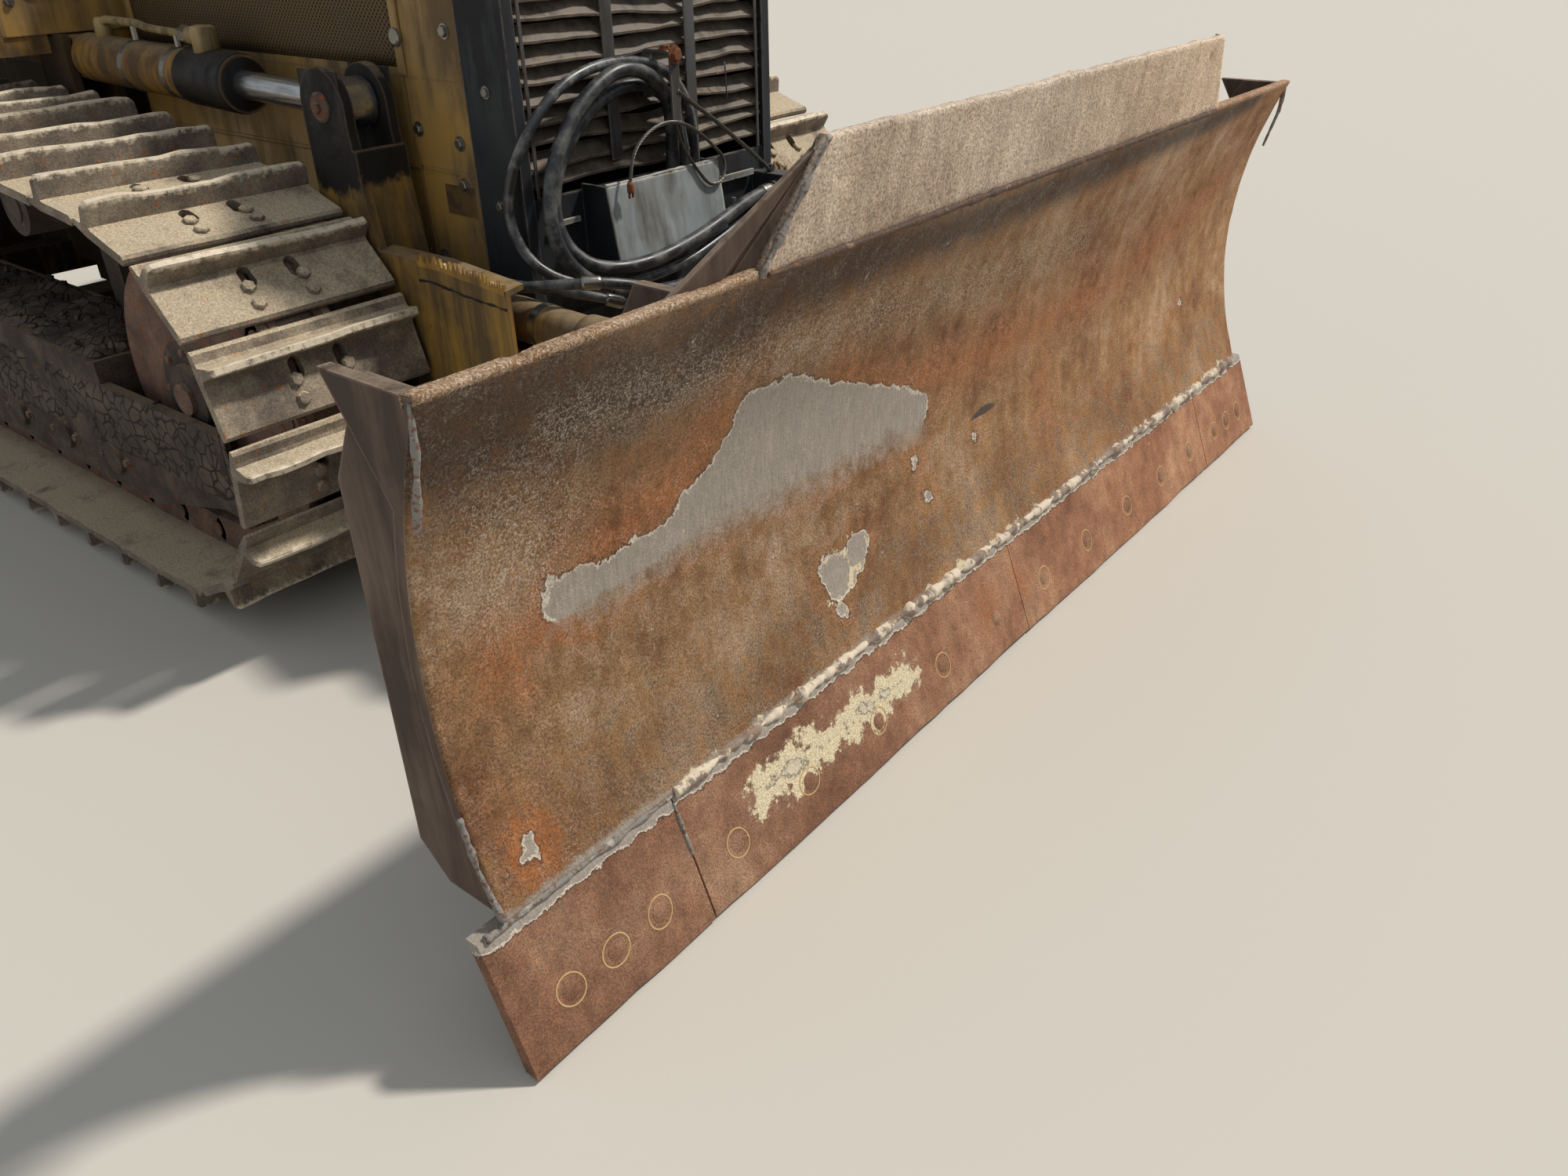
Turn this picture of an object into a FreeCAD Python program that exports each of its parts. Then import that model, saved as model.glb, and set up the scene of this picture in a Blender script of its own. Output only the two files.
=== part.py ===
import FreeCAD, Part
import math
import os
import re
import Sketcher

# A crawler bulldozer with a power angle and tilt blade on a C-frame.
# Millimetres. +X is forward, +Y is the machine's left and +Z is up.
# The origin is on the ground, midway between the cutting edge and the drawbar.

Vector = FreeCAD.Vector
Rotation = FreeCAD.Rotation

# Driving sizes: name, value in mm (or degrees, or a count), meaning
SIZES = (
    ("front_x", 2500, "tip of the cutting edge"),
    ("rear_x", -2500, "rear end of the drawbar"),
    ("running_fit", 0.05, "radial play of a pin in its bore"),
    ("seat_gap", 0.3, "gap between curved faces that touch"),
    ("neck", 26, "cylinder barrels: between the eye and the tube"),
    ("side_play", 5, "play beside an eye in its clevis"),
    # tracks
    ("track_centre", 925, "middle of each track from the centre plane"),
    ("shoe_width", 530, "width of a track shoe"),
    ("idler_x", 700, "front idler"),
    ("idler_z", 530, "front idler"),
    ("idler_pitch_radius", 405, "pin circle round the idler"),
    ("idler_width", 160, "front idler"),
    ("sprocket_x", -1900, "drive sprocket"),
    ("sprocket_z", 600, "drive sprocket"),
    ("sprocket_width", 76, "drive sprocket"),
    ("track_links", 40, "links in one track"),
    ("sprocket_teeth", 13, "pins round a full sprocket"),
    ("grouser_tip", 125, "pin line to the grouser's tip"),
    ("shoe_outside", 66, "pin line to the shoe's outer face"),
    ("shoe_inside", 42, "pin line to the shoe's inner face"),
    ("rail_inside", 45, "pin line to the rail's running face"),
    ("rail_width", 42, "one link rail"),
    ("rail_gap", 92, "clear width between the two rails"),
    ("roller_radius", 100, "bottom roller's tread"),
    ("roller_count", 7, "bottom rollers on a side"),
    ("first_roller_x", 250, "front bottom roller"),
    ("last_roller_x", -1400, "rear bottom roller"),
    ("carrier_radius", 75, "carrier roller's tread"),
    ("carrier_front_x", -60, "front carrier roller"),
    ("carrier_rear_x", -1150, "rear carrier roller"),
    ("carrier_pin_z", 1010, "pin line over the carrier rollers"),
    ("chain_lift_x", -1540, "where the chain leaves the ground for the sprocket"),
    ("axle_radius", 40, "roller and idler axles"),
    # track frames
    ("frame_inner", 770, "inner face of a track frame"),
    ("frame_outer", 1080, "outer face of a track frame"),
    ("frame_plate", 25, "side plates of a track frame"),
    ("frame_top", 490, "top of the frame's side plates"),
    ("guard_bottom", 185, "lower edge of the roller guards"),
    ("frame_beam_bottom", 385, "underside of the frame's beam"),
    ("frame_nose_x", 880, "front end of a track frame"),
    ("frame_tail_x", -1480, "rear end of a track frame"),
    # main frame
    ("chassis_half", 400, "half width of the main frame"),
    ("chassis_bottom", 372, "ground clearance"),
    ("chassis_rail", 90, "width of one frame rail"),
    ("chassis_top", 640, "top of the frame rails"),
    ("chassis_front", 1330, "front end of the frame rails"),
    ("case_front", -1150, "front of the steering case"),
    ("case_rear", -2150, "rear of the steering case"),
    ("case_top", 1120, "top of the steering case"),
    ("belly_plate", 16, "guard under the frame"),
    ("engine_rear", -150, "engine"),
    ("engine_front", 960, "engine"),
    ("engine_top", 1400, "engine"),
    ("bracket_rear", 110, "lift bracket behind its pin"),
    ("bracket_front", 60, "lift bracket's ears before its pin"),
    ("bracket_plate", 25, "rear plate of a lift bracket"),
    ("bracket_foot", 660, "foot of a lift bracket's rear plate"),
    ("drive_radius", 270, "housing of a final drive"),
    ("drive_hub", 150, "radius of a final drive's hub"),
    ("drive_root", 20, "sinking of bolted housings in the frame's side"),
    ("pivot_boss", 85, "radius of the boss between the C-frame's pivots"),
    ("equalizer_front", -560, "equalizer bar"),
    ("equalizer_rear", -700, "equalizer bar"),
    # C-frame
    ("pivot_x", -100, "C-frame's pivot"),
    ("pivot_z", 450, "C-frame's pivot"),
    ("pivot_pin", 50, "radius of the C-frame's pivot pin"),
    ("arm_inner", 505, "inner face of an arm"),
    ("arm_outer", 645, "outer face of an arm"),
    ("arm_bottom", 350, "underside of the arms"),
    ("arm_top", 560, "top of the arms"),
    ("beam_rear", 1600, "rear face of the front cross beam"),
    ("beam_front", 1790, "front face of the front cross beam"),
    ("kingpin_x", 1980, "vertical pin that the blade angles on"),
    ("kingpin_radius", 45, "vertical pin"),
    ("nose_radius", 112, "round end of the nose plates"),
    ("nose_plate", 36, "thickness of each nose plate"),
    ("cheek", 25, "plate of a lift tower"),
    ("tower_pin_x", 900, "lift cylinder's eye on the tower"),
    ("tower_pin_z", 1165, "lift cylinder's eye on the tower"),
    ("tower_head", 85, "radius of a tower's round head"),
    ("tower_rear_x", 838, "rear edge of a tower"),
    ("tower_front_x", 1055, "front edge of a tower's foot"),
    ("guard_front_x", 1530, "front end of a hose guard"),
    ("guard_top", 850, "top of a hose guard"),
    ("guard_plate", 12, "hose guard"),
    ("guard_flare", 45, "how far a hose guard's front end leans out"),
    ("guard_bend_x", 1240, "where a hose guard turns outwards"),
    ("guard_flange", 50, "width of a hose guard's top flange"),
    ("manifold_right", -305, "right end of the beam's manifold"),
    # lift cylinders
    ("lift_rear_x", -420, "barrel's pin on the main frame"),
    ("lift_rear_z", 1200, "barrel's pin on the main frame"),
    ("lift_barrel_radius", 65, "barrel"),
    ("lift_barrel_length", 880, "pin to the barrel's gland end"),
    ("lift_rod_radius", 35, "rod"),
    ("lift_rod_length", 680, "rod behind its eye"),
    ("lift_eye_radius", 58, "eye at both ends"),
    ("lift_pin", 30, "radius of the pins"),
    # angle cylinders
    ("angle_base_x", 1080, "barrel's pin on the C-frame"),
    ("angle_base_y", 540, "barrel's pin on the C-frame"),
    ("angle_z", 740, "height of both angle cylinders"),
    ("angle_end_x", 2130, "rod's pin on the yoke"),
    ("angle_end_y", 620, "rod's pin on the yoke"),
    ("angle_barrel_radius", 50, "barrel"),
    ("angle_barrel_length", 650, "pin to the barrel's gland end"),
    ("angle_rod_radius", 27, "rod"),
    ("angle_rod_length", 700, "rod behind its eye"),
    ("angle_eye_radius", 46, "eye at both ends"),
    ("angle_eye_width", 56, "eye at both ends"),
    ("angle_pin", 24, "radius of the pins"),
    # yoke and trunnion
    ("yoke_front", 2140, "front face of the yoke"),
    ("yoke_rear", 2100, "rear face of the yoke's post"),
    ("yoke_bottom", 362, "underside of the yoke's block"),
    ("yoke_top", 538, "top of the yoke's block"),
    ("trunnion_z", 450, "axis that the blade tilts on"),
    ("trunnion_radius", 60, "pin that the blade tilts on"),
    ("trunnion_tip", 2290, "front end of the trunnion"),
    ("hub_radius", 105, "blade's hub round the trunnion"),
    ("hub_rear", 2150, "rear face of the blade's hub"),
    # tilt cylinder
    ("tilt_x", 2090, "tilt cylinder's axis"),
    ("tilt_base_y", 430, "barrel's pin on the yoke"),
    ("tilt_end_y", -330, "rod's pin on the blade"),
    ("tilt_z", 900, "tilt cylinder's axis"),
    ("tilt_barrel_radius", 50, "barrel"),
    ("tilt_barrel_length", 470, "pin to the barrel's gland end"),
    ("tilt_rod_radius", 27, "rod"),
    ("tilt_rod_length", 470, "rod behind its eye"),
    ("tilt_eye_radius", 46, "eye at both ends"),
    ("tilt_eye_width", 50, "eye at both ends"),
    ("tilt_pin", 24, "radius of the pins"),
    ("tilt_eye_slack", 4, "open pivot: radial play of the rod's eye"),
    # blade
    ("blade_half", 1600, "half the width over the end bits"),
    ("mold_half", 1545, "half the moldboard's width"),
    ("blade_gap", 2, "cutting edge above the ground"),
    ("edge_top_x", 2408, "top of the cutting edge's face"),
    ("edge_top_z", 236, "top of the cutting edge's face"),
    ("edge_plate", 28, "cutting edge"),
    ("mold_top_x", 2420, "top of the moldboard's face"),
    ("mold_top_z", 1081, "top of the moldboard's face"),
    ("mold_curve", 975, "radius of the moldboard's face"),
    ("mold_plate", 24, "moldboard"),
    ("crown_top_z", 1257, "top of the raised centre plate"),
    ("crown_top_x", 2443, "face of the raised plate at its top"),
    ("crown_left_foot", 955, "raised plate's left end at its foot"),
    ("crown_left_top", 860, "raised plate's left end at its top"),
    ("crown_right_foot", -912, "raised plate's right end at its foot"),
    ("crown_right_top", -772, "raised plate's right end at its top"),
    ("wing_plate", 10, "folded wing behind the raised plate's right end"),
    ("crown_plate", 20, "raised centre plate"),
    ("rib_rear", 2205, "rear edges of the blade's ribs"),
    ("rib_plate", 20, "ribs and flanges behind the moldboard"),
    ("end_rib", 17, "end ribs, from the face's ends"),
    ("rib_inner", 260, "innermost ribs"),
    ("rib_middle", 640, "middle ribs"),
    ("rib_outer", 1050, "outer ribs"),
    ("bit_joint", 1180, "joint of the cutting edge with an end bit"),
    ("edge_gap", 1, "half of the gap between two edges"),
    ("ear_rear_x", 2227, "rear corner of a top end plate"),
    ("ear_foot_z", 900, "lower corner of a top end plate"),
    # radiator guard and grille
    ("nose_half", 457, "half width of the hood and radiator guard"),
    ("nose_front", 1347, "front face of the radiator guard"),
    ("nose_rear", 1187, "rear face of the radiator guard"),
    ("nose_bottom", 642, "underside of the radiator guard"),
    ("hood_top", 1720, "top of the hood"),
    ("nose_wall", 32, "radiator guard's plates"),
    ("louvre_pitch", 43.5, "grille"),
    ("louvre_plate", 5, "grille"),
    ("louvre_depth", 34, "grille"),
    ("border_bar", 10, "flat bars round the grille"),
    ("border_y", 406, "flat bars round the grille"),
    ("apron_top", 965, "plate under the louvres"),
    ("apron_face", 8, "apron's face behind the guard's face"),
    ("apron_plate", 14, "plate under the louvres"),
    ("hanger_back_x", 1333, "strap that holds the hoses"),
    ("hanger_front_x", 1429, "strap that holds the hoses"),
    ("hanger_plate", 6, "strap that holds the hoses"),
    ("hanger_top", 1256, "strap that holds the hoses"),
    ("hanger_foot", 1092, "strap that holds the hoses"),
    ("hanger_left", 4, "strap that holds the hoses"),
    ("hanger_right", -26, "strap that holds the hoses"),
    ("trough_left", 137, "open box under the grille"),
    ("trough_right", -267, "open box under the grille"),
    ("trough_top", 980, "open box under the grille"),
    ("trough_bottom", 800, "open box under the grille"),
    ("trough_top_x", 1420, "leaning front of the box, at its top"),
    ("trough_bottom_x", 1450, "leaning front of the box, at its foot"),
    ("trough_plate", 8, "open box under the grille"),
    ("port_bottom", 868, "top of the manifold, where its glands start"),
    ("gland_face", 880, "end faces of the manifold's glands"),
    ("gland_wall", 4, "gland round a hose's end"),
    ("block_face", 380, "side port block: its right face"),
    ("block_gland_face", 362, "side port block: end faces of its glands"),
    ("grille_bar", 38, "upright flat bars of the grille"),
    ("grille_bar_y", 140, "upright flat bars of the grille"),
    # hood
    ("hood_rear", -330, "rear end of the hood"),
    ("hood_sheet", 6, "hood and side panels"),
    ("hood_corner", 90, "rounded edge of the hood"),
    ("hood_skirt_z", 1215, "lower edge of the hood's sides"),
    ("side_seam_z", 1010, "seam between the two side panels"),
    ("front_panel_x", 970, "rear edge of the front side panel"),
    ("stack_x", 420, "exhaust"),
    ("stack_y", -140, "exhaust"),
    ("muffler_radius", 95, "silencer"),
    ("muffler_height", 320, "silencer over the hood"),
    ("stack_radius", 52, "exhaust pipe"),
    ("stack_height", 760, "exhaust pipe's end over the hood"),
    ("cleaner_x", 60, "air cleaner"),
    ("cleaner_y", 150, "air cleaner"),
    ("cleaner_neck", 60, "radius of the air cleaner's neck"),
    ("cleaner_radius", 120, "air cleaner's bowl"),
    ("cleaner_bottom", 200, "air cleaner's bowl over the hood"),
    ("cleaner_top", 400, "air cleaner's top over the hood"),
    # deck and cab
    ("deck_top", 1262, "walking deck"),
    ("deck_sheet", 12, "walking deck"),
    ("deck_front", -405, "front edge of the deck"),
    ("deck_rear", -2120, "rear edge of the deck"),
    ("deck_half", 1190, "half width of the deck"),
    ("fender_lip", 50, "lip round the deck"),
    ("bracket_room", 15, "play of the deck round each lift bracket"),
    ("handrail_radius", 17, "handrail tube"),
    ("handrail_bend", 90, "bends of the handrails"),
    ("handrail_height", 620, "handrails over the deck"),
    ("handrail_inset", 70, "handrails, from the deck's side"),
    ("handrail_front", -1500, "handrails"),
    ("handrail_back", -1950, "handrails"),
    ("cab_front", -400, "front face of the cab"),
    ("cab_rear", -1660, "rear face of the cab"),
    ("cab_half", 770, "half width of the cab"),
    ("cab_wall", 34, "walls and doors"),
    ("cab_top", 2860, "underside of the roof"),
    ("roof_height", 95, "roof"),
    ("roof_lip", 70, "how far the roof stands out"),
    ("roof_corner", 60, "rounded edges of the roof"),
    ("door_front", -540, "front edge of a door opening"),
    ("door_rear", -1270, "rear edge of a door opening"),
    ("door_bottom", 1300, "sill of a door opening"),
    ("door_top", 2800, "head of a door opening"),
    ("door_gap", 6, "gap round a door"),
    ("hinge_out", 14, "hinge pin's distance from the cab's side"),
    ("hinge_pin", 7, "radius of a door's hinge pin"),
    ("hinge_knuckle", 13, "radius of a hinge knuckle"),
    ("pane", 6, "window glass"),
    ("window_frame", 70, "width of the frame round a window"),
    ("seat_half", 270, "half width of the seat"),
    ("seat_rear", -1280, "seat cushion"),
    ("seat_front", -760, "seat cushion"),
    ("seat_bottom", 1540, "underside of the seat cushion"),
    ("seat_top", 1680, "top of the seat cushion"),
    ("seat_back_rear", -1400, "seat back"),
    ("seat_back_front", -1250, "seat back"),
    ("seat_back_top", 2250, "seat back"),
    ("seat_base_half", 200, "half width of the seat's base"),
    ("seat_base_front", -900, "seat's base"),
    ("console_inner", 330, "console, towards the seat"),
    ("console_outer", 500, "console, towards the door"),
    ("console_rear", -1200, "console"),
    ("console_front", -720, "console"),
    ("console_top", 1850, "console"),
    ("dash_half", 260, "half width of the instrument panel"),
    ("dash_depth", 170, "instrument panel, from the cab's front"),
    ("dash_top", 1900, "instrument panel"),
    ("knuckle_inset", 260, "door hinges, from the door's ends"),
    ("lamp_y", 560, "work lamps"),
    ("lamp_half", 70, "half width of a work lamp"),
    ("lamp_height", 110, "work lamp over the roof"),
    ("lamp_depth", 70, "work lamp"),
    ("lamp_reach", 10, "work lamp, past the roof's edge"),
    # rear
    ("tank_front", -1690, "fuel tank"),
    ("tank_rear", -2240, "fuel tank"),
    ("tank_half", 600, "fuel tank"),
    ("tank_top", 1930, "fuel tank"),
    ("tank_corner", 120, "rounded rear edge of the tank"),
    ("drawbar_bottom", 440, "drawbar"),
    ("drawbar_top", 560, "drawbar"),
    ("drawbar_half", 75, "half width of the drawbar"),
    ("drawbar_mouth", 150, "depth of the drawbar's clevis"),
    ("drawbar_slot", 52, "gap of the drawbar's clevis"),
    ("drawbar_bore", 26, "radius of the drawbar's pin hole"),
    ("drawbar_pin_x", -2430, "drawbar's pin hole"),
)

doc = FreeCAD.newDocument("bulldozer")
sheet = doc.addObject("Spreadsheet::Sheet", "sizes")
for row, (word, number, meaning) in enumerate(SIZES, start=1):
    sheet.set("A%d" % row, word)
    sheet.set("B%d" % row, str(number))
    sheet.set("C%d" % row, meaning)
    sheet.setAlias("B%d" % row, word)
doc.recompute()

WORDS = re.compile(r"\b(" + "|".join(word for word, number, meaning in SIZES) + r")\b")
NODES = []


def bound(text):
    """An expression on the sheet's cells, from plain words."""
    return WORDS.sub(r"sizes.\1", str(text))


def size(text):
    """The value of an expression in the sheet's words."""
    return float(sheet.evalExpression(bound(text)))


def place(piece, x, y, z):
    """Tie a piece's place to the sheet."""
    for axis, text in zip("xyz", (x, y, z)):
        piece.setExpression("Placement.Base." + axis, bound(text))
    return piece


def block(name, x, y, z):
    """A box between the low and high ends given along each axis."""
    piece = doc.addObject("Part::Box", name)
    for side, (low, high) in zip(("Length", "Width", "Height"), (x, y, z)):
        piece.setExpression(side, bound("(%s) - (%s)" % (high, low)))
    return place(piece, x[0], y[0], z[0])


TURNS = {
    "X": Rotation(Vector(0, 1, 0), 90),
    "Y": Rotation(Vector(1, 0, 0), -90),
    "Z": Rotation(),
}


def rod(name, axis, radius, span, centre):
    """A cylinder along one axis, from the low to the high end of its span."""
    piece = doc.addObject("Part::Cylinder", name)
    piece.Placement = FreeCAD.Placement(Vector(), TURNS[axis])
    piece.setExpression("Radius", bound(radius))
    piece.setExpression("Height", bound("(%s) - (%s)" % (span[1], span[0])))
    at = list(centre)
    at.insert("XYZ".index(axis), span[0])
    return place(piece, *at)


def pad(name, plane, outline, low, high):
    """A plate: an outline on an origin plane, padded from low to high across it.

    Each corner is (a, b), or (a, b, radius, turn) where an arc leaves it, with
    turn 1 for an arc that runs counter-clockwise and -1 for clockwise.
    """
    body = doc.addObject("PartDesign::Body", name)
    sketch = body.newObject("Sketcher::SketchObject", name + "_outline")
    support = [f for f in body.Origin.OriginFeatures if f.Role == plane + "_Plane"][0]
    sketch.AttachmentSupport = [(support, "")]
    sketch.MapMode = "FlatFace"
    sign = "-" if plane == "XZ" else ""
    middle = "%s((%s) + (%s)) / 2" % (sign, low, high)
    sketch.setExpression("AttachmentOffset.Base.z", bound(middle))
    corners = [Vector(size(c[0]), size(c[1]), 0) for c in outline]
    starts = []
    ends = []
    for i, corner in enumerate(outline):
        here = corners[i]
        there = corners[(i + 1) % len(outline)]
        if len(corner) == 2:
            sketch.addGeometry(Part.LineSegment(here, there))
            starts.append(1)
            ends.append(2)
            continue
        radius = size(corner[2])
        chord = there - here
        rise = math.sqrt(max(radius ** 2 - (chord.Length / 2) ** 2, 0))
        left = Vector(-chord.y, chord.x, 0).normalize()
        middle = (here + there) / 2 + left * rise * corner[3]
        circle = Part.Circle(middle, Vector(0, 0, 1), radius)
        ray_1 = math.atan2(here.y - middle.y, here.x - middle.x)
        ray_2 = math.atan2(there.y - middle.y, there.x - middle.x)
        if corner[3] < 0:
            ray_1, ray_2 = ray_2, ray_1
        sketch.addGeometry(Part.ArcOfCircle(circle, ray_1, ray_2))
        starts.append(1 if corner[3] > 0 else 2)
        ends.append(2 if corner[3] > 0 else 1)
    for i, corner in enumerate(outline):
        before = i - 1 if i else len(outline) - 1
        joint = Sketcher.Constraint("Coincident", before, ends[before], i, starts[i])
        sketch.addConstraint(joint)
        for kind, text, value in (
            ("DistanceX", corner[0], corners[i].x),
            ("DistanceY", corner[1], corners[i].y),
        ):
            index = sketch.addConstraint(Sketcher.Constraint(kind, i, starts[i], value))
            sketch.setExpression("Constraints[%d]" % index, bound(text))
        if len(corner) > 2:
            index = sketch.addConstraint(
                Sketcher.Constraint("Radius", i, size(corner[2]))
            )
            sketch.setExpression("Constraints[%d]" % index, bound(corner[2]))
    feature = body.newObject("PartDesign::Pad", name + "_pad")
    feature.Profile = sketch
    feature.Midplane = True
    feature.setExpression("Length", bound("(%s) - (%s)" % (high, low)))
    body.Tip = feature
    return body


def fuse(name, *pieces):
    """One solid from pieces that overlap or share a face."""
    piece = doc.addObject("Part::MultiFuse", name)
    piece.Shapes = list(pieces)
    piece.Refine = True
    return piece


def cut(name, base, *tools):
    """The base with every tool taken away."""
    for count, tool in enumerate(tools):
        piece = doc.addObject("Part::Cut", "%s_%d" % (name, count))
        piece.Base = base
        piece.Tool = tool
        base = piece
    return base


def gather(name, *pieces):
    """Pieces that don't touch, kept together."""
    piece = doc.addObject("Part::Compound", name)
    piece.Links = list(pieces)
    return piece


def mirror(name, source):
    """The same piece on the machine's other side."""
    piece = doc.addObject("Part::Mirroring", name)
    piece.Source = source
    piece.Normal = Vector(0, 1, 0)
    piece.Base = Vector(0, 0, 0)
    return piece


def solid(name, shape):
    """A piece whose shape is worked out here."""
    piece = doc.addObject("Part::Feature", name)
    piece.Shape = shape
    return piece


def tube(name, points, diameter, bend=0.0):
    """A round tube on straight runs joined by tangent arcs; prints its radii."""
    corners = [Vector(*point) for point in points]
    edges = []
    radii = []
    start = corners[0]
    for before, corner, after in zip(corners, corners[1:], corners[2:]):
        back = before - corner
        ahead = after - corner
        half = (math.pi - back.getAngle(ahead)) / 2
        reach = 0.45 * min(back.Length, ahead.Length)
        if bend:
            reach = min(reach, bend * math.tan(half))
        radius = reach / math.tan(half)
        back.normalize()
        ahead.normalize()
        middle = (back + ahead).normalize() * (math.hypot(radius, reach) - radius)
        edges.append(Part.LineSegment(start, corner + back * reach).toShape())
        edges.append(Part.Arc(
            corner + back * reach, corner + middle, corner + ahead * reach
        ).toShape())
        start = corner + ahead * reach
        radii.append(round(radius))
    edges.append(Part.LineSegment(start, corners[-1]).toShape())
    path = Part.Wire(edges)
    circle = Part.Circle(corners[0], corners[1] - corners[0], diameter / 2)
    shape = path.makePipeShell([Part.Wire([circle.toShape()])], True, False)
    share = shape.Volume / (math.pi * diameter ** 2 / 4 * path.Length)
    print("%s: length %.0f, radii %s, volume %.3f" % (name, path.Length, radii, share))
    if not shape.isValid() or abs(share - 1) > 0.01:
        raise RuntimeError("bad tube: " + name)
    return shape


def node(label, piece):
    """Name a finished piece: its label is its file's name."""
    piece.Label = label
    NODES.append(piece)
    return piece


def pair(label, piece):
    """The same piece on the left and, mirrored, on the right."""
    node(label + "_left", piece)
    node(label + "_right", mirror(label + "_mirror", piece))


def both(name, piece):
    """A left piece and its mirrored twin in one node."""
    return gather(name, piece, mirror(name + "_mirror", piece))


# Track chain: the pin line runs round idler, rollers, sprocket and carriers
def tangent_run(centre_1, radius_1, centre_2, radius_2):
    """Ends of the line that keeps two circles on its left, going from 1 to 2."""
    span = centre_2 - centre_1
    lean = math.asin((radius_1 - radius_2) / span.Length)
    turn = math.atan2(span.y, span.x) - math.pi / 2 + lean
    away = Vector(math.cos(turn), math.sin(turn), 0)
    return centre_1 + away * radius_1, centre_2 + away * radius_2


def pin_line(sprocket_radius):
    """Circles that carry the chain, counter-clockwise seen with X right, Z up."""
    idler_radius = size("idler_pitch_radius")
    tread = size("rail_inside + roller_radius")
    low_pin = size("idler_z - idler_pitch_radius")
    carrier = size("rail_inside + carrier_radius")
    over = size("carrier_pin_z")
    return (
        (Vector(size("chain_lift_x"), low_pin + tread, 0), tread),
        (Vector(size("first_roller_x"), low_pin + tread, 0), tread),
        (Vector(size("idler_x"), size("idler_z"), 0), idler_radius),
        (Vector(size("carrier_front_x"), over - carrier, 0), carrier),
        (Vector(size("carrier_rear_x"), over - carrier, 0), carrier),
        (Vector(size("sprocket_x"), size("sprocket_z"), 0), sprocket_radius),
    )


def track_pieces(circles):
    """Lines and arcs of the pin line: start, end, centre or None, radius, turn."""
    runs = []
    for i, (centre, radius) in enumerate(circles):
        following = circles[(i + 1) % len(circles)]
        runs.append(tangent_run(centre, radius, following[0], following[1]))
    pieces = []
    for i, (start, end) in enumerate(runs):
        pieces.append((start, end, None, 0.0, (end - start).Length))
        centre, radius = circles[(i + 1) % len(circles)]
        leave = runs[(i + 1) % len(runs)][0]
        ray_1 = math.atan2(end.y - centre.y, end.x - centre.x)
        ray_2 = math.atan2(leave.y - centre.y, leave.x - centre.x)
        turn = (ray_2 - ray_1) % (2 * math.pi)
        pieces.append((end, leave, centre, radius, radius * turn))
    return pieces


def pins_along(pieces, count):
    """Evenly spaced points on the pin line."""
    pitch = sum(piece[4] for piece in pieces) / count
    points = []
    travelled = 0.0
    index = 0
    for step in range(count):
        target = step * pitch
        while target > travelled + pieces[index][4]:
            travelled += pieces[index][4]
            index += 1
        start, end, centre, radius, length = pieces[index]
        along = target - travelled
        if centre is None:
            points.append(start + (end - start) * (along / length))
            continue
        ray = math.atan2(start.y - centre.y, start.x - centre.x) + along / radius
        points.append(centre + Vector(math.cos(ray), math.sin(ray), 0) * radius)
    return points, pitch


def chain_path():
    """Pins, pitch and the sprocket's pitch radius, which fits whole teeth."""
    radius = size("idler_pitch_radius")
    for attempt in range(30):
        pieces = track_pieces(pin_line(radius))
        pins, pitch = pins_along(pieces, int(size("track_links")))
        radius = size("sprocket_teeth") * pitch / (2 * math.pi)
    return pins, pitch, radius


def ring(points, low, high):
    """A prism across the machine over a closed outline given in X and Z."""
    wire = Part.makePolygon([Vector(p.x, low, p.y) for p in points + points[:1]])
    return Part.Face(wire).extrude(Vector(0, high - low, 0))


def outward(here, there):
    """Unit steps along a link and away from the loop's inside."""
    along = (there - here).normalize()
    return along, Vector(along.y, -along.x, 0)


PINS, PITCH, SPROCKET_PITCH_RADIUS = chain_path()
LINKS = list(zip(PINS, PINS[1:] + PINS[:1]))

# Shoe outline: share of the pitch along the link, height above the pin line
SHOE_OUTLINE = (
    (0.03, "shoe_outside"),
    (0.70, "shoe_outside"),
    (0.76, "grouser_tip"),
    (0.86, "grouser_tip"),
    (0.90, "shoe_outside"),
    (0.99, "shoe_outside"),
)


def track():
    """One endless track: grouser shoes over two link rails, as one loop."""
    outside = []
    inside = []
    running = []
    for here, there in LINKS:
        along, away = outward(here, there)
        link = (there - here).Length
        for share, height in SHOE_OUTLINE:
            outside.append(here + along * link * share + away * size(height))
        for share in (0.08, 0.92):
            point = here + along * link * share
            inside.append(point + away * size("shoe_inside"))
            running.append(point - away * size("rail_inside"))
    middle = size("track_centre")
    half = size("shoe_width") / 2
    shoes = ring(outside, middle - half, middle + half)
    shoes = shoes.cut(ring(inside, middle - half - 1, middle + half + 1))
    bed = [p + (q - p) * 0.4 for p, q in zip(inside, outside_bed(inside))]
    rails = []
    for side in (-1, 1):
        edge_1 = middle + side * size("rail_gap") / 2
        edge_2 = edge_1 + side * size("rail_width")
        low, high = sorted((edge_1, edge_2))
        rail = ring(bed, low, high)
        rails.append(rail.cut(ring(running, low - 1, high + 1)))
    return shoes.fuse(rails).removeSplitter()


def outside_bed(inside):
    """The inner faces of the shoes moved out through the shoe."""
    depth = size("shoe_outside - shoe_inside")
    moved = []
    for i, point in enumerate(inside):
        here, there = LINKS[i // 2]
        moved.append(point + outward(here, there)[1] * depth)
    return moved


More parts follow.
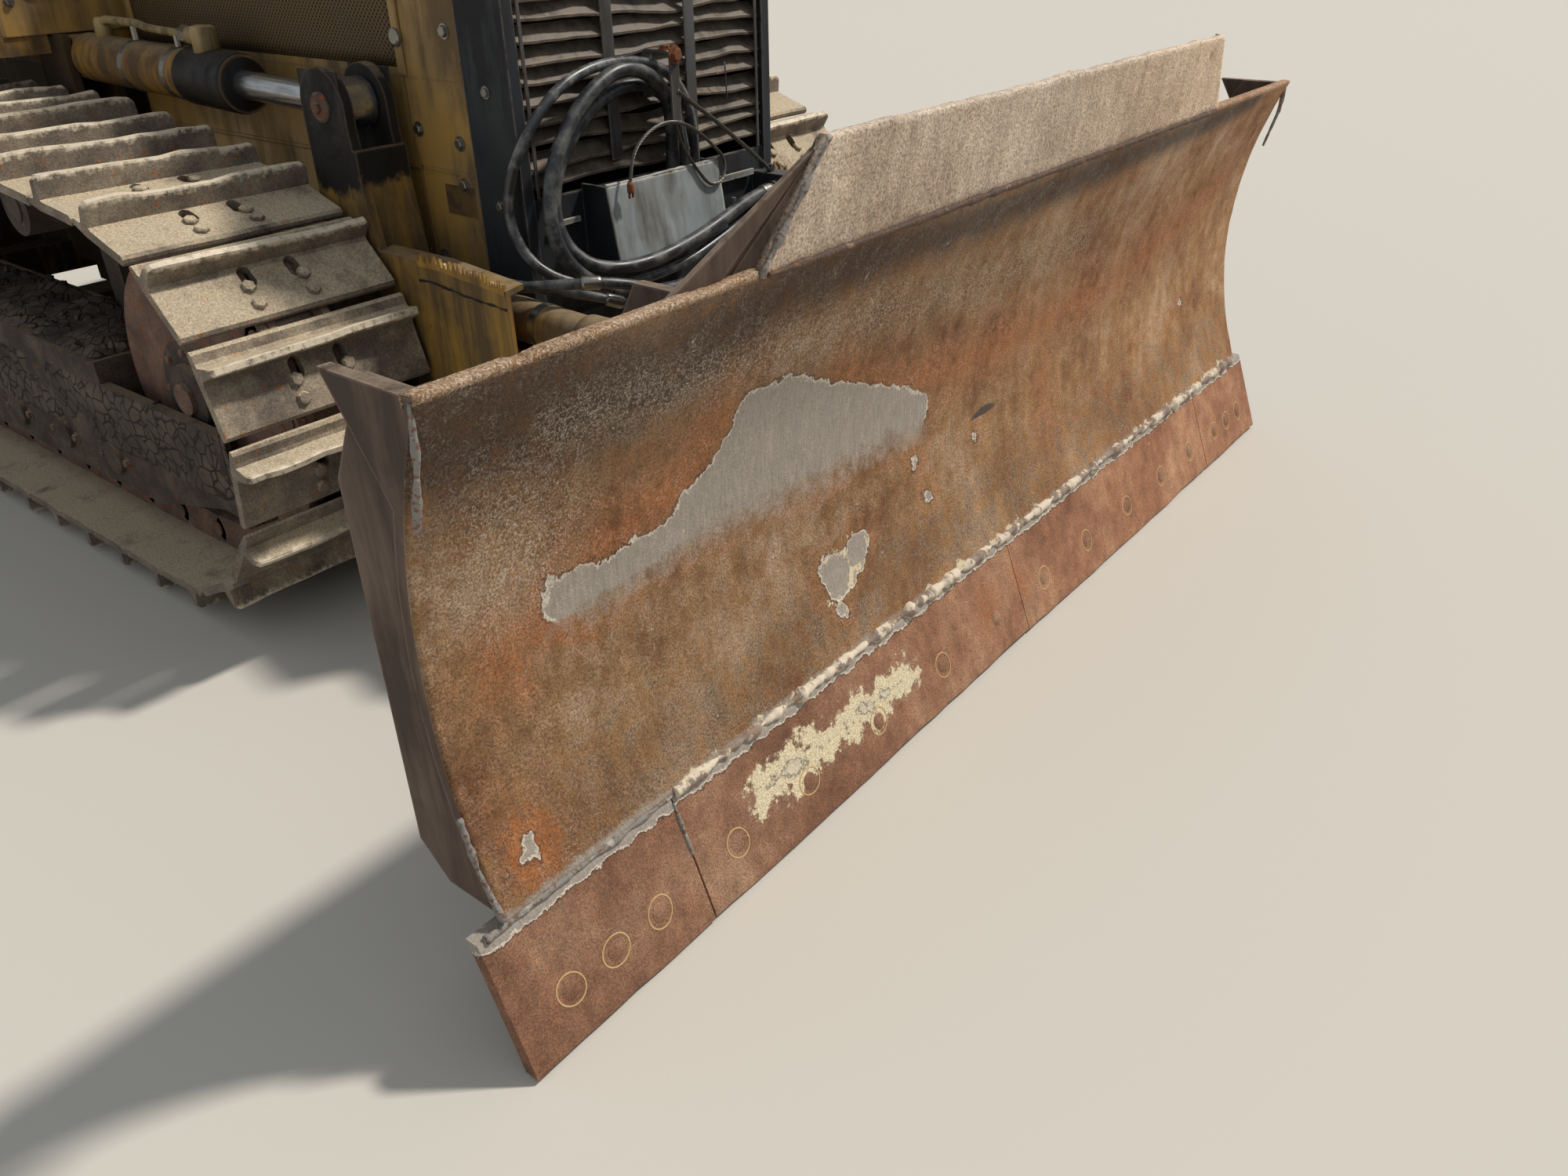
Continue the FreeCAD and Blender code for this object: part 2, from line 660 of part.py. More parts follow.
def sprocket():
    """A toothed rim, bolted to a plain drum: one root to each bushing."""
    teeth = int(size("sprocket_teeth"))
    centre = Vector(size("sprocket_x"), size("sprocket_z"), 0)
    near = min(PINS, key=lambda pin: abs((pin - centre).Length - SPROCKET_PITCH_RADIUS))
    phase = math.atan2(near.y - centre.y, near.x - centre.x)
    points = []
    for tooth in range(teeth):
        for share, reach in ((-0.14, -44), (0.14, -44), (0.36, 18), (0.64, 18)):
            ray = phase + (tooth + share) * 2 * math.pi / teeth
            radius = SPROCKET_PITCH_RADIUS + reach
            points.append(centre + Vector(math.cos(ray), math.sin(ray), 0) * radius)
    half = size("sprocket_width") / 2
    return ring(points, -half, half)


pair("track", solid("track", track()))

# Sprockets
rim = solid("sprocket_rim", sprocket())
rim.Placement = FreeCAD.Placement(Vector(0, size("track_centre"), 0), Rotation())
drum = rod(
    "sprocket_drum", "Y", "230",
    ("frame_inner + 40", "track_centre + 90"), ("sprocket_x", "sprocket_z"),
)
node("sprockets", both("sprockets", fuse("sprocket_left", rim, drum)))

# Front idlers: a rim between two lower tread shoulders, on an axle
idler_at = ("idler_x", "idler_z")
idler_rim = rod(
    "idler_rim", "Y", "idler_pitch_radius * cos(180 * 2 / 26) - rail_inside - 1 + 30",
    ("track_centre - rail_gap / 2 + 6", "track_centre + rail_gap / 2 - 6"), idler_at,
)
idler_tread = rod(
    "idler_tread", "Y", "340",
    ("track_centre - idler_width / 2", "track_centre + idler_width / 2"), idler_at,
)
idler_axle = rod(
    "idler_axle", "Y", "axle_radius",
    ("frame_inner + frame_plate", "frame_outer - frame_plate"), idler_at,
)
node("front_idlers", both("idlers", fuse("idler_left", idler_rim, idler_tread, idler_axle)))

# Track frames: two side plates with guards, tied by a beam over the rollers
roller_z = "idler_z - idler_pitch_radius + rail_inside + roller_radius + seat_gap"
plate_outline = (
    ("frame_tail_x", "guard_bottom"),
    ("first_roller_x + 180", "guard_bottom"),
    ("frame_nose_x", "frame_top - 200"),
    ("frame_nose_x", "frame_top"),
    ("frame_tail_x", "frame_top"),
)
frame_pieces = [
    pad("frame_side_in", "XZ", plate_outline, "frame_inner", "frame_inner + frame_plate"),
    pad("frame_side_out", "XZ", plate_outline, "frame_outer - frame_plate", "frame_outer"),
    block(
        "frame_beam", ("frame_tail_x", "idler_x - 400"),
        ("frame_inner", "frame_outer"), ("frame_beam_bottom", "frame_top + 60"),
    ),
]
for number, post_x in enumerate(("carrier_front_x", "carrier_rear_x")):
    frame_pieces.append(block(
        "carrier_post_%d" % number, (post_x + " - 45", post_x + " + 45"),
        ("frame_inner", "frame_inner + 45"),
        ("frame_top", "carrier_pin_z - rail_inside - carrier_radius + 45"),
    ))
node("track_frames", both("frames", fuse("track_frame_left", *frame_pieces)))

# Rollers: treads under the rails with a raised rim between them, on axles
rollers = []
spacing = "(last_roller_x - first_roller_x) / (roller_count - 1)"
roller_spots = [
    ("first_roller_x + %s * %d" % (spacing, number), roller_z, "roller_radius")
    for number in range(int(size("roller_count")))
]
carrier_z = "carrier_pin_z - rail_inside - carrier_radius - 3"
roller_spots += [
    ("carrier_front_x", carrier_z, "carrier_radius"),
    ("carrier_rear_x", carrier_z, "carrier_radius"),
]
for number, (spot_x, spot_z, radius) in enumerate(roller_spots):
    bottom = number < int(size("roller_count"))
    end = "frame_outer - frame_plate" if bottom else "track_centre + rail_gap"
    start = "frame_inner + frame_plate" if bottom else "frame_inner + 45"
    tread = rod(
        "roller_tread_%d" % number, "Y", radius,
        ("track_centre - rail_gap / 2 - rail_width",
         "track_centre + rail_gap / 2 + rail_width"), (spot_x, spot_z),
    )
    axle = rod("roller_axle_%d" % number, "Y", "axle_radius", (start, end), (spot_x, spot_z))
    rollers.append(fuse("roller_%d" % number, tread, axle))
node("track_rollers", both("rollers", gather("rollers_left", *rollers)))

# Main frame: two rails, steering case, belly plate, pivots and lift brackets
chassis = [
    block(
        "rail_left", ("case_front - 60", "chassis_front"),
        ("chassis_half - chassis_rail", "chassis_half"), ("chassis_bottom + 40", "chassis_top"),
    ),
    block(
        "rail_right", ("case_front - 60", "chassis_front"),
        ("-chassis_half", "-chassis_half + chassis_rail"), ("chassis_bottom + 40", "chassis_top"),
    ),
    block(
        "belly", ("case_front - 60", "chassis_front"), ("-chassis_half", "chassis_half"),
        ("chassis_bottom", "chassis_bottom + 40"),
    ),
    block(
        "front_tie", ("chassis_front - 90", "chassis_front"),
        ("-chassis_half", "chassis_half"), ("chassis_bottom", "chassis_top"),
    ),
    block(
        "steering_case", ("case_rear", "case_front"), ("-chassis_half", "chassis_half"),
        ("chassis_bottom + 60", "case_top"),
    ),
    block(
        "equalizer", ("equalizer_rear", "equalizer_front"), ("-frame_inner", "frame_inner"),
        ("chassis_bottom + 20", "frame_top"),
    ),
    block(
        "frame_pivots", ("frame_tail_x", "frame_tail_x + 120"), ("-frame_inner", "frame_inner"),
        ("frame_beam_bottom", "frame_top"),
    ),
    rod(
        "pivot_shaft", "Y", "pivot_pin - running_fit", ("-arm_outer", "arm_outer"),
        ("pivot_x", "pivot_z"),
    ),
    rod(
        "boss", "Y", "pivot_boss", ("-arm_inner + side_play", "arm_inner - side_play"),
        ("pivot_x", "pivot_z"),
    ),
]
for number, side in enumerate(("", "-")):
    inner, outer = ("arm_inner", "arm_outer") if not side else ("-arm_outer", "-arm_inner")
    for part_name, radius, reach in (
        ("final_drive", "drive_radius", "frame_inner - 30"), ("hub", "drive_hub", "frame_inner + 40"),
    ):
        span = ("chassis_half - drive_root", reach) if not side else (
            "-(%s)" % reach, "-chassis_half + drive_root")
        chassis.append(rod(
            "%s_%d" % (part_name, number), "Y", radius, span, ("sprocket_x", "sprocket_z"),
        ))
    chassis.append(block(
        "bracket_arm_%d" % number,
        ("lift_rear_x - bracket_rear", "lift_rear_x - bracket_rear + bracket_plate"),
        (("chassis_half - drive_root", "arm_outer") if not side
         else ("-arm_outer", "-chassis_half + drive_root")),
        ("bracket_foot", "deck_top - fender_lip - 8"),
    ))
    chassis.append(block(
        "foot_%d" % number, ("lift_rear_x - bracket_rear", "lift_rear_x + 90"),
        (("chassis_half - drive_root", "arm_inner - 20") if not side
         else ("-arm_inner + 20", "-chassis_half + drive_root")),
        ("bracket_foot - 140", "bracket_foot + 40"),
    ))
    for ear, edge in enumerate((inner, outer + " - cheek")):
        chassis.append(block(
            "bracket_ear_%d_%d" % (number, ear),
            ("lift_rear_x - bracket_rear", "lift_rear_x + bracket_front"),
            (edge, edge + " + cheek"), ("lift_rear_z - 320", "lift_rear_z + 60"),
        ))
    chassis.append(rod(
        "bracket_pin_%d" % number, "Y", "lift_pin - running_fit", (inner, outer),
        ("lift_rear_x", "lift_rear_z"),
    ))
node("main_frame", fuse("main_frame_all", *chassis))

# Drawbar: a bar out of the steering case with an open clevis and its pin hole
bar = block(
    "drawbar_bar", ("rear_x", "case_rear"), ("-drawbar_half", "drawbar_half"),
    ("drawbar_bottom", "drawbar_top"),
)
bar_slot = block(
    "drawbar_gap", ("rear_x - 1", "rear_x + drawbar_mouth"),
    ("-drawbar_half - 1", "drawbar_half + 1"),
    ("(drawbar_bottom + drawbar_top - drawbar_slot) / 2",
     "(drawbar_bottom + drawbar_top + drawbar_slot) / 2"),
)
bar_hole = rod(
    "drawbar_hole", "Z", "drawbar_bore", ("drawbar_bottom - 1", "drawbar_top + 1"),
    ("drawbar_pin_x", "0"),
)
node("drawbar", cut("drawbar_cut", bar, bar_slot, bar_hole))

# Engine, radiator core, its guard and the grille
node("engine_block", block(
    "engine", ("engine_rear", "engine_front"),
    ("-chassis_half + chassis_rail", "chassis_half - chassis_rail"),
    ("pivot_z + 100", "engine_top"),
))
node("radiator_core", block(
    "core", ("nose_rear - 110", "nose_rear"), ("-nose_half + nose_wall", "nose_half - nose_wall"),
    ("nose_bottom + nose_wall", "hood_top - nose_wall"),
))
guard_box = block(
    "guard_box", ("nose_rear", "nose_front"), ("-nose_half", "nose_half"),
    ("nose_bottom - 2", "hood_top"),
)
guard_hole = block(
    "guard_hole", ("nose_rear - 1", "nose_front + 1"),
    ("-nose_half + nose_wall", "nose_half - nose_wall"),
    ("nose_bottom + nose_wall", "hood_top - nose_wall"),
)
guard = [
    cut("guard_frame", guard_box, guard_hole),
    block(
        "apron", ("nose_front - apron_face - apron_plate", "nose_front - apron_face"),
        ("-nose_half + nose_wall - 2", "nose_half - nose_wall + 2"),
        ("nose_bottom + nose_wall - 2", "apron_top"),
    ),
    pad(
        "trough_front", "XZ",
        (
            ("trough_bottom_x - trough_plate", "trough_bottom"), ("trough_bottom_x", "trough_bottom"),
            ("trough_top_x", "trough_top"), ("trough_top_x - trough_plate", "trough_top"),
        ),
        "trough_right", "trough_left",
    ),
    block(
        "trough_floor", ("nose_front - apron_face - 2", "trough_bottom_x - 2"),
        ("trough_right", "trough_left"), ("trough_bottom", "trough_bottom + trough_plate"),
    ),
    block(
        "manifold", ("nose_front - apron_face - 2", "nose_front + 65"), ("-18", "130"),
        ("trough_bottom", "port_bottom"),
    ),
    block(
        "port_block", ("nose_front - apron_face - 2", "nose_front + 103"),
        ("block_face", "block_face + 60"), ("trough_bottom - 30", "trough_bottom + 105"),
    ),
    block(
        "rope_lug", ("nose_front + 33", "nose_front + 49"), ("block_face + 16", "block_face + 30"),
        ("trough_bottom + 100", "trough_bottom + 125"),
    ),
]
trough_end = (
    ("nose_front - apron_face - 2", "trough_bottom"), ("trough_bottom_x - 1", "trough_bottom"),
    ("trough_top_x - 1", "trough_top"), ("nose_front - apron_face - 2", "trough_top"),
)
for which, low, high in (
    ("right", "trough_right", "trough_right + trough_plate"),
    ("left", "trough_left - trough_plate", "trough_left"),
):
    guard.append(pad("trough_" + which, "XZ", trough_end, low, high))

# Free hoses and wire rope: name, diameter, and the points that each runs through
CORDS = (
    ("hose_front", 34, (
        (1382, 8, 880), (1384, 8, 985), (1394, 5, 1080), (1403, -18, 1158), (1405, -76, 1210),
        (1402, -160, 1232), (1402, -250, 1203), (1408, -332, 1150), (1417, -402, 1084),
        (1428, -449, 1004), (1442, -468, 920), (1462, -446, 842), (1482, -388, 786),
        (1494, -300, 748), (1498, -190, 726), (1492, -75, 716), (1480, 40, 716),
        (1462, 145, 735), (1442, 238, 765), (1426, 310, 786), (1424, 362, 790),
    )),
    ("hose_inner", 34, (
        (1374, 64, 880), (1374, 64, 975), (1371, 59, 1060), (1367, 32, 1132), (1366, -26, 1174),
        (1366, -100, 1188), (1366, -180, 1176), (1366, -258, 1140), (1367, -326, 1082),
        (1370, -378, 1012), (1380, -402, 938), (1406, -400, 868), (1440, -364, 820),
        (1468, -298, 800), (1480, -198, 797), (1478, -95, 806), (1470, 15, 821),
        (1458, 118, 840), (1440, 212, 856), (1426, 300, 866), (1424, 362, 868),
    )),
    ("hose_outer", 25, (
        (1370, 112, 880), (1370, 112, 975), (1370, 108, 1065), (1368, 84, 1145), (1365, 30, 1202),
        (1364, -48, 1230), (1364, -138, 1240), (1370, -230, 1236), (1376, -318, 1216),
        (1378, -394, 1174), (1366, -448, 1112), (1340, -474, 1045), (1318, -482, 975),
        (1322, -482, 908), (1352, -474, 850), (1392, -446, 808), (1430, -402, 784),
        (1454, -334, 768), (1462, -240, 755), (1466, -135, 756), (1468, -25, 768),
        (1460, 85, 790), (1446, 190, 810), (1430, 290, 826), (1424, 362, 829),
    )),
    ("wire_rope", 12, (
        (1426, -6, 1165), (1424, 52, 1128), (1418, 140, 1078), (1412, 237, 1013),
        (1405, 330, 953), (1388, 402, 907),
    )),
    ("wire_loop", 9, (
        (1452, -215, 984), (1446, -202, 1020), (1440, -178, 1056), (1438, -128, 1088),
        (1438, -66, 1102), (1438, 0, 1091), (1434, 67, 1056), (1428, 127, 1012),
        (1431, 152, 988), (1436, 153, 962), (1440, 138, 938), (1441, 112, 926), (1440, 84, 930),
        (1436, 62, 952), (1428, 40, 984), (1424, 12, 1024), (1424, -8, 1062), (1426, -16, 1096),
    )),
    ("drain_hose", 10, (
        (1426, -2, 1096), (1420, 12, 1058), (1410, 28, 1015), (1404, 38, 968), (1401, 41, 922),
        (1400, 40, 880),
    )),
    ("frame_hose_upper", 25, (
        (1000, -600, 818), (1130, -606, 814), (1290, -614, 818), (1400, -606, 818),
        (1490, -590, 829), (1562, -554, 838), (1614, -492, 838), (1643, -412, 818),
        (1656, -342, 788), (1662, -290, 752), (1662, -252, 702), (1662, -240, 640),
    )),
    ("frame_hose_lower", 22, (
        (1000, -560, 818), (1130, -566, 814), (1290, -573, 817), (1390, -567, 816),
        (1478, -549, 813), (1548, -519, 809), (1600, -466, 792), (1622, -404, 764),
        (1628, -345, 726), (1629, -298, 676), (1628, -280, 624),
    )),
)

ROUTES = {name: (diameter, points) for name, diameter, points in CORDS}

# Glands on the guard: along which axis, hose, face that the block ends at
for which, axis, cord_name, start, end in (
    ("front", "Z", "hose_front", "port_bottom - 5", "gland_face"),
    ("inner", "Z", "hose_inner", "port_bottom - 5", "gland_face"),
    ("outer", "Z", "hose_outer", "port_bottom - 5", "gland_face"),
    ("side_front", "Y", "hose_front", "block_gland_face", "block_face + 5"),
    ("side_inner", "Y", "hose_inner", "block_gland_face", "block_face + 5"),
    ("side_outer", "Y", "hose_outer", "block_gland_face", "block_face + 5"),
):
    diameter, points = ROUTES[cord_name]
    spot = points[0][:2] if axis == "Z" else (points[-1][0], points[-1][2])
    guard.append(rod(
        "gland_" + which, axis, "%g / 2 + gland_wall" % diameter, (start, end),
        ("%g" % spot[0], "%g" % spot[1]),
    ))
drain_width, drain_points = ROUTES["drain_hose"]
drain_end = drain_points[-1]
guard.append(rod(
    "gland_drain", "Z", "%g / 2 + gland_wall" % drain_width, ("port_bottom - 5", "gland_face"),
    ("%g" % drain_end[0], "%g" % drain_end[1]),
))
node("radiator_guard", fuse("radiator_guard_all", *guard))

# Hoses, rope and the socket at the rope's end
for cord_name, diameter, points in CORDS:
    node(cord_name, solid(cord_name + "_tube", tube(cord_name + "_tube", points, diameter)))
loop_end = ROUTES["wire_loop"][1][0]
socket = rod("rope_socket_piece", "Z", "9", ("%g - 34" % loop_end[2], "%g + 3" % loop_end[2]),
             ("%g" % loop_end[0], "%g" % loop_end[1]))
node("rope_socket", socket)

# Grille: sloping louvres, their bars and the strap that the hoses hang from
louvres = []
louvre_count = int(size("(hood_top - nose_wall - apron_top) / louvre_pitch"))
for number in range(louvre_count):
    z = "hood_top - nose_wall - louvre_pitch * %d" % (number + 1)
    louvres.append(pad(
        "louvre_%02d" % number, "XZ",
        (
            ("nose_front - 12 - louvre_depth", z + " + louvre_depth"),
            ("nose_front - 12", z),
            ("nose_front - 12", z + " + louvre_plate * 1.4"),
            ("nose_front - 12 - louvre_depth", z + " + louvre_depth + louvre_plate * 1.4"),
        ),
        "-nose_half + nose_wall", "nose_half - nose_wall",
    ))
for number, side in enumerate(("-", "")):
    middle = side + "grille_bar_y"
    louvres.append(block(
        "grille_bar_%d" % number, ("nose_front - 14", "nose_front - 4"),
        (middle + " - grille_bar / 2", middle + " + grille_bar / 2"),
        ("apron_top + 60", "hood_top - nose_wall"),
    ))
    middle = side + "border_y"
    louvres.append(block(
        "border_bar_%d" % number, ("nose_front - 14", "nose_front - 4"),
        (middle + " - border_bar / 2", middle + " + border_bar / 2"),
        ("apron_top + 4", "hood_top - nose_wall"),
    ))
for which, x, z in (
    ("back", ("hanger_back_x", "hanger_back_x + hanger_plate + 4"), ("hanger_top - 100", "hanger_top")),
    ("top", ("hanger_back_x", "hanger_front_x"), ("hanger_top - hanger_plate", "hanger_top")),
    ("front", ("hanger_front_x - hanger_plate", "hanger_front_x"), ("hanger_foot", "hanger_top")),
):
    louvres.append(block("hanger_" + which, x, ("hanger_right", "hanger_left"), z))
node("grille_louvres", fuse("grille", *louvres))

# Hood: a bent sheet over the engine, and the side panels under it
def hood_profile(inset):
    """Half-round cornered hood section, in Y and Z."""
    half = "nose_half - %s" % inset
    top = "hood_top - %s" % inset
    corner = "hood_corner - %s" % inset
    return (
        ("-(%s)" % half, "hood_skirt_z"),
        (half, "hood_skirt_z"),
        (half, "%s - (%s)" % (top, corner), corner, 1),
        ("%s - (%s)" % (half, corner), top),
        ("-(%s) + %s" % (half, corner), top, corner, 1),
        ("-(%s)" % half, "%s - (%s)" % (top, corner)),
    )


hood_skin = pad("hood_skin", "YZ", hood_profile("0"), "hood_rear", "nose_rear")
hood_inside = pad("hood_inside", "YZ", hood_profile("hood_sheet"), "hood_rear - 1", "nose_rear + 1")
hood_drop = block(
    "hood_drop", ("hood_rear - 1", "nose_rear + 1"), ("-nose_half + hood_sheet", "nose_half - hood_sheet"),
    ("hood_skirt_z - 1", "hood_skirt_z + 50"),
)
node("hood", cut("hood_cut", hood_skin, hood_inside, hood_drop))
panels = [
    block(
        "side_panel_%d" % number, (x_low, x_high),
        ("nose_half - hood_sheet", "nose_half"), (z_low, z_high),
    )
    for number, (x_low, x_high, z_low, z_high) in enumerate((
        ("hood_rear", "front_panel_x - 6", "side_seam_z + 4", "hood_skirt_z"),
        ("front_panel_x", "nose_rear", "chassis_top", "hood_skirt_z"),
        ("hood_rear", "front_panel_x - 6", "chassis_top + 20", "side_seam_z - 4"),
    ))
]
node("side_panels", both("panels", gather("panels_left", *panels)))

# Exhaust stack and air cleaner, on the hood
node("exhaust_stack", fuse(
    "stack",
    rod("muffler", "Z", "muffler_radius", ("hood_top", "hood_top + muffler_height"),
        ("stack_x", "stack_y")),
    rod("stack_pipe", "Z", "stack_radius",
        ("hood_top + muffler_height - 20", "hood_top + stack_height"), ("stack_x", "stack_y")),
))
node("air_cleaner", fuse(
    "cleaner",
    rod("cleaner_pipe", "Z", "cleaner_neck", ("hood_top", "hood_top + cleaner_bottom + 30"),
        ("cleaner_x", "cleaner_y")),
    rod("cleaner_bowl", "Z", "cleaner_radius",
        ("hood_top + cleaner_bottom", "hood_top + cleaner_top"), ("cleaner_x", "cleaner_y")),
))

# Deck with its lips, over both tracks
deck_plate = block(
    "deck_plate", ("deck_rear", "deck_front"), ("-deck_half", "deck_half"),
    ("deck_top - deck_sheet", "deck_top"),
)
deck_edge = block(
    "deck_edge", ("deck_rear", "deck_front"), ("-deck_half", "deck_half"),
    ("deck_top - fender_lip", "deck_top - deck_sheet / 2"),
)
deck_under = block(
    "deck_under", ("deck_rear + deck_sheet", "deck_front - deck_sheet"),
    ("-deck_half + deck_sheet", "deck_half - deck_sheet"),
    ("deck_top - fender_lip - 1", "deck_top - deck_sheet"),
)
deck_support = block(
    "deck_support", ("case_rear + 200", "case_front"), ("-chassis_half", "chassis_half"),
    ("case_top", "deck_top - deck_sheet / 2"),
)
deck_notches = [
    block(
        "deck_notch_%d" % number, ("lift_rear_x - bracket_rear - bracket_room", "deck_front + 1"), across,
        ("deck_top - fender_lip - 1", "deck_top + 1"),
    )
    for number, across in enumerate((
        ("arm_inner - bracket_room", "arm_outer + bracket_room"),
        ("-arm_outer - bracket_room", "-arm_inner + bracket_room"),
    ))
]
deck_all = fuse("deck_all", deck_plate, cut("deck_lip", deck_edge, deck_under), deck_support)
node("deck", cut("deck_cut", deck_all, *deck_notches))

# Cab: walls with their windows cut, roof, glass and two hinged doors
cab_low = "deck_top"
front_wall = block(
    "front_wall", ("cab_front - cab_wall", "cab_front"), ("-cab_half", "cab_half"),
    (cab_low, "cab_top"),
)
front_window = block(
    "front_window", ("cab_front - cab_wall - 1", "cab_front + 1"),
    ("-cab_half + window_frame", "cab_half - window_frame"),
    ("hood_top + 40", "cab_top - window_frame"),
)
low_panes = [
    block(
        "front_low_%d" % number, ("cab_front - cab_wall - 1", "cab_front + 1"), across,
        ("door_bottom + 60", "hood_top - 20"),
    )
    for number, across in enumerate((
        ("nose_half + 30", "cab_half - window_frame"), ("-cab_half + window_frame", "-nose_half - 30"),
    ))
]
node("cab_front", cut("cab_front_cut", front_wall, front_window, *low_panes))
rear_wall = block(
    "rear_wall", ("cab_rear", "cab_rear + cab_wall"), ("-cab_half", "cab_half"),
    (cab_low, "cab_top"),
)
rear_window = block(
    "rear_window", ("cab_rear - 1", "cab_rear + cab_wall + 1"),
    ("-cab_half + window_frame", "cab_half - window_frame"),
    ("tank_top + 60", "cab_top - window_frame"),
)
node("cab_rear", cut("cab_rear_cut", rear_wall, rear_window))
side_wall = block(
    "side_wall", ("cab_rear + cab_wall", "cab_front - cab_wall"),
    ("cab_half - cab_wall", "cab_half"), (cab_low, "cab_top"),
)
door_opening = block(
    "door_opening", ("door_rear", "door_front"), ("cab_half - cab_wall - 1", "cab_half + 1"),
    ("door_bottom", "door_top"),
)
quarter_window = block(
    "quarter_window", ("cab_rear + cab_wall + window_frame", "door_rear - window_frame"),
    ("cab_half - cab_wall - 1", "cab_half + 1"), ("tank_top + 60", "cab_top - window_frame"),
)
hinge_y = "cab_half + hinge_out"
hinge_x = "door_rear + hinge_knuckle / 2"
side_pieces = [cut("side_cut", side_wall, door_opening, quarter_window)]
KNUCKLES = (("low", "door_bottom + knuckle_inset"), ("high", "door_top - knuckle_inset"))
for which, z in KNUCKLES:
    side_pieces.append(rod(
        "hinge_pin_" + which, "Z", "hinge_pin", (z + " - 45", z + " + 45"), (hinge_x, hinge_y),
    ))
    for end, (low, high) in enumerate((("-45", "-25"), ("25", "45"))):
        side_pieces.append(rod(
            "hinge_fixed_%s_%d" % (which, end), "Z", "hinge_knuckle",
            ("%s + (%s)" % (z, low), "%s + (%s)" % (z, high)), (hinge_x, hinge_y),
        ))
        side_pieces.append(block(
            "hinge_strap_%s_%d" % (which, end), ("door_rear - 60", "door_rear"),
            ("cab_half - 2", "cab_half + hinge_out"),
            ("%s + (%s)" % (z, low), "%s + (%s)" % (z, high)),
        ))
pair("cab_side", fuse("cab_side", *side_pieces))
roof_outline = (
    ("-cab_half - roof_lip", "cab_top"),
    ("cab_half + roof_lip", "cab_top"),
    ("cab_half + roof_lip", "cab_top + roof_height - roof_corner", "roof_corner", 1),
    ("cab_half + roof_lip - roof_corner", "cab_top + roof_height"),
    ("-cab_half - roof_lip + roof_corner", "cab_top + roof_height", "roof_corner", 1),
    ("-cab_half - roof_lip", "cab_top + roof_height - roof_corner"),
)
node("cab_roof", pad("roof", "YZ", roof_outline, "cab_rear - roof_lip", "cab_front + roof_lip"))
glass = [
    block(
        "glass_front", ("cab_front - cab_wall / 2 - pane", "cab_front - cab_wall / 2"),
        ("-cab_half + window_frame", "cab_half - window_frame"),
        ("hood_top + 40", "cab_top - window_frame"),
    ),
    block(
        "glass_rear", ("cab_rear + cab_wall / 2", "cab_rear + cab_wall / 2 + pane"),
        ("-cab_half + window_frame", "cab_half - window_frame"),
        ("tank_top + 60", "cab_top - window_frame"),
    ),
]
for number, (low, high) in enumerate((
    ("cab_half - cab_wall / 2 - pane", "cab_half - cab_wall / 2"),
    ("-cab_half + cab_wall / 2", "-cab_half + cab_wall / 2 + pane"),
)):
    glass.append(block(
        "glass_quarter_%d" % number,
        ("cab_rear + cab_wall + window_frame", "door_rear - window_frame"),
        (low, high), ("tank_top + 60", "cab_top - window_frame"),
    ))
for number, across in enumerate((
    ("nose_half + 30", "cab_half - window_frame"), ("-cab_half + window_frame", "-nose_half - 30"),
)):
    glass.append(block(
        "glass_low_%d" % number,
        ("cab_front - cab_wall / 2 - pane", "cab_front - cab_wall / 2"), across,
        ("door_bottom + 60", "hood_top - 20"),
    ))
node("cab_glass", gather("glass", *glass))
leaf = block(
    "door_leaf", ("door_rear + door_gap", "door_front - door_gap"),
    ("cab_half - cab_wall", "cab_half"), ("door_bottom + door_gap", "door_top - door_gap"),
)
PANES = (
    ("low", "door_bottom + window_frame + 60", "door_bottom + 560"),
    ("high", "door_bottom + 640", "door_top - window_frame - door_gap"),
)
door_x = ("door_rear + door_gap + window_frame", "door_front - door_gap - window_frame")
door_cuts = [
    block("door_window_" + which, door_x, ("cab_half - cab_wall - 1", "cab_half + 1"), (low, high))
    for which, low, high in PANES
]
door_pieces = [cut("door_cut", leaf, *door_cuts)]
for which, z in KNUCKLES:
    knuckle = rod(
        "hinge_moving_" + which, "Z", "hinge_knuckle", (z + " - 24.5", z + " + 24.5"),
        (hinge_x, hinge_y),
    )
    strap = block(
        "hinge_leaf_" + which, (hinge_x, "door_rear + 80"), ("cab_half - 2", "cab_half + hinge_out"),
        (z + " - 24.5", z + " + 24.5"),
    )
    bore = rod(
        "hinge_bore_" + which, "Z", "hinge_pin + running_fit", (z + " - 30", z + " + 30"),
        (hinge_x, hinge_y),
    )
    door_pieces.append(cut("hinge_%s_cut" % which, fuse("hinge_%s" % which, knuckle, strap), bore))
pair("door", fuse("door", *door_pieces))
pair("door_glass", gather("door_panes", *[
    block(
        "door_pane_" + which, door_x,
        ("cab_half - cab_wall / 2 - pane", "cab_half - cab_wall / 2"), (low, high),
    )
    for which, low, high in PANES
]))

# Seat and control console on the cab's floor, which is the deck
node("operator_seat", fuse(
    "seat",
    block("seat_base", ("seat_back_front", "seat_base_front"),
          ("-seat_base_half", "seat_base_half"), ("deck_top", "seat_bottom + 20")),
    block("seat_cushion", ("seat_rear", "seat_front"), ("-seat_half", "seat_half"),
          ("seat_bottom", "seat_top")),
    block("seat_back", ("seat_back_rear", "seat_back_front"), ("-seat_half", "seat_half"),
          ("seat_top - 80", "seat_back_top")),
))
node("control_console", fuse(
    "console",
    block("console_box", ("console_rear", "console_front"), ("console_inner", "console_outer"),
          ("deck_top", "console_top")),
    block("dash", ("cab_front - dash_depth", "cab_front - cab_wall"), ("-dash_half", "dash_half"),
          ("deck_top", "dash_top")),
))

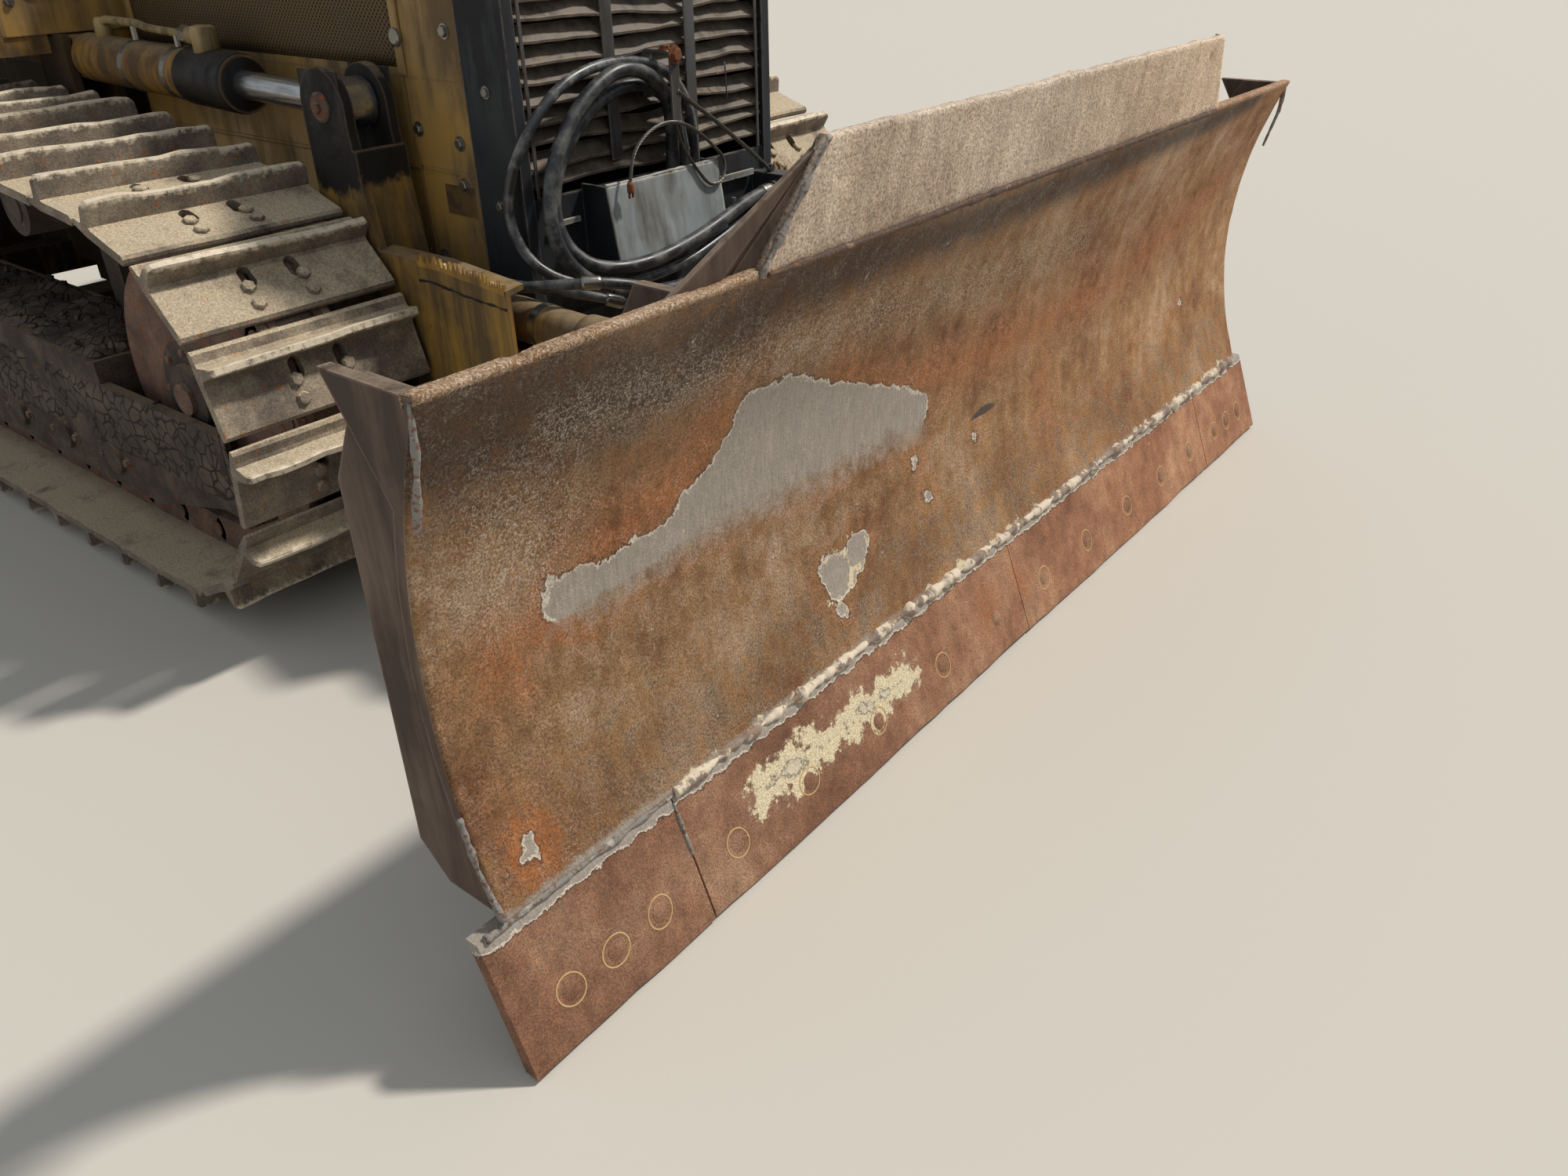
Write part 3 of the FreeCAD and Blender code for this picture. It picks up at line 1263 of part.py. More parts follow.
# Fuel tank behind the cab
tank_outline = (
    ("tank_rear", "deck_top"),
    ("tank_front", "deck_top"),
    ("tank_front", "tank_top"),
    ("tank_rear + tank_corner", "tank_top", "tank_corner", 1),
    ("tank_rear", "tank_top - tank_corner"),
)
node("fuel_tank", pad("tank", "XZ", tank_outline, "-tank_half", "tank_half"))

# Work lamps on the cab's roof, front and rear
lamps = []
for number, (x_low, x_high) in enumerate((
    ("cab_front + roof_lip + lamp_reach - lamp_depth", "cab_front + roof_lip + lamp_reach"),
    ("cab_rear - roof_lip - lamp_reach", "cab_rear - roof_lip - lamp_reach + lamp_depth"),
)):
    for place_number, y in enumerate(("-lamp_y", "lamp_y")):
        lamps.append(block(
            "lamp_%d_%d" % (number, place_number), (x_low, x_high),
            (y + " - lamp_half", y + " + lamp_half"),
            ("cab_top + roof_height", "cab_top + roof_height + lamp_height"),
        ))
node("work_lamps", gather("lamps", *lamps))

# Handrails on the deck: one bent tube on each side
rail_path = [
    (size("handrail_back"), size("deck_half - handrail_inset"), size("deck_top")),
    (size("handrail_back"), size("deck_half - handrail_inset"), size("deck_top + handrail_height")),
    (size("handrail_front"), size("deck_half - handrail_inset"), size("deck_top + handrail_height")),
    (size("handrail_front"), size("deck_half - handrail_inset"), size("deck_top")),
]
rail = tube("handrail", rail_path, 2 * size("handrail_radius"), size("handrail_bend"))
node("handrails", both("handrails_all", solid("handrail", rail)))

# C-frame: two arms, a cross beam, a two-plate nose and the lift towers
frame = []
for side in ("left", "right"):
    low, high = ("arm_inner", "arm_outer") if side == "left" else ("-arm_outer", "-arm_inner")
    frame.append(block(
        "arm_" + side, ("pivot_x", "beam_front"), (low, high), ("arm_bottom", "arm_top"),
    ))
    frame.append(rod(
        "arm_eye_" + side, "Y", "(arm_top - arm_bottom) / 2 + 8", (low, high), ("pivot_x", "pivot_z"),
    ))
frame.append(block(
    "cross_beam", ("beam_rear", "beam_front"), ("-arm_outer", "arm_outer"),
    ("arm_bottom", "arm_top"),
))
nose_sides = (
    ("beam_front - 20", "-nose_radius * 2"),
    ("kingpin_x", "-nose_radius"),
    ("kingpin_x", "nose_radius"),
    ("beam_front - 20", "nose_radius * 2"),
)
for which, low, high in (
    ("upper", "arm_top", "arm_top + nose_plate"),
    ("lower", "arm_bottom - nose_plate", "arm_bottom"),
):
    frame.append(pad("nose_" + which, "XY", nose_sides, low, high))
    frame.append(rod("nose_end_" + which, "Z", "nose_radius", (low, high), ("kingpin_x", "0")))
    frame.append(block(
        "nose_root_" + which, ("beam_rear + 60", "beam_front"), ("-nose_radius * 2", "nose_radius * 2"),
        (low, high),
    ))
frame.append(rod(
    "kingpin", "Z", "kingpin_radius - running_fit",
    ("arm_bottom - nose_plate", "arm_top + nose_plate"), ("kingpin_x", "0"),
))
tower_outline = (
    ("tower_rear_x - 20", "arm_top - 20"),
    ("tower_front_x", "arm_top - 20"),
    ("tower_pin_x + tower_head", "tower_pin_z - 60"),
    ("tower_pin_x + tower_head", "tower_pin_z", "tower_head", 1),
    ("tower_pin_x", "tower_pin_z + tower_head", "tower_head", 1),
    ("tower_pin_x - tower_head", "tower_pin_z"),
)
for side, sign in (("left", ""), ("right", "-")):
    for which, edge in (("inner", "arm_inner"), ("outer", "arm_outer - cheek")):
        ends = (edge, edge + " + cheek") if not sign else ("-(%s + cheek)" % edge, "-(%s)" % edge)
        frame.append(pad("cheek_%s_%s" % (side, which), "XZ", tower_outline, *ends))
    ends = ("arm_inner", "arm_outer") if not sign else ("-arm_outer", "-arm_inner")
    frame.append(block(
        "tower_web_" + side, ("tower_pin_x + 78", "tower_pin_x + 100"), ends,
        ("arm_top - 20", "tower_pin_z - 90"),
    ))
    clevis = ("angle_base_y - 55", "angle_base_y + 45") if not sign else (
        "-angle_base_y - 45", "-angle_base_y + 55")
    for which, low, high in (
        ("below", "-angle_eye_width / 2 - side_play - 16", "-angle_eye_width / 2 - side_play"),
        ("above", "angle_eye_width / 2 + side_play", "angle_eye_width / 2 + side_play + 16"),
    ):
        frame.append(block(
            "angle_ear_%s_%s" % (side, which), ("tower_pin_x + 90", "angle_base_x + 45"), clevis,
            ("angle_z + " + low, "angle_z + " + high),
        ))
    frame.append(rod(
        "angle_base_pin_" + side, "Z", "angle_pin - running_fit",
        ("angle_z - angle_eye_width / 2 - side_play - 16",
         "angle_z + angle_eye_width / 2 + side_play + 16"),
        ("angle_base_x", sign + "angle_base_y"),
    ))
    sections = []
    for station, lean in (
        ("tower_pin_x + 110", "0"), ("guard_bend_x", "0"), ("guard_front_x", "guard_flare"),
    ):
        outer_face = "arm_outer + %s" % lean
        section = [
            Vector(size(station), size("%s (%s - %s)" % (sign, outer_face, inset)), size(height))
            for inset, height in (
                ("0", "arm_top - 10"), ("0", "guard_top"), ("guard_flange", "guard_top + 6"),
                ("guard_flange", "guard_top - 6"), ("guard_plate", "guard_top - guard_plate"),
                ("guard_plate", "arm_top - 10"),
            )
        ]
        sections.append(Part.makePolygon(section + section[:1]))
    guard_shape = Part.makeLoft(sections, True, True)
    if guard_shape.Volume < 0:
        guard_shape.reverse()
    frame.append(solid("hose_guard_" + side, guard_shape))
frame.append(block(
    "beam_manifold", ("beam_rear + 5", "beam_rear + 85"), ("manifold_right", "manifold_right + 90"),
    ("arm_top - 5", "arm_top + 60"),
))
for which, cord_name in (("upper", "frame_hose_upper"), ("lower", "frame_hose_lower")):
    diameter, points = ROUTES[cord_name]
    frame.append(rod(
        "beam_gland_" + which, "Z", "%g / 2 + gland_wall" % diameter,
        ("arm_top + 55", "%g" % points[-1][2]), ("%g" % points[-1][0], "%g" % points[-1][1]),
    ))
pivot_bore = rod(
    "pivot_bore", "Y", "pivot_pin", ("-arm_outer - 1", "arm_outer + 1"), ("pivot_x", "pivot_z"),
)
node("c_frame", cut("c_frame_cut", fuse("c_frame_all", *frame), pivot_bore))

# Yoke: turns on the kingpin, carries the trunnion and takes all angle cylinders
yoke = [
    rod("yoke_eye", "Z", "nose_radius - 8",
        ("arm_bottom + side_play", "arm_top - side_play"), ("kingpin_x", "0")),
    block("yoke_block", ("kingpin_x", "yoke_front"), ("-88", "88"), ("yoke_bottom", "yoke_top")),
    block("yoke_post", ("yoke_rear", "yoke_front"), ("-150", "150"), ("yoke_bottom", "angle_z")),
    rod("trunnion", "X", "trunnion_radius - running_fit", ("yoke_rear", "trunnion_tip"),
        ("0", "trunnion_z")),
    block("yoke_beam", ("yoke_rear - 30", "yoke_front"), ("-angle_end_y + 75", "angle_end_y - 75"),
          ("angle_z - 50", "angle_z + 50")),
]
for side, sign in (("left", ""), ("right", "-")):
    ears = ("angle_end_y - 110", "angle_end_y + 45") if not sign else (
        "-angle_end_y - 45", "-angle_end_y + 110")
    for which, low, high in (
        ("below", "-angle_eye_width / 2 - side_play - 16", "-angle_eye_width / 2 - side_play"),
        ("above", "angle_eye_width / 2 + side_play", "angle_eye_width / 2 + side_play + 16"),
    ):
        yoke.append(block(
            "yoke_ear_%s_%s" % (side, which), ("yoke_rear - 10", "angle_end_x + 40"), ears,
            ("angle_z + " + low, "angle_z + " + high),
        ))
yoke.append(block(
    "tilt_post",
    ("tilt_x - tilt_eye_width / 2 - side_play - 22", "tilt_x - tilt_eye_width / 2 - side_play"),
    ("tilt_base_y - 60", "tilt_base_y + 60"), ("angle_z + 40", "tilt_z + 55"),
))
yoke.append(block(
    "tilt_post_foot", ("tilt_x - tilt_eye_width / 2 - side_play - 22", "yoke_front"),
    ("tilt_base_y - 60", "tilt_base_y + 60"), ("angle_z + 20", "angle_z + 70"),
))
yoke.append(rod(
    "tilt_base_pin", "X", "tilt_pin - running_fit",
    ("tilt_x - tilt_eye_width / 2 - side_play - 22", "tilt_x + tilt_eye_width / 2 + 4"),
    ("tilt_base_y", "tilt_z"),
))
yoke_bore = rod("yoke_bore", "Z", "kingpin_radius", ("arm_bottom - 1", "arm_top + 1"), ("kingpin_x", "0"))
node("blade_yoke", cut("yoke_cut", fuse("yoke_all", *yoke), yoke_bore))

# Blade: curved moldboard, raised centre plate, ribs, hub and end plates
CHORD = "sqrt((mold_top_x - edge_top_x) ^ 2 + (mold_top_z - edge_top_z) ^ 2)"
RISE = "sqrt(mold_curve ^ 2 - (%s / 2) ^ 2)" % CHORD
CURVE_X = "((mold_top_x + edge_top_x) / 2 + %s * (mold_top_z - edge_top_z) / %s)" % (RISE, CHORD)
CURVE_Z = "((mold_top_z + edge_top_z) / 2 - %s * (mold_top_x - edge_top_x) / %s)" % (RISE, CHORD)


def mold_x(z):
    """The middle of the moldboard's plate at a height."""
    return "(%s - sqrt(mold_curve ^ 2 - (%s - %s) ^ 2) - mold_plate / 2)" % (CURVE_X, z, CURVE_Z)


face = (
    ("edge_top_x", "edge_top_z"),
    ("edge_top_x - mold_plate", "edge_top_z", "mold_curve", -1),
    ("mold_top_x - mold_plate", "mold_top_z"),
    ("mold_top_x", "mold_top_z", "mold_curve", 1),
)
rib_front = (
    ("edge_top_x - mold_plate / 2", "edge_top_z", "mold_curve", -1),
    ("mold_top_x - mold_plate / 2", "mold_top_z"),
    ("rib_rear + 90", "mold_top_z"),
    ("rib_rear", "mold_top_z - 160"),
    ("rib_rear", "edge_top_z + 60"),
    ("rib_rear + 60", "edge_top_z"),
)
blade = [pad("face_plate", "XZ", face, "-mold_half", "mold_half")]
for number, y in enumerate((
        "-mold_half + end_rib", "-rib_outer", "-rib_middle", "-rib_inner", "rib_inner", "rib_middle",
        "rib_outer", "mold_half - end_rib")):
    blade.append(pad(
        "rib_%d" % number, "XZ", rib_front, y + " - rib_plate / 2", y + " + rib_plate / 2",
    ))
for which, z in (("low", "(edge_top_z + 70)"), ("middle", "600"), ("high", "(mold_top_z - 195)")):
    blade.append(block(
        "flange_" + which, ("rib_rear", mold_x(z)), ("-mold_half + end_rib", "mold_half - end_rib"),
        (z, "%s + rib_plate" % z),
    ))
crown_outline = (
    ("mold_top_x - crown_plate", "mold_top_z"),
    ("mold_top_x", "mold_top_z"),
    ("crown_top_x", "crown_top_z"),
    ("crown_top_x - crown_plate", "crown_top_z"),
)
crown = pad("crown", "XZ", crown_outline, "crown_right_foot", "crown_left_foot")
crown_ends = [
    pad("crown_end_%d" % number, "YZ", corners, "mold_top_x - 60", "crown_top_x + 20")
    for number, corners in enumerate((
        (("crown_left_foot", "mold_top_z"), ("crown_left_foot + 5", "crown_top_z + 5"),
         ("crown_left_top", "crown_top_z + 5"), ("crown_left_top", "crown_top_z")),
        (("crown_right_foot", "mold_top_z"), ("crown_right_top", "crown_top_z"),
         ("crown_right_top", "crown_top_z + 5"), ("crown_right_foot - 5", "crown_top_z + 5")),
    ))
]
blade.append(cut("crown_cut", crown, *crown_ends))

# The wing: two flat triangles that meet on a fold, x, y and z of each corner
WING = {
    "tip": ("crown_top_x - crown_plate + 4", "crown_right_top - 8", "crown_top_z - 12"),
    "foot": ("mold_top_x - 10", "crown_right_foot + 4", "mold_top_z - 20"),
    "fold": ("mold_top_x - mold_plate - 20", "crown_right_foot - 75", "mold_top_z - 45"),
    "end": ("mold_top_x - mold_plate", "crown_right_foot - 183", "mold_top_z - 2"),
    "root": ("mold_top_x - mold_plate", "crown_right_foot - 160", "mold_top_z - 60"),
}
for which, corners in (("inner", ("tip", "foot", "fold")), ("outer", ("tip", "fold", "root", "end"))):
    points = [Vector(*[size(text) for text in WING[corner]]) for corner in corners]
    for first in range(1, len(points) - 1):
        facet = Part.Face(Part.makePolygon([points[0]] + points[first:first + 2] + [points[0]]))
        blade.append(solid(
            "wing_%s_%d" % (which, first), facet.extrude(Vector(-size("wing_plate"), 0, 0)),
        ))
ear_outline = (
    ("mold_top_x - mold_plate / 2", "mold_top_z"),
    ("ear_rear_x", "mold_top_z"),
    (mold_x("ear_foot_z"), "ear_foot_z"),
)
for which, low, high in (
    ("left", "mold_half - rib_plate", "mold_half"), ("right", "-mold_half", "-mold_half + rib_plate"),
):
    blade.append(pad("ear_" + which, "XZ", ear_outline, low, high))
blade.append(rod("hub", "X", "hub_radius", ("hub_rear", mold_x("trunnion_z")), ("0", "trunnion_z")))
blade.append(rod(
    "tilt_lug", "X", "55", ("tilt_x + tilt_eye_width / 2 + side_play", mold_x("tilt_z")),
    ("tilt_end_y", "tilt_z"),
))
blade.append(rod(
    "tilt_lug_pin", "X", "tilt_pin",
    ("tilt_x - tilt_eye_width / 2 - 4", "tilt_x + tilt_eye_width / 2 + 10"), ("tilt_end_y", "tilt_z"),
))
hub_bore = rod(
    "hub_bore", "X", "trunnion_radius", ("hub_rear - 1", "trunnion_tip + 3"), ("0", "trunnion_z"),
)
node("moldboard", cut("blade_cut", fuse("blade_all", *blade), hub_bore))

# Cutting edges and end bits: bolted strips under the moldboard
edge_outline = (
    ("edge_top_x - edge_plate", "edge_top_z"),
    ("front_x - edge_plate", "blade_gap"),
    ("front_x", "blade_gap"),
    ("edge_top_x", "edge_top_z"),
)
EDGES = (
    ("right_bit", "-blade_half", "-bit_joint - edge_gap"),
    ("right", "-bit_joint + edge_gap", "-edge_gap"),
    ("left", "edge_gap", "bit_joint - edge_gap"),
    ("left_bit", "bit_joint + edge_gap", "blade_half"),
)
node("cutting_edges", gather("edges", *[
    pad("edge_" + which, "XZ", edge_outline, low, high) for which, low, high in EDGES
]))


def barrel(name, kind, width):
    """A cylinder barrel lying along +X from its eye at the origin."""
    half = "(%s) / 2" % width
    body_of = fuse(
        name + "_all",
        rod(name + "_eye", "Y", kind + "_eye_radius", ("-" + half, half), ("0", "0")),
        block(name + "_neck", ("0", kind + "_eye_radius + neck + 10"), ("-" + half, half),
              ("-%s_eye_radius + 6" % kind, "%s_eye_radius - 6" % kind)),
        rod(name + "_tube", "X", kind + "_barrel_radius",
            (kind + "_eye_radius + neck", kind + "_barrel_length - 10"), ("0", "0")),
        rod(name + "_gland", "X", kind + "_barrel_radius + 5",
            (kind + "_barrel_length - 50", kind + "_barrel_length"), ("0", "0")),
    )
    return cut(
        name, body_of,
        rod(name + "_bore", "X", kind + "_rod_radius + running_fit",
            (kind + "_eye_radius + neck + 4", kind + "_barrel_length + 1"), ("0", "0")),
        rod(name + "_pin_hole", "Y", kind + "_pin", ("-(%s)" % width, width), ("0", "0")),
    )


def ram(name, kind, width):
    """A cylinder rod lying along -X from its eye, which holds its own pin."""
    half = "(%s) / 2" % width
    return fuse(
        name + "_all",
        rod(name + "_eye", "Y", kind + "_eye_radius", ("-" + half, half), ("0", "0")),
        rod(name + "_bar", "X", kind + "_rod_radius", ("-%s_rod_length" % kind, "-20"), ("0", "0")),
    )


def lay(piece, at, rotation):
    """Turn a piece and put its own origin at a point."""
    piece.Placement = FreeCAD.Placement(Vector(*[size(text) for text in at]), rotation)
    return piece


LIFT_WIDTH = "arm_outer - arm_inner - 2 * cheek - 2 * side_play"
lift_pitch = math.degrees(math.atan2(
    size("lift_rear_z - tower_pin_z"), size("tower_pin_x - lift_rear_x")
))
for side, sign in (("left", ""), ("right", "-")):
    y = sign + "(arm_inner + arm_outer) / 2"
    turn = Rotation(Vector(0, 1, 0), lift_pitch)
    node("lift_barrel_" + side, lay(
        barrel("lift_barrel_" + side, "lift", LIFT_WIDTH), ("lift_rear_x", y, "lift_rear_z"), turn,
    ))
    node("lift_rod_" + side, lay(
        ram("lift_rod_" + side, "lift", LIFT_WIDTH), ("tower_pin_x", y, "tower_pin_z"), turn,
    ))

angle_yaw = math.degrees(math.atan2(
    size("angle_end_y - angle_base_y"), size("angle_end_x - angle_base_x")
))
roll = Rotation(Vector(1, 0, 0), 90)
for side, sign, yaw in (("left", "", angle_yaw), ("right", "-", -angle_yaw)):
    turn = Rotation(Vector(0, 0, 1), yaw).multiply(roll)
    node("angle_barrel_" + side, lay(
        barrel("angle_barrel_" + side, "angle", "angle_eye_width"),
        ("angle_base_x", sign + "angle_base_y", "angle_z"), turn,
    ))
    node("angle_rod_" + side, lay(
        ram("angle_rod_" + side, "angle", "angle_eye_width"),
        ("angle_end_x", sign + "angle_end_y", "angle_z"), turn,
    ))

across = Rotation(Vector(0, 0, 1), -90)
node("tilt_barrel", lay(
    barrel("tilt_barrel_piece", "tilt", "tilt_eye_width"), ("tilt_x", "tilt_base_y", "tilt_z"), across,
))
tilt_hole = rod(
    "tilt_rod_hole", "Y", "tilt_pin + tilt_eye_slack", ("-tilt_eye_width", "tilt_eye_width"), ("0", "0"),
)
node("tilt_rod", lay(
    cut("tilt_rod_piece", ram("tilt_rod", "tilt", "tilt_eye_width"), tilt_hole),
    ("tilt_x", "tilt_end_y", "tilt_z"), across,
))

# Work the model out, test every object, and write one file for each node
doc.recompute()
failed = [p.Name for p in doc.Objects if "Invalid" in p.State or "Error" in p.State]
failed += [p.Label for p in NODES if p.Shape.isNull() or not p.Shape.isValid()]
if failed:
    raise RuntimeError("failed objects: " + ", ".join(failed))
os.makedirs("parts", exist_ok=True)
for piece in NODES:
    piece.Shape.exportStep("parts/%s.step" % piece.Label)
print("%d nodes, track pitch %.1f mm" % (len(NODES), PITCH))
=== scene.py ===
import math

import bmesh
import bpy
import numpy as np
from mathutils import Matrix, Vector


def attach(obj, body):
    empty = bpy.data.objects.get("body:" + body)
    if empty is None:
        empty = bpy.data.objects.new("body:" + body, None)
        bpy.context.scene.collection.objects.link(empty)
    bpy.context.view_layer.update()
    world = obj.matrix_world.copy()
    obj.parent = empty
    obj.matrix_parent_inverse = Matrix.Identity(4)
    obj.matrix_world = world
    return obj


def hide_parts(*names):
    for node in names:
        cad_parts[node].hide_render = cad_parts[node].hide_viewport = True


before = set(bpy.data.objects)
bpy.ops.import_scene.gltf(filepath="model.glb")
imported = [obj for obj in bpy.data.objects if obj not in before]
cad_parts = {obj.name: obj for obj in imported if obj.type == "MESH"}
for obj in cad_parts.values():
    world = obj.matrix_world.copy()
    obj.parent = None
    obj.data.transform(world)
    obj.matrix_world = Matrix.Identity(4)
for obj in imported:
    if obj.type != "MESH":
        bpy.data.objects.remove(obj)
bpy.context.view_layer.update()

# Camera: as high as a person's eyes, in front of the machine's right corner.
# Its place and turn come from the blade's edges, solved in the row's frame.
eye = Vector((3.5301, -2.2727, 1.5679))
right = Vector((0.7891, 0.6141, -0.0150)).normalized()
ahead = Vector((-0.5348, 0.6749, -0.5084)).normalized()
up = right.cross(ahead).normalized()
lens = bpy.data.cameras.new("camera")
lens.sensor_width = 36.0
lens.lens = 26.865
lens.clip_start = 0.05
camera = bpy.data.objects.new("camera", lens)
turn = Matrix((right, up, -ahead)).transposed().to_4x4()
camera.matrix_world = Matrix.Translation(eye) @ turn
bpy.context.scene.collection.objects.link(camera)
bpy.context.scene.camera = camera
bpy.context.scene.view_settings.view_transform = "Standard"


def paint(code):
    """The linear colour of an sRGB hex code."""
    channels = [int(code[i:i + 2], 16) / 255 for i in (1, 3, 5)]
    curve = [c / 12.92 if c <= 0.04045 else ((c + 0.055) / 1.055) ** 2.4 for c in channels]
    return (*curve, 1.0)


def fill(node, inputs):
    """Set or link a node's inputs. A node given as a value stands for its first output in use, and
    a hex code for its colour."""
    for socket, value in inputs.items():
        if isinstance(value, bpy.types.Node):
            value = next(output for output in value.outputs if not output.is_unavailable)
        if isinstance(value, bpy.types.NodeSocket):
            node.id_data.links.new(value, node.inputs[socket])
        else:
            node.inputs[socket].default_value = paint(value) if isinstance(value, str) else value


def add(tree, kind, inputs=None, **settings):
    """Add a node of a kind with its settings, and fill its inputs."""
    node = tree.nodes.new("ShaderNode" + kind)
    for name, value in settings.items():
        setattr(node, name, value)
    fill(node, inputs or {})
    return node


def new_material(name):
    """A material with a principled shader: the material, its tree, the shader, object coordinates."""
    material = bpy.data.materials.new(name)
    material.use_nodes = True
    tree = material.node_tree
    tree.nodes.clear()
    shader = add(tree, "BsdfPrincipled")
    add(tree, "OutputMaterial", {"Surface": shader})
    return material, tree, shader, add(tree, "TexCoord").outputs["Object"]


# Floor and light: a pale studio floor, one large soft lamp where the sun
# stands, high at the left of the camera's view, and an even pale surround.
floor_half = 40.0
floor_material, tree, shader, place = new_material("studio_floor")
fill(shader, {"Base Color": "#C9C4BA", "Roughness": 0.9})
floor_mesh = bpy.data.meshes.new("studio_floor")
corners = [(-floor_half, -floor_half, -0.004), (floor_half, -floor_half, -0.004),
           (floor_half, floor_half, -0.004), (-floor_half, floor_half, -0.004)]
floor_mesh.from_pydata(corners, [], [(0, 1, 2, 3)])
floor_mesh.materials.append(floor_material)
floor = bpy.data.objects.new("studio_floor", floor_mesh)
bpy.context.scene.collection.objects.link(floor)

sun_data = bpy.data.lights.new("soft_sun", "SUN")
sun_data.energy = 3.0
sun_data.angle = math.radians(5)
sun_data.color = (1.0, 0.95, 0.88)
sun = bpy.data.objects.new("soft_sun", sun_data)
sun_from = Vector((0.35, 0.62, 0.95))
sun.rotation_euler = sun_from.to_track_quat("Z", "Y").to_euler()
bpy.context.scene.collection.objects.link(sun)
world = bpy.data.worlds.new("studio")
bpy.context.scene.world = world
world.use_nodes = True
world.node_tree.nodes.clear()
sky = add(world.node_tree, "Background", {0: "#DDE3EA", 1: 0.55})
add(world.node_tree, "OutputWorld", {0: sky})

# Hoses: spiral-wound hydraulic hoses with a black rubber cover, coiled up and
# hung from the grille's strap, and two more in the frame. Oil has made them shiny.
def rubber(name, code, worn_code, shine):
    """A rubber cover: dust in its grain, scuffed pale along the run."""
    material, tree, shader, place = new_material(name)
    grain = add(tree, "TexNoise", {"Vector": place, "Scale": 220.0, "Detail": 4.0})
    scuff = add(tree, "TexNoise", {"Vector": place, "Scale": 17.0, "Detail": 7.0, "Roughness": 0.7})
    worn = add(tree, "ValToRGB", {0: scuff})
    worn.color_ramp.elements[0].position = 0.46
    worn.color_ramp.elements[1].position = 0.68
    colour = add(tree, "Mix", {
        0: worn, 6: code, 7: worn_code}, data_type="RGBA")
    rough = add(tree, "MapRange", {0: scuff, 1: 0.3, 2: 0.7, 3: shine, 4: shine + 0.3})
    bump = add(tree, "Bump", {"Strength": 0.25, "Distance": 0.0006, "Height": grain})
    fill(shader, {"Base Color": colour, "Roughness": rough, "Normal": bump, "IOR": 1.52})
    return material


hose_cover = rubber("black_hose_rubber", "#25262A", "#6B6B66", 0.28)
slim_cover = rubber("slim_hose_rubber", "#3A3B3D", "#8B8B86", 0.22)
CORDS = (
    ("hose_front", 34, "root", hose_cover, (
        (1382, 8, 880), (1384, 8, 985), (1394, 5, 1080), (1403, -18, 1158), (1405, -76, 1210),
        (1402, -160, 1232), (1402, -250, 1203), (1408, -332, 1150), (1417, -402, 1084),
        (1428, -449, 1004), (1442, -468, 920), (1462, -446, 842), (1482, -388, 786),
        (1494, -300, 748), (1498, -190, 726), (1492, -75, 716), (1480, 40, 716),
        (1462, 145, 735), (1442, 238, 765), (1426, 310, 786), (1424, 362, 790),
    )),
    ("hose_inner", 34, "root", hose_cover, (
        (1374, 64, 880), (1374, 64, 975), (1371, 59, 1060), (1367, 32, 1132), (1366, -26, 1174),
        (1366, -100, 1188), (1366, -180, 1176), (1366, -258, 1140), (1367, -326, 1082),
        (1370, -378, 1012), (1380, -402, 938), (1406, -400, 868), (1440, -364, 820),
        (1468, -298, 800), (1480, -198, 797), (1478, -95, 806), (1470, 15, 821),
        (1458, 118, 840), (1440, 212, 856), (1426, 300, 866), (1424, 362, 868),
    )),
    ("hose_outer", 25, "root", slim_cover, (
        (1370, 112, 880), (1370, 112, 975), (1370, 108, 1065), (1368, 84, 1145), (1365, 30, 1202),
        (1364, -48, 1230), (1364, -138, 1240), (1370, -230, 1236), (1376, -318, 1216),
        (1378, -394, 1174), (1366, -448, 1112), (1340, -474, 1045), (1318, -482, 975),
        (1322, -482, 908), (1352, -474, 850), (1392, -446, 808), (1430, -402, 784),
        (1454, -334, 768), (1462, -240, 755), (1466, -135, 756), (1468, -25, 768),
        (1460, 85, 790), (1446, 190, 810), (1430, 290, 826), (1424, 362, 829),
    )),
    ("drain_hose", 10, "root", slim_cover, (
        (1426, -2, 1096), (1420, 12, 1058), (1410, 28, 1015), (1404, 38, 968), (1401, 41, 922),
        (1400, 40, 880),
    )),
    ("frame_hose_upper", 25, "c_frame", hose_cover, (
        (1000, -600, 818), (1130, -606, 814), (1290, -614, 818), (1400, -606, 818),
        (1490, -590, 829), (1562, -554, 838), (1614, -492, 838), (1643, -412, 818),
        (1656, -342, 788), (1662, -290, 752), (1662, -252, 702), (1662, -240, 640),
    )),
    ("frame_hose_lower", 22, "c_frame", hose_cover, (
        (1000, -560, 818), (1130, -566, 814), (1290, -573, 817), (1390, -567, 816),
        (1478, -549, 813), (1548, -519, 809), (1600, -466, 792), (1622, -404, 764),
        (1628, -345, 726), (1629, -298, 676), (1628, -280, 624),
    )),
)


def route(name, points):
    """A smooth open line with a route's points, in mm, as its control points."""
    line = bpy.data.curves.new(name, "CURVE")
    line.dimensions = "3D"
    line.resolution_u = 12
    spline = line.splines.new("NURBS")
    spline.points.add(len(points) - 1)
    ends = np.ones((len(points), 4))
    ends[:, :3] = np.array(points, float) / 1000
    spline.points.foreach_set("co", ends.ravel())
    spline.order_u = 3
    spline.use_endpoint_u = True
    piece = bpy.data.objects.new(name, line)
    bpy.context.scene.collection.objects.link(piece)
    return piece


def along(piece):
    """The points that a curve without a bevel passes, as an array."""
    mesh = bpy.data.meshes.new_from_object(piece)
    points = np.empty(len(mesh.vertices) * 3)
    mesh.vertices.foreach_get("co", points)
    bpy.data.meshes.remove(mesh)
    return points.reshape(-1, 3)


def run_length(points):
    """The length of a line through points."""
    return float(np.linalg.norm(np.diff(points, axis=0), axis=1).sum())


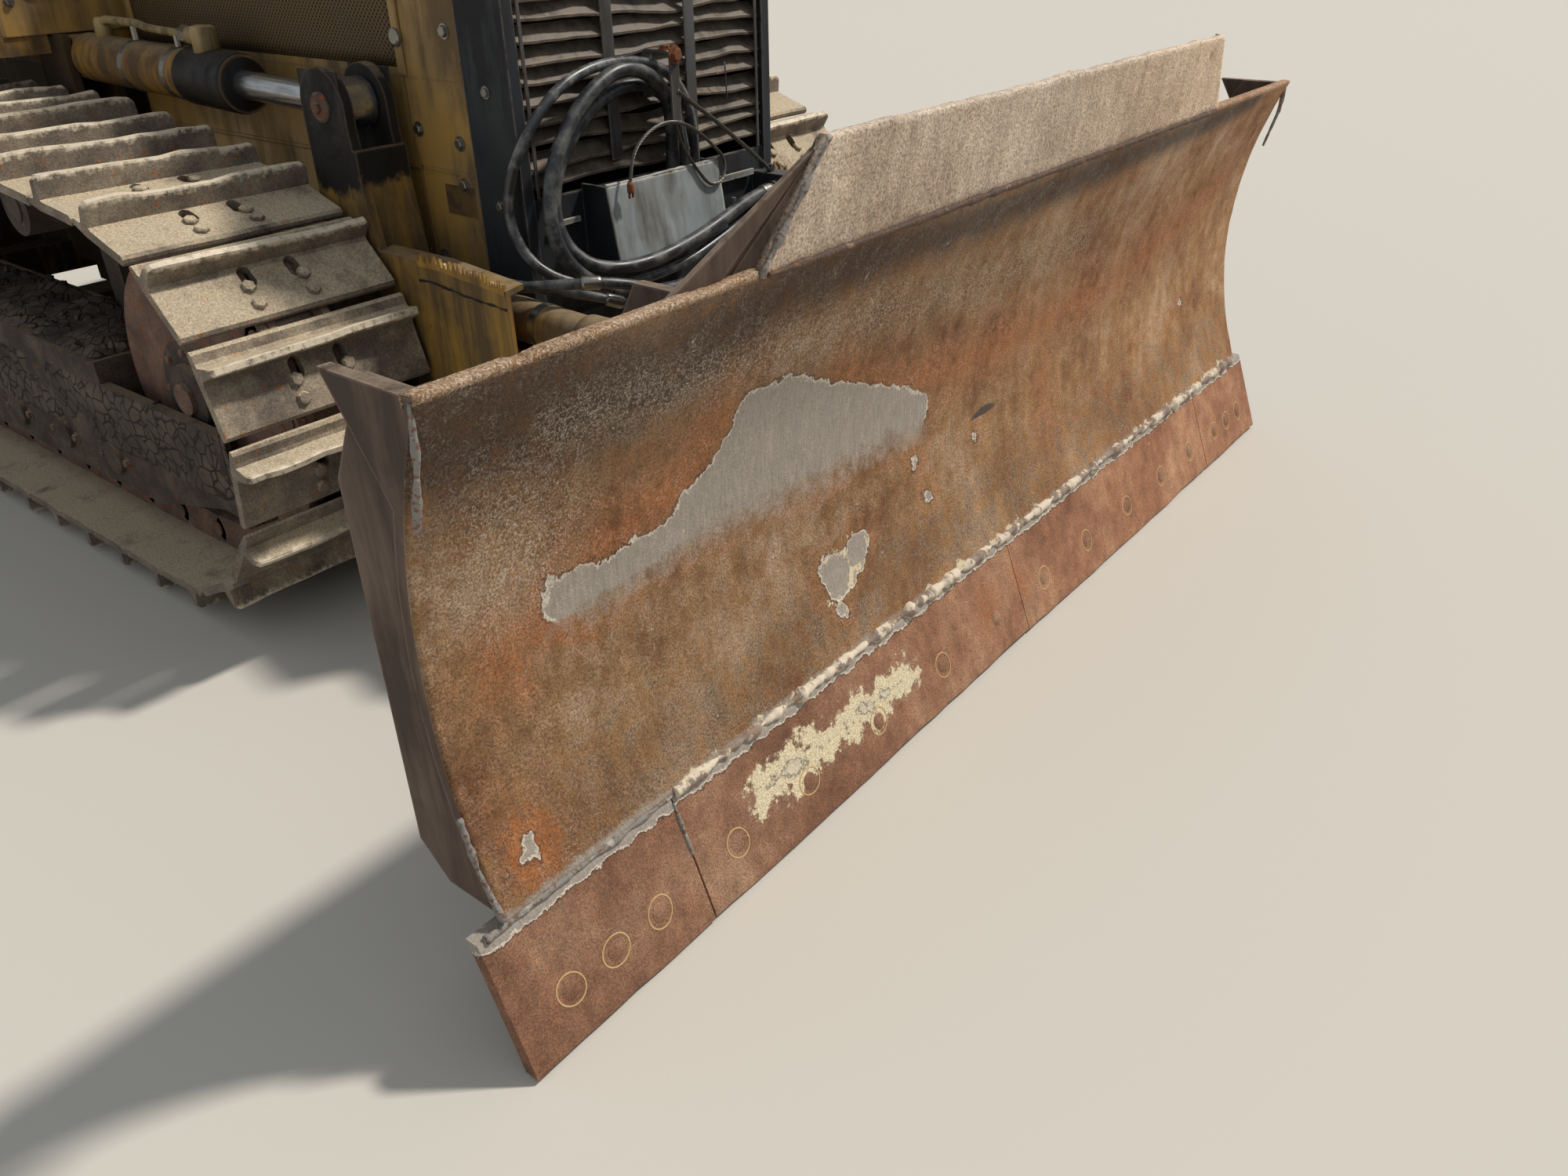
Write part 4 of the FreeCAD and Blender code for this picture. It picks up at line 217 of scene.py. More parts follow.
for cord_name, thick, body, cover, points in CORDS:
    hose = route(cord_name + "_cover", points)
    length = run_length(along(hose))
    hose.data.bevel_depth = thick / 2000
    hose.data.bevel_resolution = 6
    hose.data.use_fill_caps = True
    hose.data.materials.append(cover)
    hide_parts(cord_name)
    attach(hose, body)


# Wire rope from the hanger to the guard, and a thinner loop of the same kind:
# six strands of bright steel wire laid round a core, rusty where it is bent.
def grid_faces(rows, cols, wrap=False, first=0):
    """The four-sided faces of a grid of points: each joins a point to its next in row and column."""
    row, col = np.meshgrid(np.arange(rows - 1), np.arange(cols if wrap else cols - 1), indexing="ij")
    beside = (col + 1) % cols
    corners = [row * cols + col, row * cols + beside, (row + 1) * cols + beside, (row + 1) * cols + col]
    return np.stack([c.ravel() for c in corners], axis=1) + first


def put(name, points, faces, material, body, slot, smooth=True, replaced=(), ends=(), merge=1e-6,
        **fields):
    """A mesh piece from points and faces, turned outwards, riding on a body. Ends are closed rings,
    and fields are numbers at its points that its material reads."""
    mesh = bpy.data.meshes.new(name)
    faces = faces if isinstance(faces, list) else np.asarray(faces).tolist()
    mesh.from_pydata(np.reshape(points, (-1, 3)).tolist(), [], [*faces, *ends])
    for word, values in fields.items():
        field = mesh.attributes.new(word, "FLOAT", "POINT")
        field.data.foreach_set("value", np.asarray(values, dtype=np.float32).ravel())
    shell = bmesh.new()
    shell.from_mesh(mesh)
    if merge:
        bmesh.ops.remove_doubles(shell, verts=shell.verts, dist=merge)
    bmesh.ops.recalc_face_normals(shell, faces=shell.faces)
    shell.to_mesh(mesh)
    shell.free()
    mesh.polygons.foreach_set("use_smooth", np.full(len(mesh.polygons), smooth))
    for coat in material if isinstance(material, (list, tuple)) else [material]:
        mesh.materials.append(coat)
    piece = bpy.data.objects.new(name, mesh)
    bpy.context.scene.collection.objects.link(piece)
    if replaced:
        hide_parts(*replaced)
    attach(piece, body)
    return piece


def carried(line, ring, side):
    """Rings of points carried along a line: at each point the ring's two numbers are measured along
    the line's own sideways direction, which is square to it and to `side`, and along the third one."""
    ahead_of = np.gradient(line, axis=0)
    ahead_of /= np.linalg.norm(ahead_of, axis=1, keepdims=True)
    across = np.cross(np.asarray(side, float), ahead_of)
    across /= np.linalg.norm(across, axis=1, keepdims=True)
    third = np.cross(ahead_of, across)
    ring = np.broadcast_to(ring, (len(line), *np.shape(ring)[-2:]))
    return line[:, None] + ring[..., :1] * across[:, None] + ring[..., 1:] * third[:, None]


def circle(radius, count):
    """Points evenly round a circle."""
    angle = np.linspace(0, 2 * np.pi, count, endpoint=False)
    return radius * np.stack([np.cos(angle), np.sin(angle)], axis=1)


def together(parts):
    """Several point sets with their faces made one: each part's faces count on from the one before."""
    starts = np.cumsum([0] + [len(np.reshape(p, (-1, 3))) for p, f in parts[:-1]])
    points = np.concatenate([np.reshape(p, (-1, 3)) for p, f in parts])
    return points, np.concatenate([np.asarray(f) + start for (p, f), start in zip(parts, starts)])


def evenly(line, step):
    """A line's points again, a step apart along it."""
    run = np.concatenate([[0], np.cumsum(np.linalg.norm(np.diff(line, axis=0), axis=1))])
    spots = np.linspace(0, run[-1], max(2, int(run[-1] / step) + 1))
    return np.stack([np.interp(spots, run, line[:, axis]) for axis in range(3)], axis=1)


def tube_along(line, radius, side, around=12):
    """A closed round tube along a line, as points and faces: its end rings shrink to a point."""
    radius = np.broadcast_to(radius, len(line))[:, None, None] * circle(1.0, around)
    rings = carried(line, radius, side)
    rings = np.concatenate([
        np.repeat(line[:1, None], around, axis=1), rings, np.repeat(line[-1:, None], around, axis=1)])
    return rings, grid_faces(len(line) + 2, around, wrap=True)


def strands(line, thick, side, pitch):
    """Six strands round a core. Each one's middle turns round the line at a third of the rope's
    width, once in a pitch, and carries a round ring of a sixth of that width."""
    line = evenly(line, pitch / 14)
    run = np.linspace(0, len(line) - 1, len(line)) * pitch / 14
    parts = [tube_along(line, thick * 0.2, side, 6)]
    for strand in range(6):
        angle = 2 * np.pi * (run / pitch + strand / 6)
        turning = (thick / 3) * np.stack([np.cos(angle), np.sin(angle)], axis=1)[:, None]
        parts.append(tube_along(carried(line, turning, side)[:, 0], thick / 6, side, 7))
    return together(parts)


def bare_metal(name, code, tarnish_code, rust_code, rusty=0.5, grain=60.0, shine=0.35, metal=0.9):
    """Bare steel: tarnish in clouds, and rust that breaks through where the clouds are thick."""
    material, tree, shader, place = new_material(name)
    cloud = add(tree, "TexNoise", {"Vector": place, "Scale": grain * 0.35, "Detail": 6.0, "Roughness": 0.65})
    speck = add(tree, "TexNoise", {"Vector": place, "Scale": grain * 4, "Detail": 3.0})
    mix = add(tree, "Mix", {0: cloud, 6: code, 7: tarnish_code}, data_type="RGBA")
    edge = add(tree, "MapRange", {
        0: cloud, 1: 0.72 - 0.4 * rusty, 2: 0.80 - 0.4 * rusty, 3: 0.0, 4: 1.0})
    coat = add(tree, "Mix", {0: edge, 6: mix, 7: rust_code}, data_type="RGBA")
    dull = add(tree, "MapRange", {0: edge, 1: 0.0, 2: 1.0, 3: shine, 4: 0.85})
    shiny = add(tree, "MapRange", {0: edge, 1: 0.0, 2: 1.0, 3: metal, 4: 0.0})
    bump = add(tree, "Bump", {"Strength": 0.4, "Distance": 0.0006, "Height": speck})
    fill(shader, {"Base Color": coat, "Roughness": dull, "Metallic": shiny, "Normal": bump})
    return material


# Wire: drawn carbon steel, greyed by grease, with brown rust in the lays
rope_wire = bare_metal("greasy_rope_wire", "#8A8781", "#55504A", "#6B4A33", rusty=0.35, grain=160)
rusty_fitting = bare_metal("rusty_forged_fitting", "#7A6A5C", "#54443A", "#7E4B2A", rusty=0.9, grain=90)
ROPES = (
    ("wire_rope", 12, (
        (1426, -6, 1165), (1424, 52, 1128), (1418, 140, 1078), (1412, 237, 1013),
        (1405, 330, 953), (1388, 402, 907),
    )),
    ("wire_loop", 9, (
        (1452, -215, 984), (1446, -202, 1020), (1440, -178, 1056), (1438, -128, 1088),
        (1438, -66, 1102), (1438, 0, 1091), (1434, 67, 1056), (1428, 127, 1012),
        (1431, 152, 988), (1436, 153, 962), (1440, 138, 938), (1441, 112, 926), (1440, 84, 930),
        (1436, 62, 952), (1428, 40, 984), (1424, 12, 1024), (1424, -8, 1062), (1426, -16, 1096),
    )),
)
# The socket at the loop's end: a swaged sleeve with two prongs
socket_x, socket_y, socket_low, socket_high = 1.452, -0.215, 0.950, 0.988
heights = np.array([socket_low + 0.012, socket_low + 0.014, socket_high - 0.008, socket_high])
sleeve = np.stack([np.full(4, socket_x), np.full(4, socket_y), heights], axis=1)
prongs = [
    np.array([[socket_x, socket_y + y * 0.6, socket_low + 0.016],
              [socket_x, socket_y + y, socket_low + 0.008],
              [socket_x, socket_y + y, socket_low]])
    for y in (-0.006, 0.006)
]
rope_socket = put(
    "rope_socket_fitting",
    *together([tube_along(sleeve, [0.0088, 0.009, 0.009, 0.006], (1, 0, 0))]
              + [tube_along(line, 0.0028, (1, 0, 0), 8) for line in prongs]),
    rusty_fitting, "root", "grille_steel", replaced=("rope_socket",))
for rope_name, thick, points in ROPES:
    guide = route(rope_name + "_guide", points)
    line = along(guide)
    bpy.data.objects.remove(guide)
    rope = put(
        rope_name + "_strands", *strands(line, thick / 1000, (1, 0, 0), thick * 0.0066),
        rope_wire, "root", "wire_rope", replaced=(rope_name,))

# Moldboard: one rolled steel plate, worn through its paint by soil. The bare
# steel rusts brown, streaks run down it, and a scab has peeled off the middle.
def lumps(u, v, size, seed, octaves=3):
    """A soft random height from about -1 to 1: seeded random numbers at the corners of cells of a
    size, eased from corner to corner by 3t^2 - 2t^3, and halves of that size at half the height."""
    height = 0.0
    for octave in range(octaves):
        table = np.random.default_rng(seed + octave).uniform(-1, 1, (128, 128))
        a, b = np.asarray(u) / size * 2 ** octave, np.asarray(v) / size * 2 ** octave
        i, j = np.floor(a).astype(int), np.floor(b).astype(int)
        s, t = a - i, b - j
        s, t = s * s * (3 - 2 * s), t * t * (3 - 2 * t)
        low, high = [
            table[i % 128, (j + k) % 128] * (1 - s) + table[(i + 1) % 128, (j + k) % 128] * s for k in (0, 1)]
        height = height + (low * (1 - t) + high * t) * 0.5 ** octave
    return height


def depth_in(u, v, corners):
    """How far points lie inside a closed outline: the distance to its nearest side, negative
    outside, where a line from the point crosses the outline an even number of times."""
    near, inside = np.full(np.shape(u), np.inf), np.zeros(np.shape(u), bool)
    for (a, b), (c, d) in zip(corners, corners[1:] + corners[:1]):
        share = np.clip(((u - a) * (c - a) + (v - b) * (d - b)) / ((c - a) ** 2 + (d - b) ** 2), 0, 1)
        near = np.minimum(near, np.hypot(u - a - share * (c - a), v - b - share * (d - b)))
        crossed = ((b > v) != (d > v)) & (u < a + (v - b) * (c - a) / ((d - b) or 1e-9))
        inside ^= crossed
    return np.where(inside, near, -near)


def near_line(u, v, corners):
    """The distance from points to an open line through corners."""
    near = np.full(np.shape(u), np.inf)
    for (a, b), (c, d) in zip(corners, corners[1:]):
        share = np.clip(((u - a) * (c - a) + (v - b) * (d - b)) / ((c - a) ** 2 + (d - b) ** 2), 0, 1)
        near = np.minimum(near, np.hypot(u - a - share * (c - a), v - b - share * (d - b)))
    return near


def blade_steel(name, deep, middle, light, rust, dark, grain=1.0, peeled="#9C9286"):
    """Soil-worn plate: brown rust in clouds under a salt-and-pepper grain of pits. By its fields
    it is orange (rust), darkened by greasy soil and by painted shade in creases (dark), flecked
    with pale worm-like scratches (pale), lighter in tone (tan), crusted with cream soil (cream),
    or peeled to a smooth scab (peel) whose crisp side has a chalky lip beside a painted shadow line."""
    material, tree, shader, place = new_material(name)
    upright = add(tree, "Mapping", {"Vector": place, "Scale": (1.0, 1.0, 0.12)})
    cloud = add(tree, "TexNoise", {"Vector": place, "Scale": 3.4, "Detail": 9.0, "Roughness": 0.66})
    ragged = add(tree, "TexNoise", {"Vector": place, "Scale": 22.0, "Detail": 8.0, "Roughness": 0.68})
    pit = add(tree, "TexNoise", {"Vector": place, "Scale": 260.0 * grain, "Detail": 3.0, "Roughness": 0.8})
    runs = add(tree, "TexNoise", {"Vector": upright, "Scale": 30.0, "Detail": 6.0, "Roughness": 0.6})
    hair = add(tree, "TexNoise", {"Vector": upright, "Scale": 190.0, "Detail": 4.0, "Roughness": 0.65})
    worm = add(tree, "TexNoise", {
        "Vector": place, "Scale": 60.0, "Detail": 5.0, "Roughness": 0.7, "Distortion": 1.8})
    crisp = add(tree, "Attribute", attribute_name="crisp").outputs["Fac"]
    tan = add(tree, "Attribute", attribute_name="tan").outputs["Fac"]

    # Noise makes each field ragged, so that a cut through it has no smooth outline.
    fields = {}
    for word, spread in (("rust", 0.8), ("dark", 0.42), ("peel", 0.30), ("cream", 0.62), ("pale", 0.45)):
        field = add(tree, "Attribute", attribute_name=word).outputs["Fac"]
        shift = add(tree, "MapRange", {0: ragged, 1: 0.25, 2: 0.75, 3: -spread, 4: spread})
        fields[word] = add(tree, "Math", {0: field, 1: shift}, operation="ADD")

    # The ground coat: brown clouds, lighter by the tan field, rusted orange, streaked downwards,
    # and darkened by greasy soil and by painted shade in creases.
    tone = add(tree, "Math", {0: ragged, 1: 0.45, 2: cloud}, operation="MULTIPLY_ADD")
    tone = add(tree, "MapRange", {0: tone, 1: 0.54, 2: 0.92})
    coat = add(tree, "ValToRGB", {0: tone})
    coat.color_ramp.elements[0].color = paint(deep)
    coat.color_ramp.elements[1].color = paint(light)
    coat.color_ramp.elements.new(0.5).color = paint(middle)
    # Lighter tone where the tan field is high: towards the blade's +y end, and near the seam.
    lighter_tone = add(tree, "VectorMath", {0: coat, 1: (1.5, 1.38, 1.22)}, operation="MULTIPLY")
    coat = add(tree, "Mix", {0: tan, 6: coat, 7: lighter_tone}, data_type="RGBA")
    patchy = add(tree, "MapRange", {0: worm, 1: 0.35, 2: 0.65})
    orange = add(tree, "Mix", {0: patchy, 6: rust, 7: "#8C5A34"}, data_type="RGBA")
    rusty = add(tree, "MapRange", {0: fields["rust"], 1: 0.30, 2: 1.10, 4: 0.80})
    coat = add(tree, "Mix", {0: rusty, 6: coat, 7: orange}, data_type="RGBA")
    run = add(tree, "MapRange", {0: runs, 1: 0.34, 2: 0.66, 3: 0.84, 4: 1.14})
    coat = add(tree, "VectorMath", {0: coat, 1: run}, operation="MULTIPLY")
    # Painted shade and soil: the dark field darkens the creases and greasy soil low down.
    grease_and_crease_shade = add(tree, "MapRange", {0: fields["dark"], 1: 0.30, 2: 0.95, 4: 0.92})
    coat = add(tree, "Mix", {0: grease_and_crease_shade, 6: coat, 7: dark}, data_type="RGBA")

    # The scab of bare plate, brushed upright, and the cream soil; then salt and pepper over all.
    soft_side = add(tree, "MapRange", {0: fields["peel"], 1: 0.30, 2: 0.85})
    hard_side = add(tree, "MapRange", {0: fields["peel"], 1: 0.485, 2: 0.515})
    scab = add(tree, "Mix", {0: crisp, 2: soft_side, 3: hard_side})
    stroke = add(tree, "MapRange", {0: hair, 1: 0.3, 2: 0.7, 3: 0.80, 4: 1.18})
    bare = add(tree, "VectorMath", {0: stroke, 1: paint(peeled)[:3]}, operation="MULTIPLY")
    coat = add(tree, "Mix", {0: scab, 6: coat, 7: bare}, data_type="RGBA")
    cream = add(tree, "MapRange", {0: fields["cream"], 1: 0.46, 2: 0.56})
    coat = add(tree, "Mix", {0: cream, 6: coat, 7: "#D8C8A4"}, data_type="RGBA")
    salt = add(tree, "MapRange", {0: pit, 1: 0.36, 2: 0.64, 3: 0.50, 4: 1.55})
    smoothed = add(tree, "Math", {0: scab, 1: 0.72}, operation="MULTIPLY")
    salt = add(tree, "Mix", {0: smoothed, 2: salt, 3: 1.0})
    coat = add(tree, "VectorMath", {0: coat, 1: salt}, operation="MULTIPLY")

    # Thin bands where a value is near a middle: worm-like ridges, and on the scab's crisp side a
    # painted shadow line beside a chalky lip. Each fades from its strength to nothing.
    bands = []
    for value, middle_value, inner, outer, strength in (
            (worm, 0.5, 0.012, 0.040, 0.85), (fields["peel"], 0.42, 0.010, 0.045, 0.7),
            (fields["peel"], 0.5, 0.022, 0.060, 1.0)):
        away = add(tree, "Math", {0: value, 1: middle_value}, operation="SUBTRACT")
        away = add(tree, "Math", {0: away}, operation="ABSOLUTE")
        bands.append(add(tree, "MapRange", {0: away, 1: inner, 2: outer, 3: strength, 4: 0.0}))
    flecked = add(tree, "MapRange", {0: pit, 1: 0.40, 2: 0.58})
    paler = add(tree, "MapRange", {0: fields["pale"], 1: 0.15, 2: 0.95})
    chalky = add(tree, "MapRange", {0: worm, 1: 0.36, 2: 0.46})
    masks = []
    for band, factors in zip(bands, ((flecked, paler), (crisp,), (chalky, crisp))):
        for factor in factors:
            band = add(tree, "Math", {0: band, 1: factor}, operation="MULTIPLY")
        masks.append(band)
    # The second colour, #21150D, is the painted shadow beside the scab's lip.
    for mask, colour in zip(masks, ("#D8CBB8", "#21150D", "#E0D4C2")):
        coat = add(tree, "Mix", {0: mask, 6: coat, 7: colour}, data_type="RGBA")
    height = add(tree, "Math", {0: pit, 1: 1.3, 2: ragged}, operation="MULTIPLY_ADD")
    for layer, rise in ((scab, -0.9), (cream, 1.2), (masks[2], 0.9)):
        height = add(tree, "Math", {0: layer, 1: rise, 2: height}, operation="MULTIPLY_ADD")
    rough = add(tree, "MapRange", {0: tone, 3: 0.82, 4: 0.58})
    bump = add(tree, "Bump", {"Strength": 0.6, "Distance": 0.0016, "Height": height})
    fill(shader, {"Base Color": coat, "Roughness": rough, "Normal": bump})
    return material


soil_worn_steel = blade_steel("soil_worn_blade_steel", "#6A4426", "#87643F", "#A08468", "#A65E24", "#3C2818")
roll_radius, roll_x, roll_z = 0.975, 3.2926, 0.646
seam_z, rim_z, mold_end = 0.236, 1.081, 1.5465
plate = 0.024


def face_x(z):
    """The rolled face: a circle's near side, its middle ahead of the blade."""
    return roll_x - np.sqrt(roll_radius ** 2 - (z - roll_z) ** 2)


def sheet_piece(name, grid, thick, material, body, slot, **fields):
    """A plate's skin through a grid of points, with the fields at its points, given a thickness."""
    rows, cols = grid.shape[:2]
    piece = put(name, grid, grid_faces(rows, cols), material, body, slot, **fields)
    wall = piece.modifiers.new("wall", "SOLIDIFY")
    wall.thickness = thick
    wall.offset = -1.0
    return piece


# The face from the seam up, over the worn rim, and a little down behind it;
# the last columns turn back round the plate's ends. Blows have dented it.
front_z = np.linspace(seam_z + 0.001, rim_z, 96)
step = 0.0022
lean = np.stack([roll_x - face_x(front_z), roll_z - front_z], axis=1) / roll_radius
front = np.stack([face_x(front_z), front_z], axis=1) + step * lean
back_x = front[-1, 0] - plate - 2 * step
rim = np.array([
    (front[-1, 0] - 0.002, rim_z + 0.0035), (front[-1, 0] - 0.006, rim_z + 0.005),
    (back_x + 0.006, rim_z + 0.005), (back_x + 0.001, rim_z + 0.002), (back_x, rim_z - 0.004),
    (back_x, rim_z - 0.016)])
profile = np.concatenate([front, rim])
ys = np.linspace(-mold_end, mold_end, 324)
y, s = np.meshgrid(ys, np.arange(len(profile)))
face = np.stack([np.broadcast_to(profile[:, :1], y.shape), y, np.broadcast_to(profile[:, 1:], y.shape)],
                axis=-1)
on_front = (s < len(front)) * np.clip((rim_z - face[..., 2]) / 0.05, 0, 1)
dents = 0.0018 * lumps(y, face[..., 2], 0.22, 11) + 0.0008 * lumps(y, face[..., 2], 0.05, 21)
face[..., 0] += on_front * np.clip(dents, -0.0012, 0.004)
nicks = np.clip(lumps(y, 0 * y, 0.06, 31, 4) - 0.35, 0, 1) * (s >= len(front) - 1) * (s < len(profile) - 1)
face[..., 2] -= 0.005 * nicks
z = face[..., 2]
scab_outline = [
    (-1.33, .64), (-1.31, .70), (-1.18, .68), (-1.06, .69), (-.94, .76), (-.90, .81), (-.87, .86),
    (-.74, .85), (-.50, .76), (-.25, .66), (-.25, .56), (-.54, .59), (-.74, .60), (-.96, .61),
    (-1.12, .61), (-1.22, .59)]
small_scabs = np.array([
    (-1.46, .31, .018), (-1.24, .65, .012), (-.62, .395, .050), (-.54, .42, .035), (-.26, .43, .016),
    (-.62, .33, .014), (-.05, .49, .012), (-.30, .52, .012), (1.18, .50, .012)])
scab = depth_in(y, z, scab_outline)
for at_y, at_z, size in small_scabs:
    scab = np.maximum(scab, size - np.hypot(y - at_y, z - at_z) + 0.35 * size * lumps(y, z, size * 1.1, 37))
rust_line = np.minimum(
    near_line(y, z, [(-1.42, .60), (-1.20, .715), (-1.0, .75), (-.92, .85)]) * 1.1,
    near_line(y, z, [(-.60, .80), (-.35, .71), (-.14, .69), (.24, .67), (.58, .68), (1.0, .74),
                     (1.4, .84)]) * 1.3)
rust_line = np.minimum(rust_line, np.hypot(y + 1.47, (z - .32) * 0.8))
rust_line = np.minimum(rust_line, 0.02 + np.hypot(y - .29, (z - .47) * 0.35))
# Painted shade: a dark band along the crease under the rim, where the rolled face turns to look down; it reaches
# furthest at the right end.
crease = near_line(y, z, [
    (-1.55, 1.03), (-1.30, .99), (-1.16, .97), (-.95, 1.0), (-.82, 1.04), (-.31, 1.02), (.40, 1.03),
    (1.05, 1.045), (1.3, 1.06)])
crease_reach = np.interp(y, [-1.55, -1.2, -.9, -.5, .3, 1.0, 1.5], [.24, .20, .14, .085, .075, .06, .04])
low = np.clip((0.30 - z) / 0.07, 0, 1)
pale = 1.25 - np.hypot((y + 1.36) / 0.20, (z - .80) / 0.20)
pale = np.maximum(pale,
                  1.1 - near_line(y, z, [(-1.30, .95), (-.95, .93), (-.55, .90), (-.1, .87), (.4, .86)])
                  / 0.10)
pale = np.maximum(pale, 0.30)
scab_middle = np.interp(y, [-1.33, -1.0, -.87, -.5, -.25], [.640, .655, .720, .675, .610])
upper = z > scab_middle - 0.015
upper |= z < 0.55
cream = 0.62 - (z - seam_z) / 0.055 - 0.9 * (y < -1.17) - 0.25 * np.clip(lumps(y, 0 * y, 0.2, 35), -1, 1)
for at_y, at_z, size in small_scabs[2:4]:
    cream = np.maximum(cream, 0.62 - np.abs(np.hypot(y - at_y, z - at_z) - size) / 0.03)
ochre = np.clip((scab_middle + 0.03 - z) / 0.09, 0, 1) * (scab > -0.04)
pale = np.maximum(pale, 1.35 * (z > rim_z - 0.006))
seam_wear = np.clip(1.35 - (z - seam_z) / 0.020, 0, 1)
soiled = 0.44 * np.clip((0.54 - z) / 0.18, 0, 1) * (scab < -0.02)
sheet_piece(
    "moldboard_face", face, 0.0028, soil_worn_steel, "blade", "blade_steel",
    peel=np.maximum(np.clip(0.5 + scab / np.where(upper, 0.06, 0.13), 0, 1), 0.9 * seam_wear),
    crisp=1.0 * upper * (z > 0.280),
    rust=np.clip(1 - rust_line / 0.17, 0, 1) * (scab < 0.01) + 0.55 * ochre, cream=np.clip(cream, 0, 1),
    # dark: painted shade under the rim's crease, and soil low on the face
    dark=np.maximum(np.clip(1.15 - crease / crease_reach, 0, 1) * (z < rim_z - 0.004), soiled),
    pale=np.clip(pale, 0, 1.4), tan=np.clip((y + 0.75) / 1.9, 0, 1) * 0.85 + 0.25 * low)

# Raised centre plate: a flat plate welded on the moldboard, its ends cut by
# hand with a torch, its face pitted pale. It is a skin over the plate's edges.
crown_low, crown_high, crown_turn = 1.072, 1.257, 0.024
share = np.linspace(0, 1, 24)
crown_z = crown_low + (crown_high - crown_low) * share
crown_x = 2.420 + (crown_z - rim_z) * (0.023 / 0.176) + 0.0048
over = np.array([(-0.003, 0.003), (-0.007, 0.0045), (-0.018, 0.0045), (-0.0245, 0.001), (-0.026, -0.006),
                 (-0.026, -0.03)])
crown_profile = np.concatenate([
    np.stack([crown_x, crown_z], axis=1), np.array([crown_x[-1], crown_high]) + over])
reach = np.clip((crown_profile[:, 1] - rim_z) / (crown_high - rim_z), 0, 1)
right_end = -0.912 + 0.140 * reach - 0.0025
left_end = 0.955 - 0.095 * reach + 0.0025
across = np.linspace(0, 1, 190)
crown_y = right_end[:, None] + (left_end - right_end)[:, None] * across
crown = np.stack([
    np.broadcast_to(crown_profile[:, :1], crown_y.shape), crown_y,
    np.broadcast_to(crown_profile[:, 1:], crown_y.shape)], axis=-1)
is_front = np.arange(len(crown_profile))[:, None] < 24
crown[..., 0] += is_front * 0.0009 * lumps(crown_y, crown[..., 2], 0.12, 41)
crown[..., 2] += (reach[:, None] > 0.9) * 0.0022 * lumps(crown_y, 0 * crown_y, 0.05, 51)
edge_turn = [crown[:, :1].copy(), crown[:, -1:].copy()]
for column in edge_turn:
    column[:24, :, 0] -= crown_turn
    column[24:, :, 0] = np.minimum(column[24:, :, 0], column[23, 0, 0])
wobble = 0.0035 * lumps(crown[:, 0, 2], 0 * crown[:, 0, 2], 0.03, 61, 2)
crown[:, 0, 1] += wobble
crown[:, -1, 1] += wobble[::-1] * 0.4
crown = np.concatenate([edge_turn[0], crown, edge_turn[1]], axis=1)
cy, cz = crown[..., 1], crown[..., 2]
speckled_plate = blade_steel(
    "speckled_raised_plate_steel", "#9A8470", "#B8A28C", "#CBB8A2", "#A8744A", "#4A382B", grain=0.75)
sheet_piece(
    "raised_plate_face", crown, 0.0024, speckled_plate, "blade", "blade_steel",
    peel=np.zeros(cy.shape),
    rust=np.clip(0.95 - np.hypot((cy - .80) / 0.035, (cz - 1.225) / 0.02), 0, 1)
    + 0.35 * np.clip(1 - (cz - crown_low) / 0.05, 0, 1),
    # dark: painted shade along the plate's foot, in the crease where it meets the moldboard
    dark=np.clip(0.85 - (cz - crown_low) / 0.035, 0, 1),
    pale=np.clip(1.2 * (cz > crown_high - 0.004), 0, 1.3),
    tan=np.clip(cy / 1.6, 0, 0.5))

# Cutting edges and end bits: hardened strips bolted under the moldboard by
# plough bolts, their tips ground wavy by the soil. Each is one closed ring
# of points in x and z carried along y, its flat ends closed by the ring.
edge_top, edge_tip, edge_thick = (2.408, 0.236), (2.5, 0.002), 0.028
bit_joint = 1.180
down = np.linspace(0, 1, 26)


def edge_strip(low, high, seed):
    """One strip: the front face leans from the seam to the tip, the rear face is parallel to it,
    and the tip's height changes in slow waves along the strip."""
    along_y = np.linspace(low, high, max(8, int((high - low) / 0.011)))
    worn = 0.004 + 0.004 * lumps(along_y, 0 * along_y, 0.25, seed, 4)
    worn = np.clip(worn, 0.0, 0.012)[:, None]
    front_z = edge_top[1] + (edge_tip[1] + worn - edge_top[1]) * down
    front_x = edge_top[0] + (edge_top[1]
                             - front_z) * (edge_tip[0] - edge_top[0]) / (edge_top[1] - edge_tip[1])
    front_x = front_x - 0.0012 * (down > 0.985) - 0.0015 * (down < 0.01)
    rear_z = front_z[:, ::-1][:, [0, 6, 12, 18, 25]]
    rear_x = front_x[:, ::-1][:, [0, 6, 12, 18, 25]] - edge_thick
    x, z = np.concatenate([front_x, rear_x], axis=1), np.concatenate([front_z, rear_z], axis=1)
    return np.stack([x, np.broadcast_to(along_y[:, None], x.shape), z], axis=-1)


strips = [(-1.600, -bit_joint - 0.002), (-bit_joint + 0.002, -0.0015), (0.0015, bit_joint - 0.002),
          (bit_joint + 0.002, 1.600)]
rings = [edge_strip(low, high, 71 + number) for number, (low, high) in enumerate(strips)]
edge_parts = [(ring, grid_faces(*ring.shape[:2], wrap=True)) for ring in rings]
edge_points, edge_faces = together(edge_parts)
starts = np.cumsum([0] + [ring.shape[0] * ring.shape[1] for ring in rings])
edge_caps = [list(range(start + shift, start + shift + ring.shape[1]))
             for start, ring in zip(starts, rings) for shift in (0, (ring.shape[0] - 1) * ring.shape[1])]
ground_edge_steel = blade_steel(
    "ground_cutting_edge_steel", "#68442F", "#865E45", "#A07C60", "#A0582A", "#523C30", grain=1.2)
ey, ez = edge_points[:, 1], edge_points[:, 2]
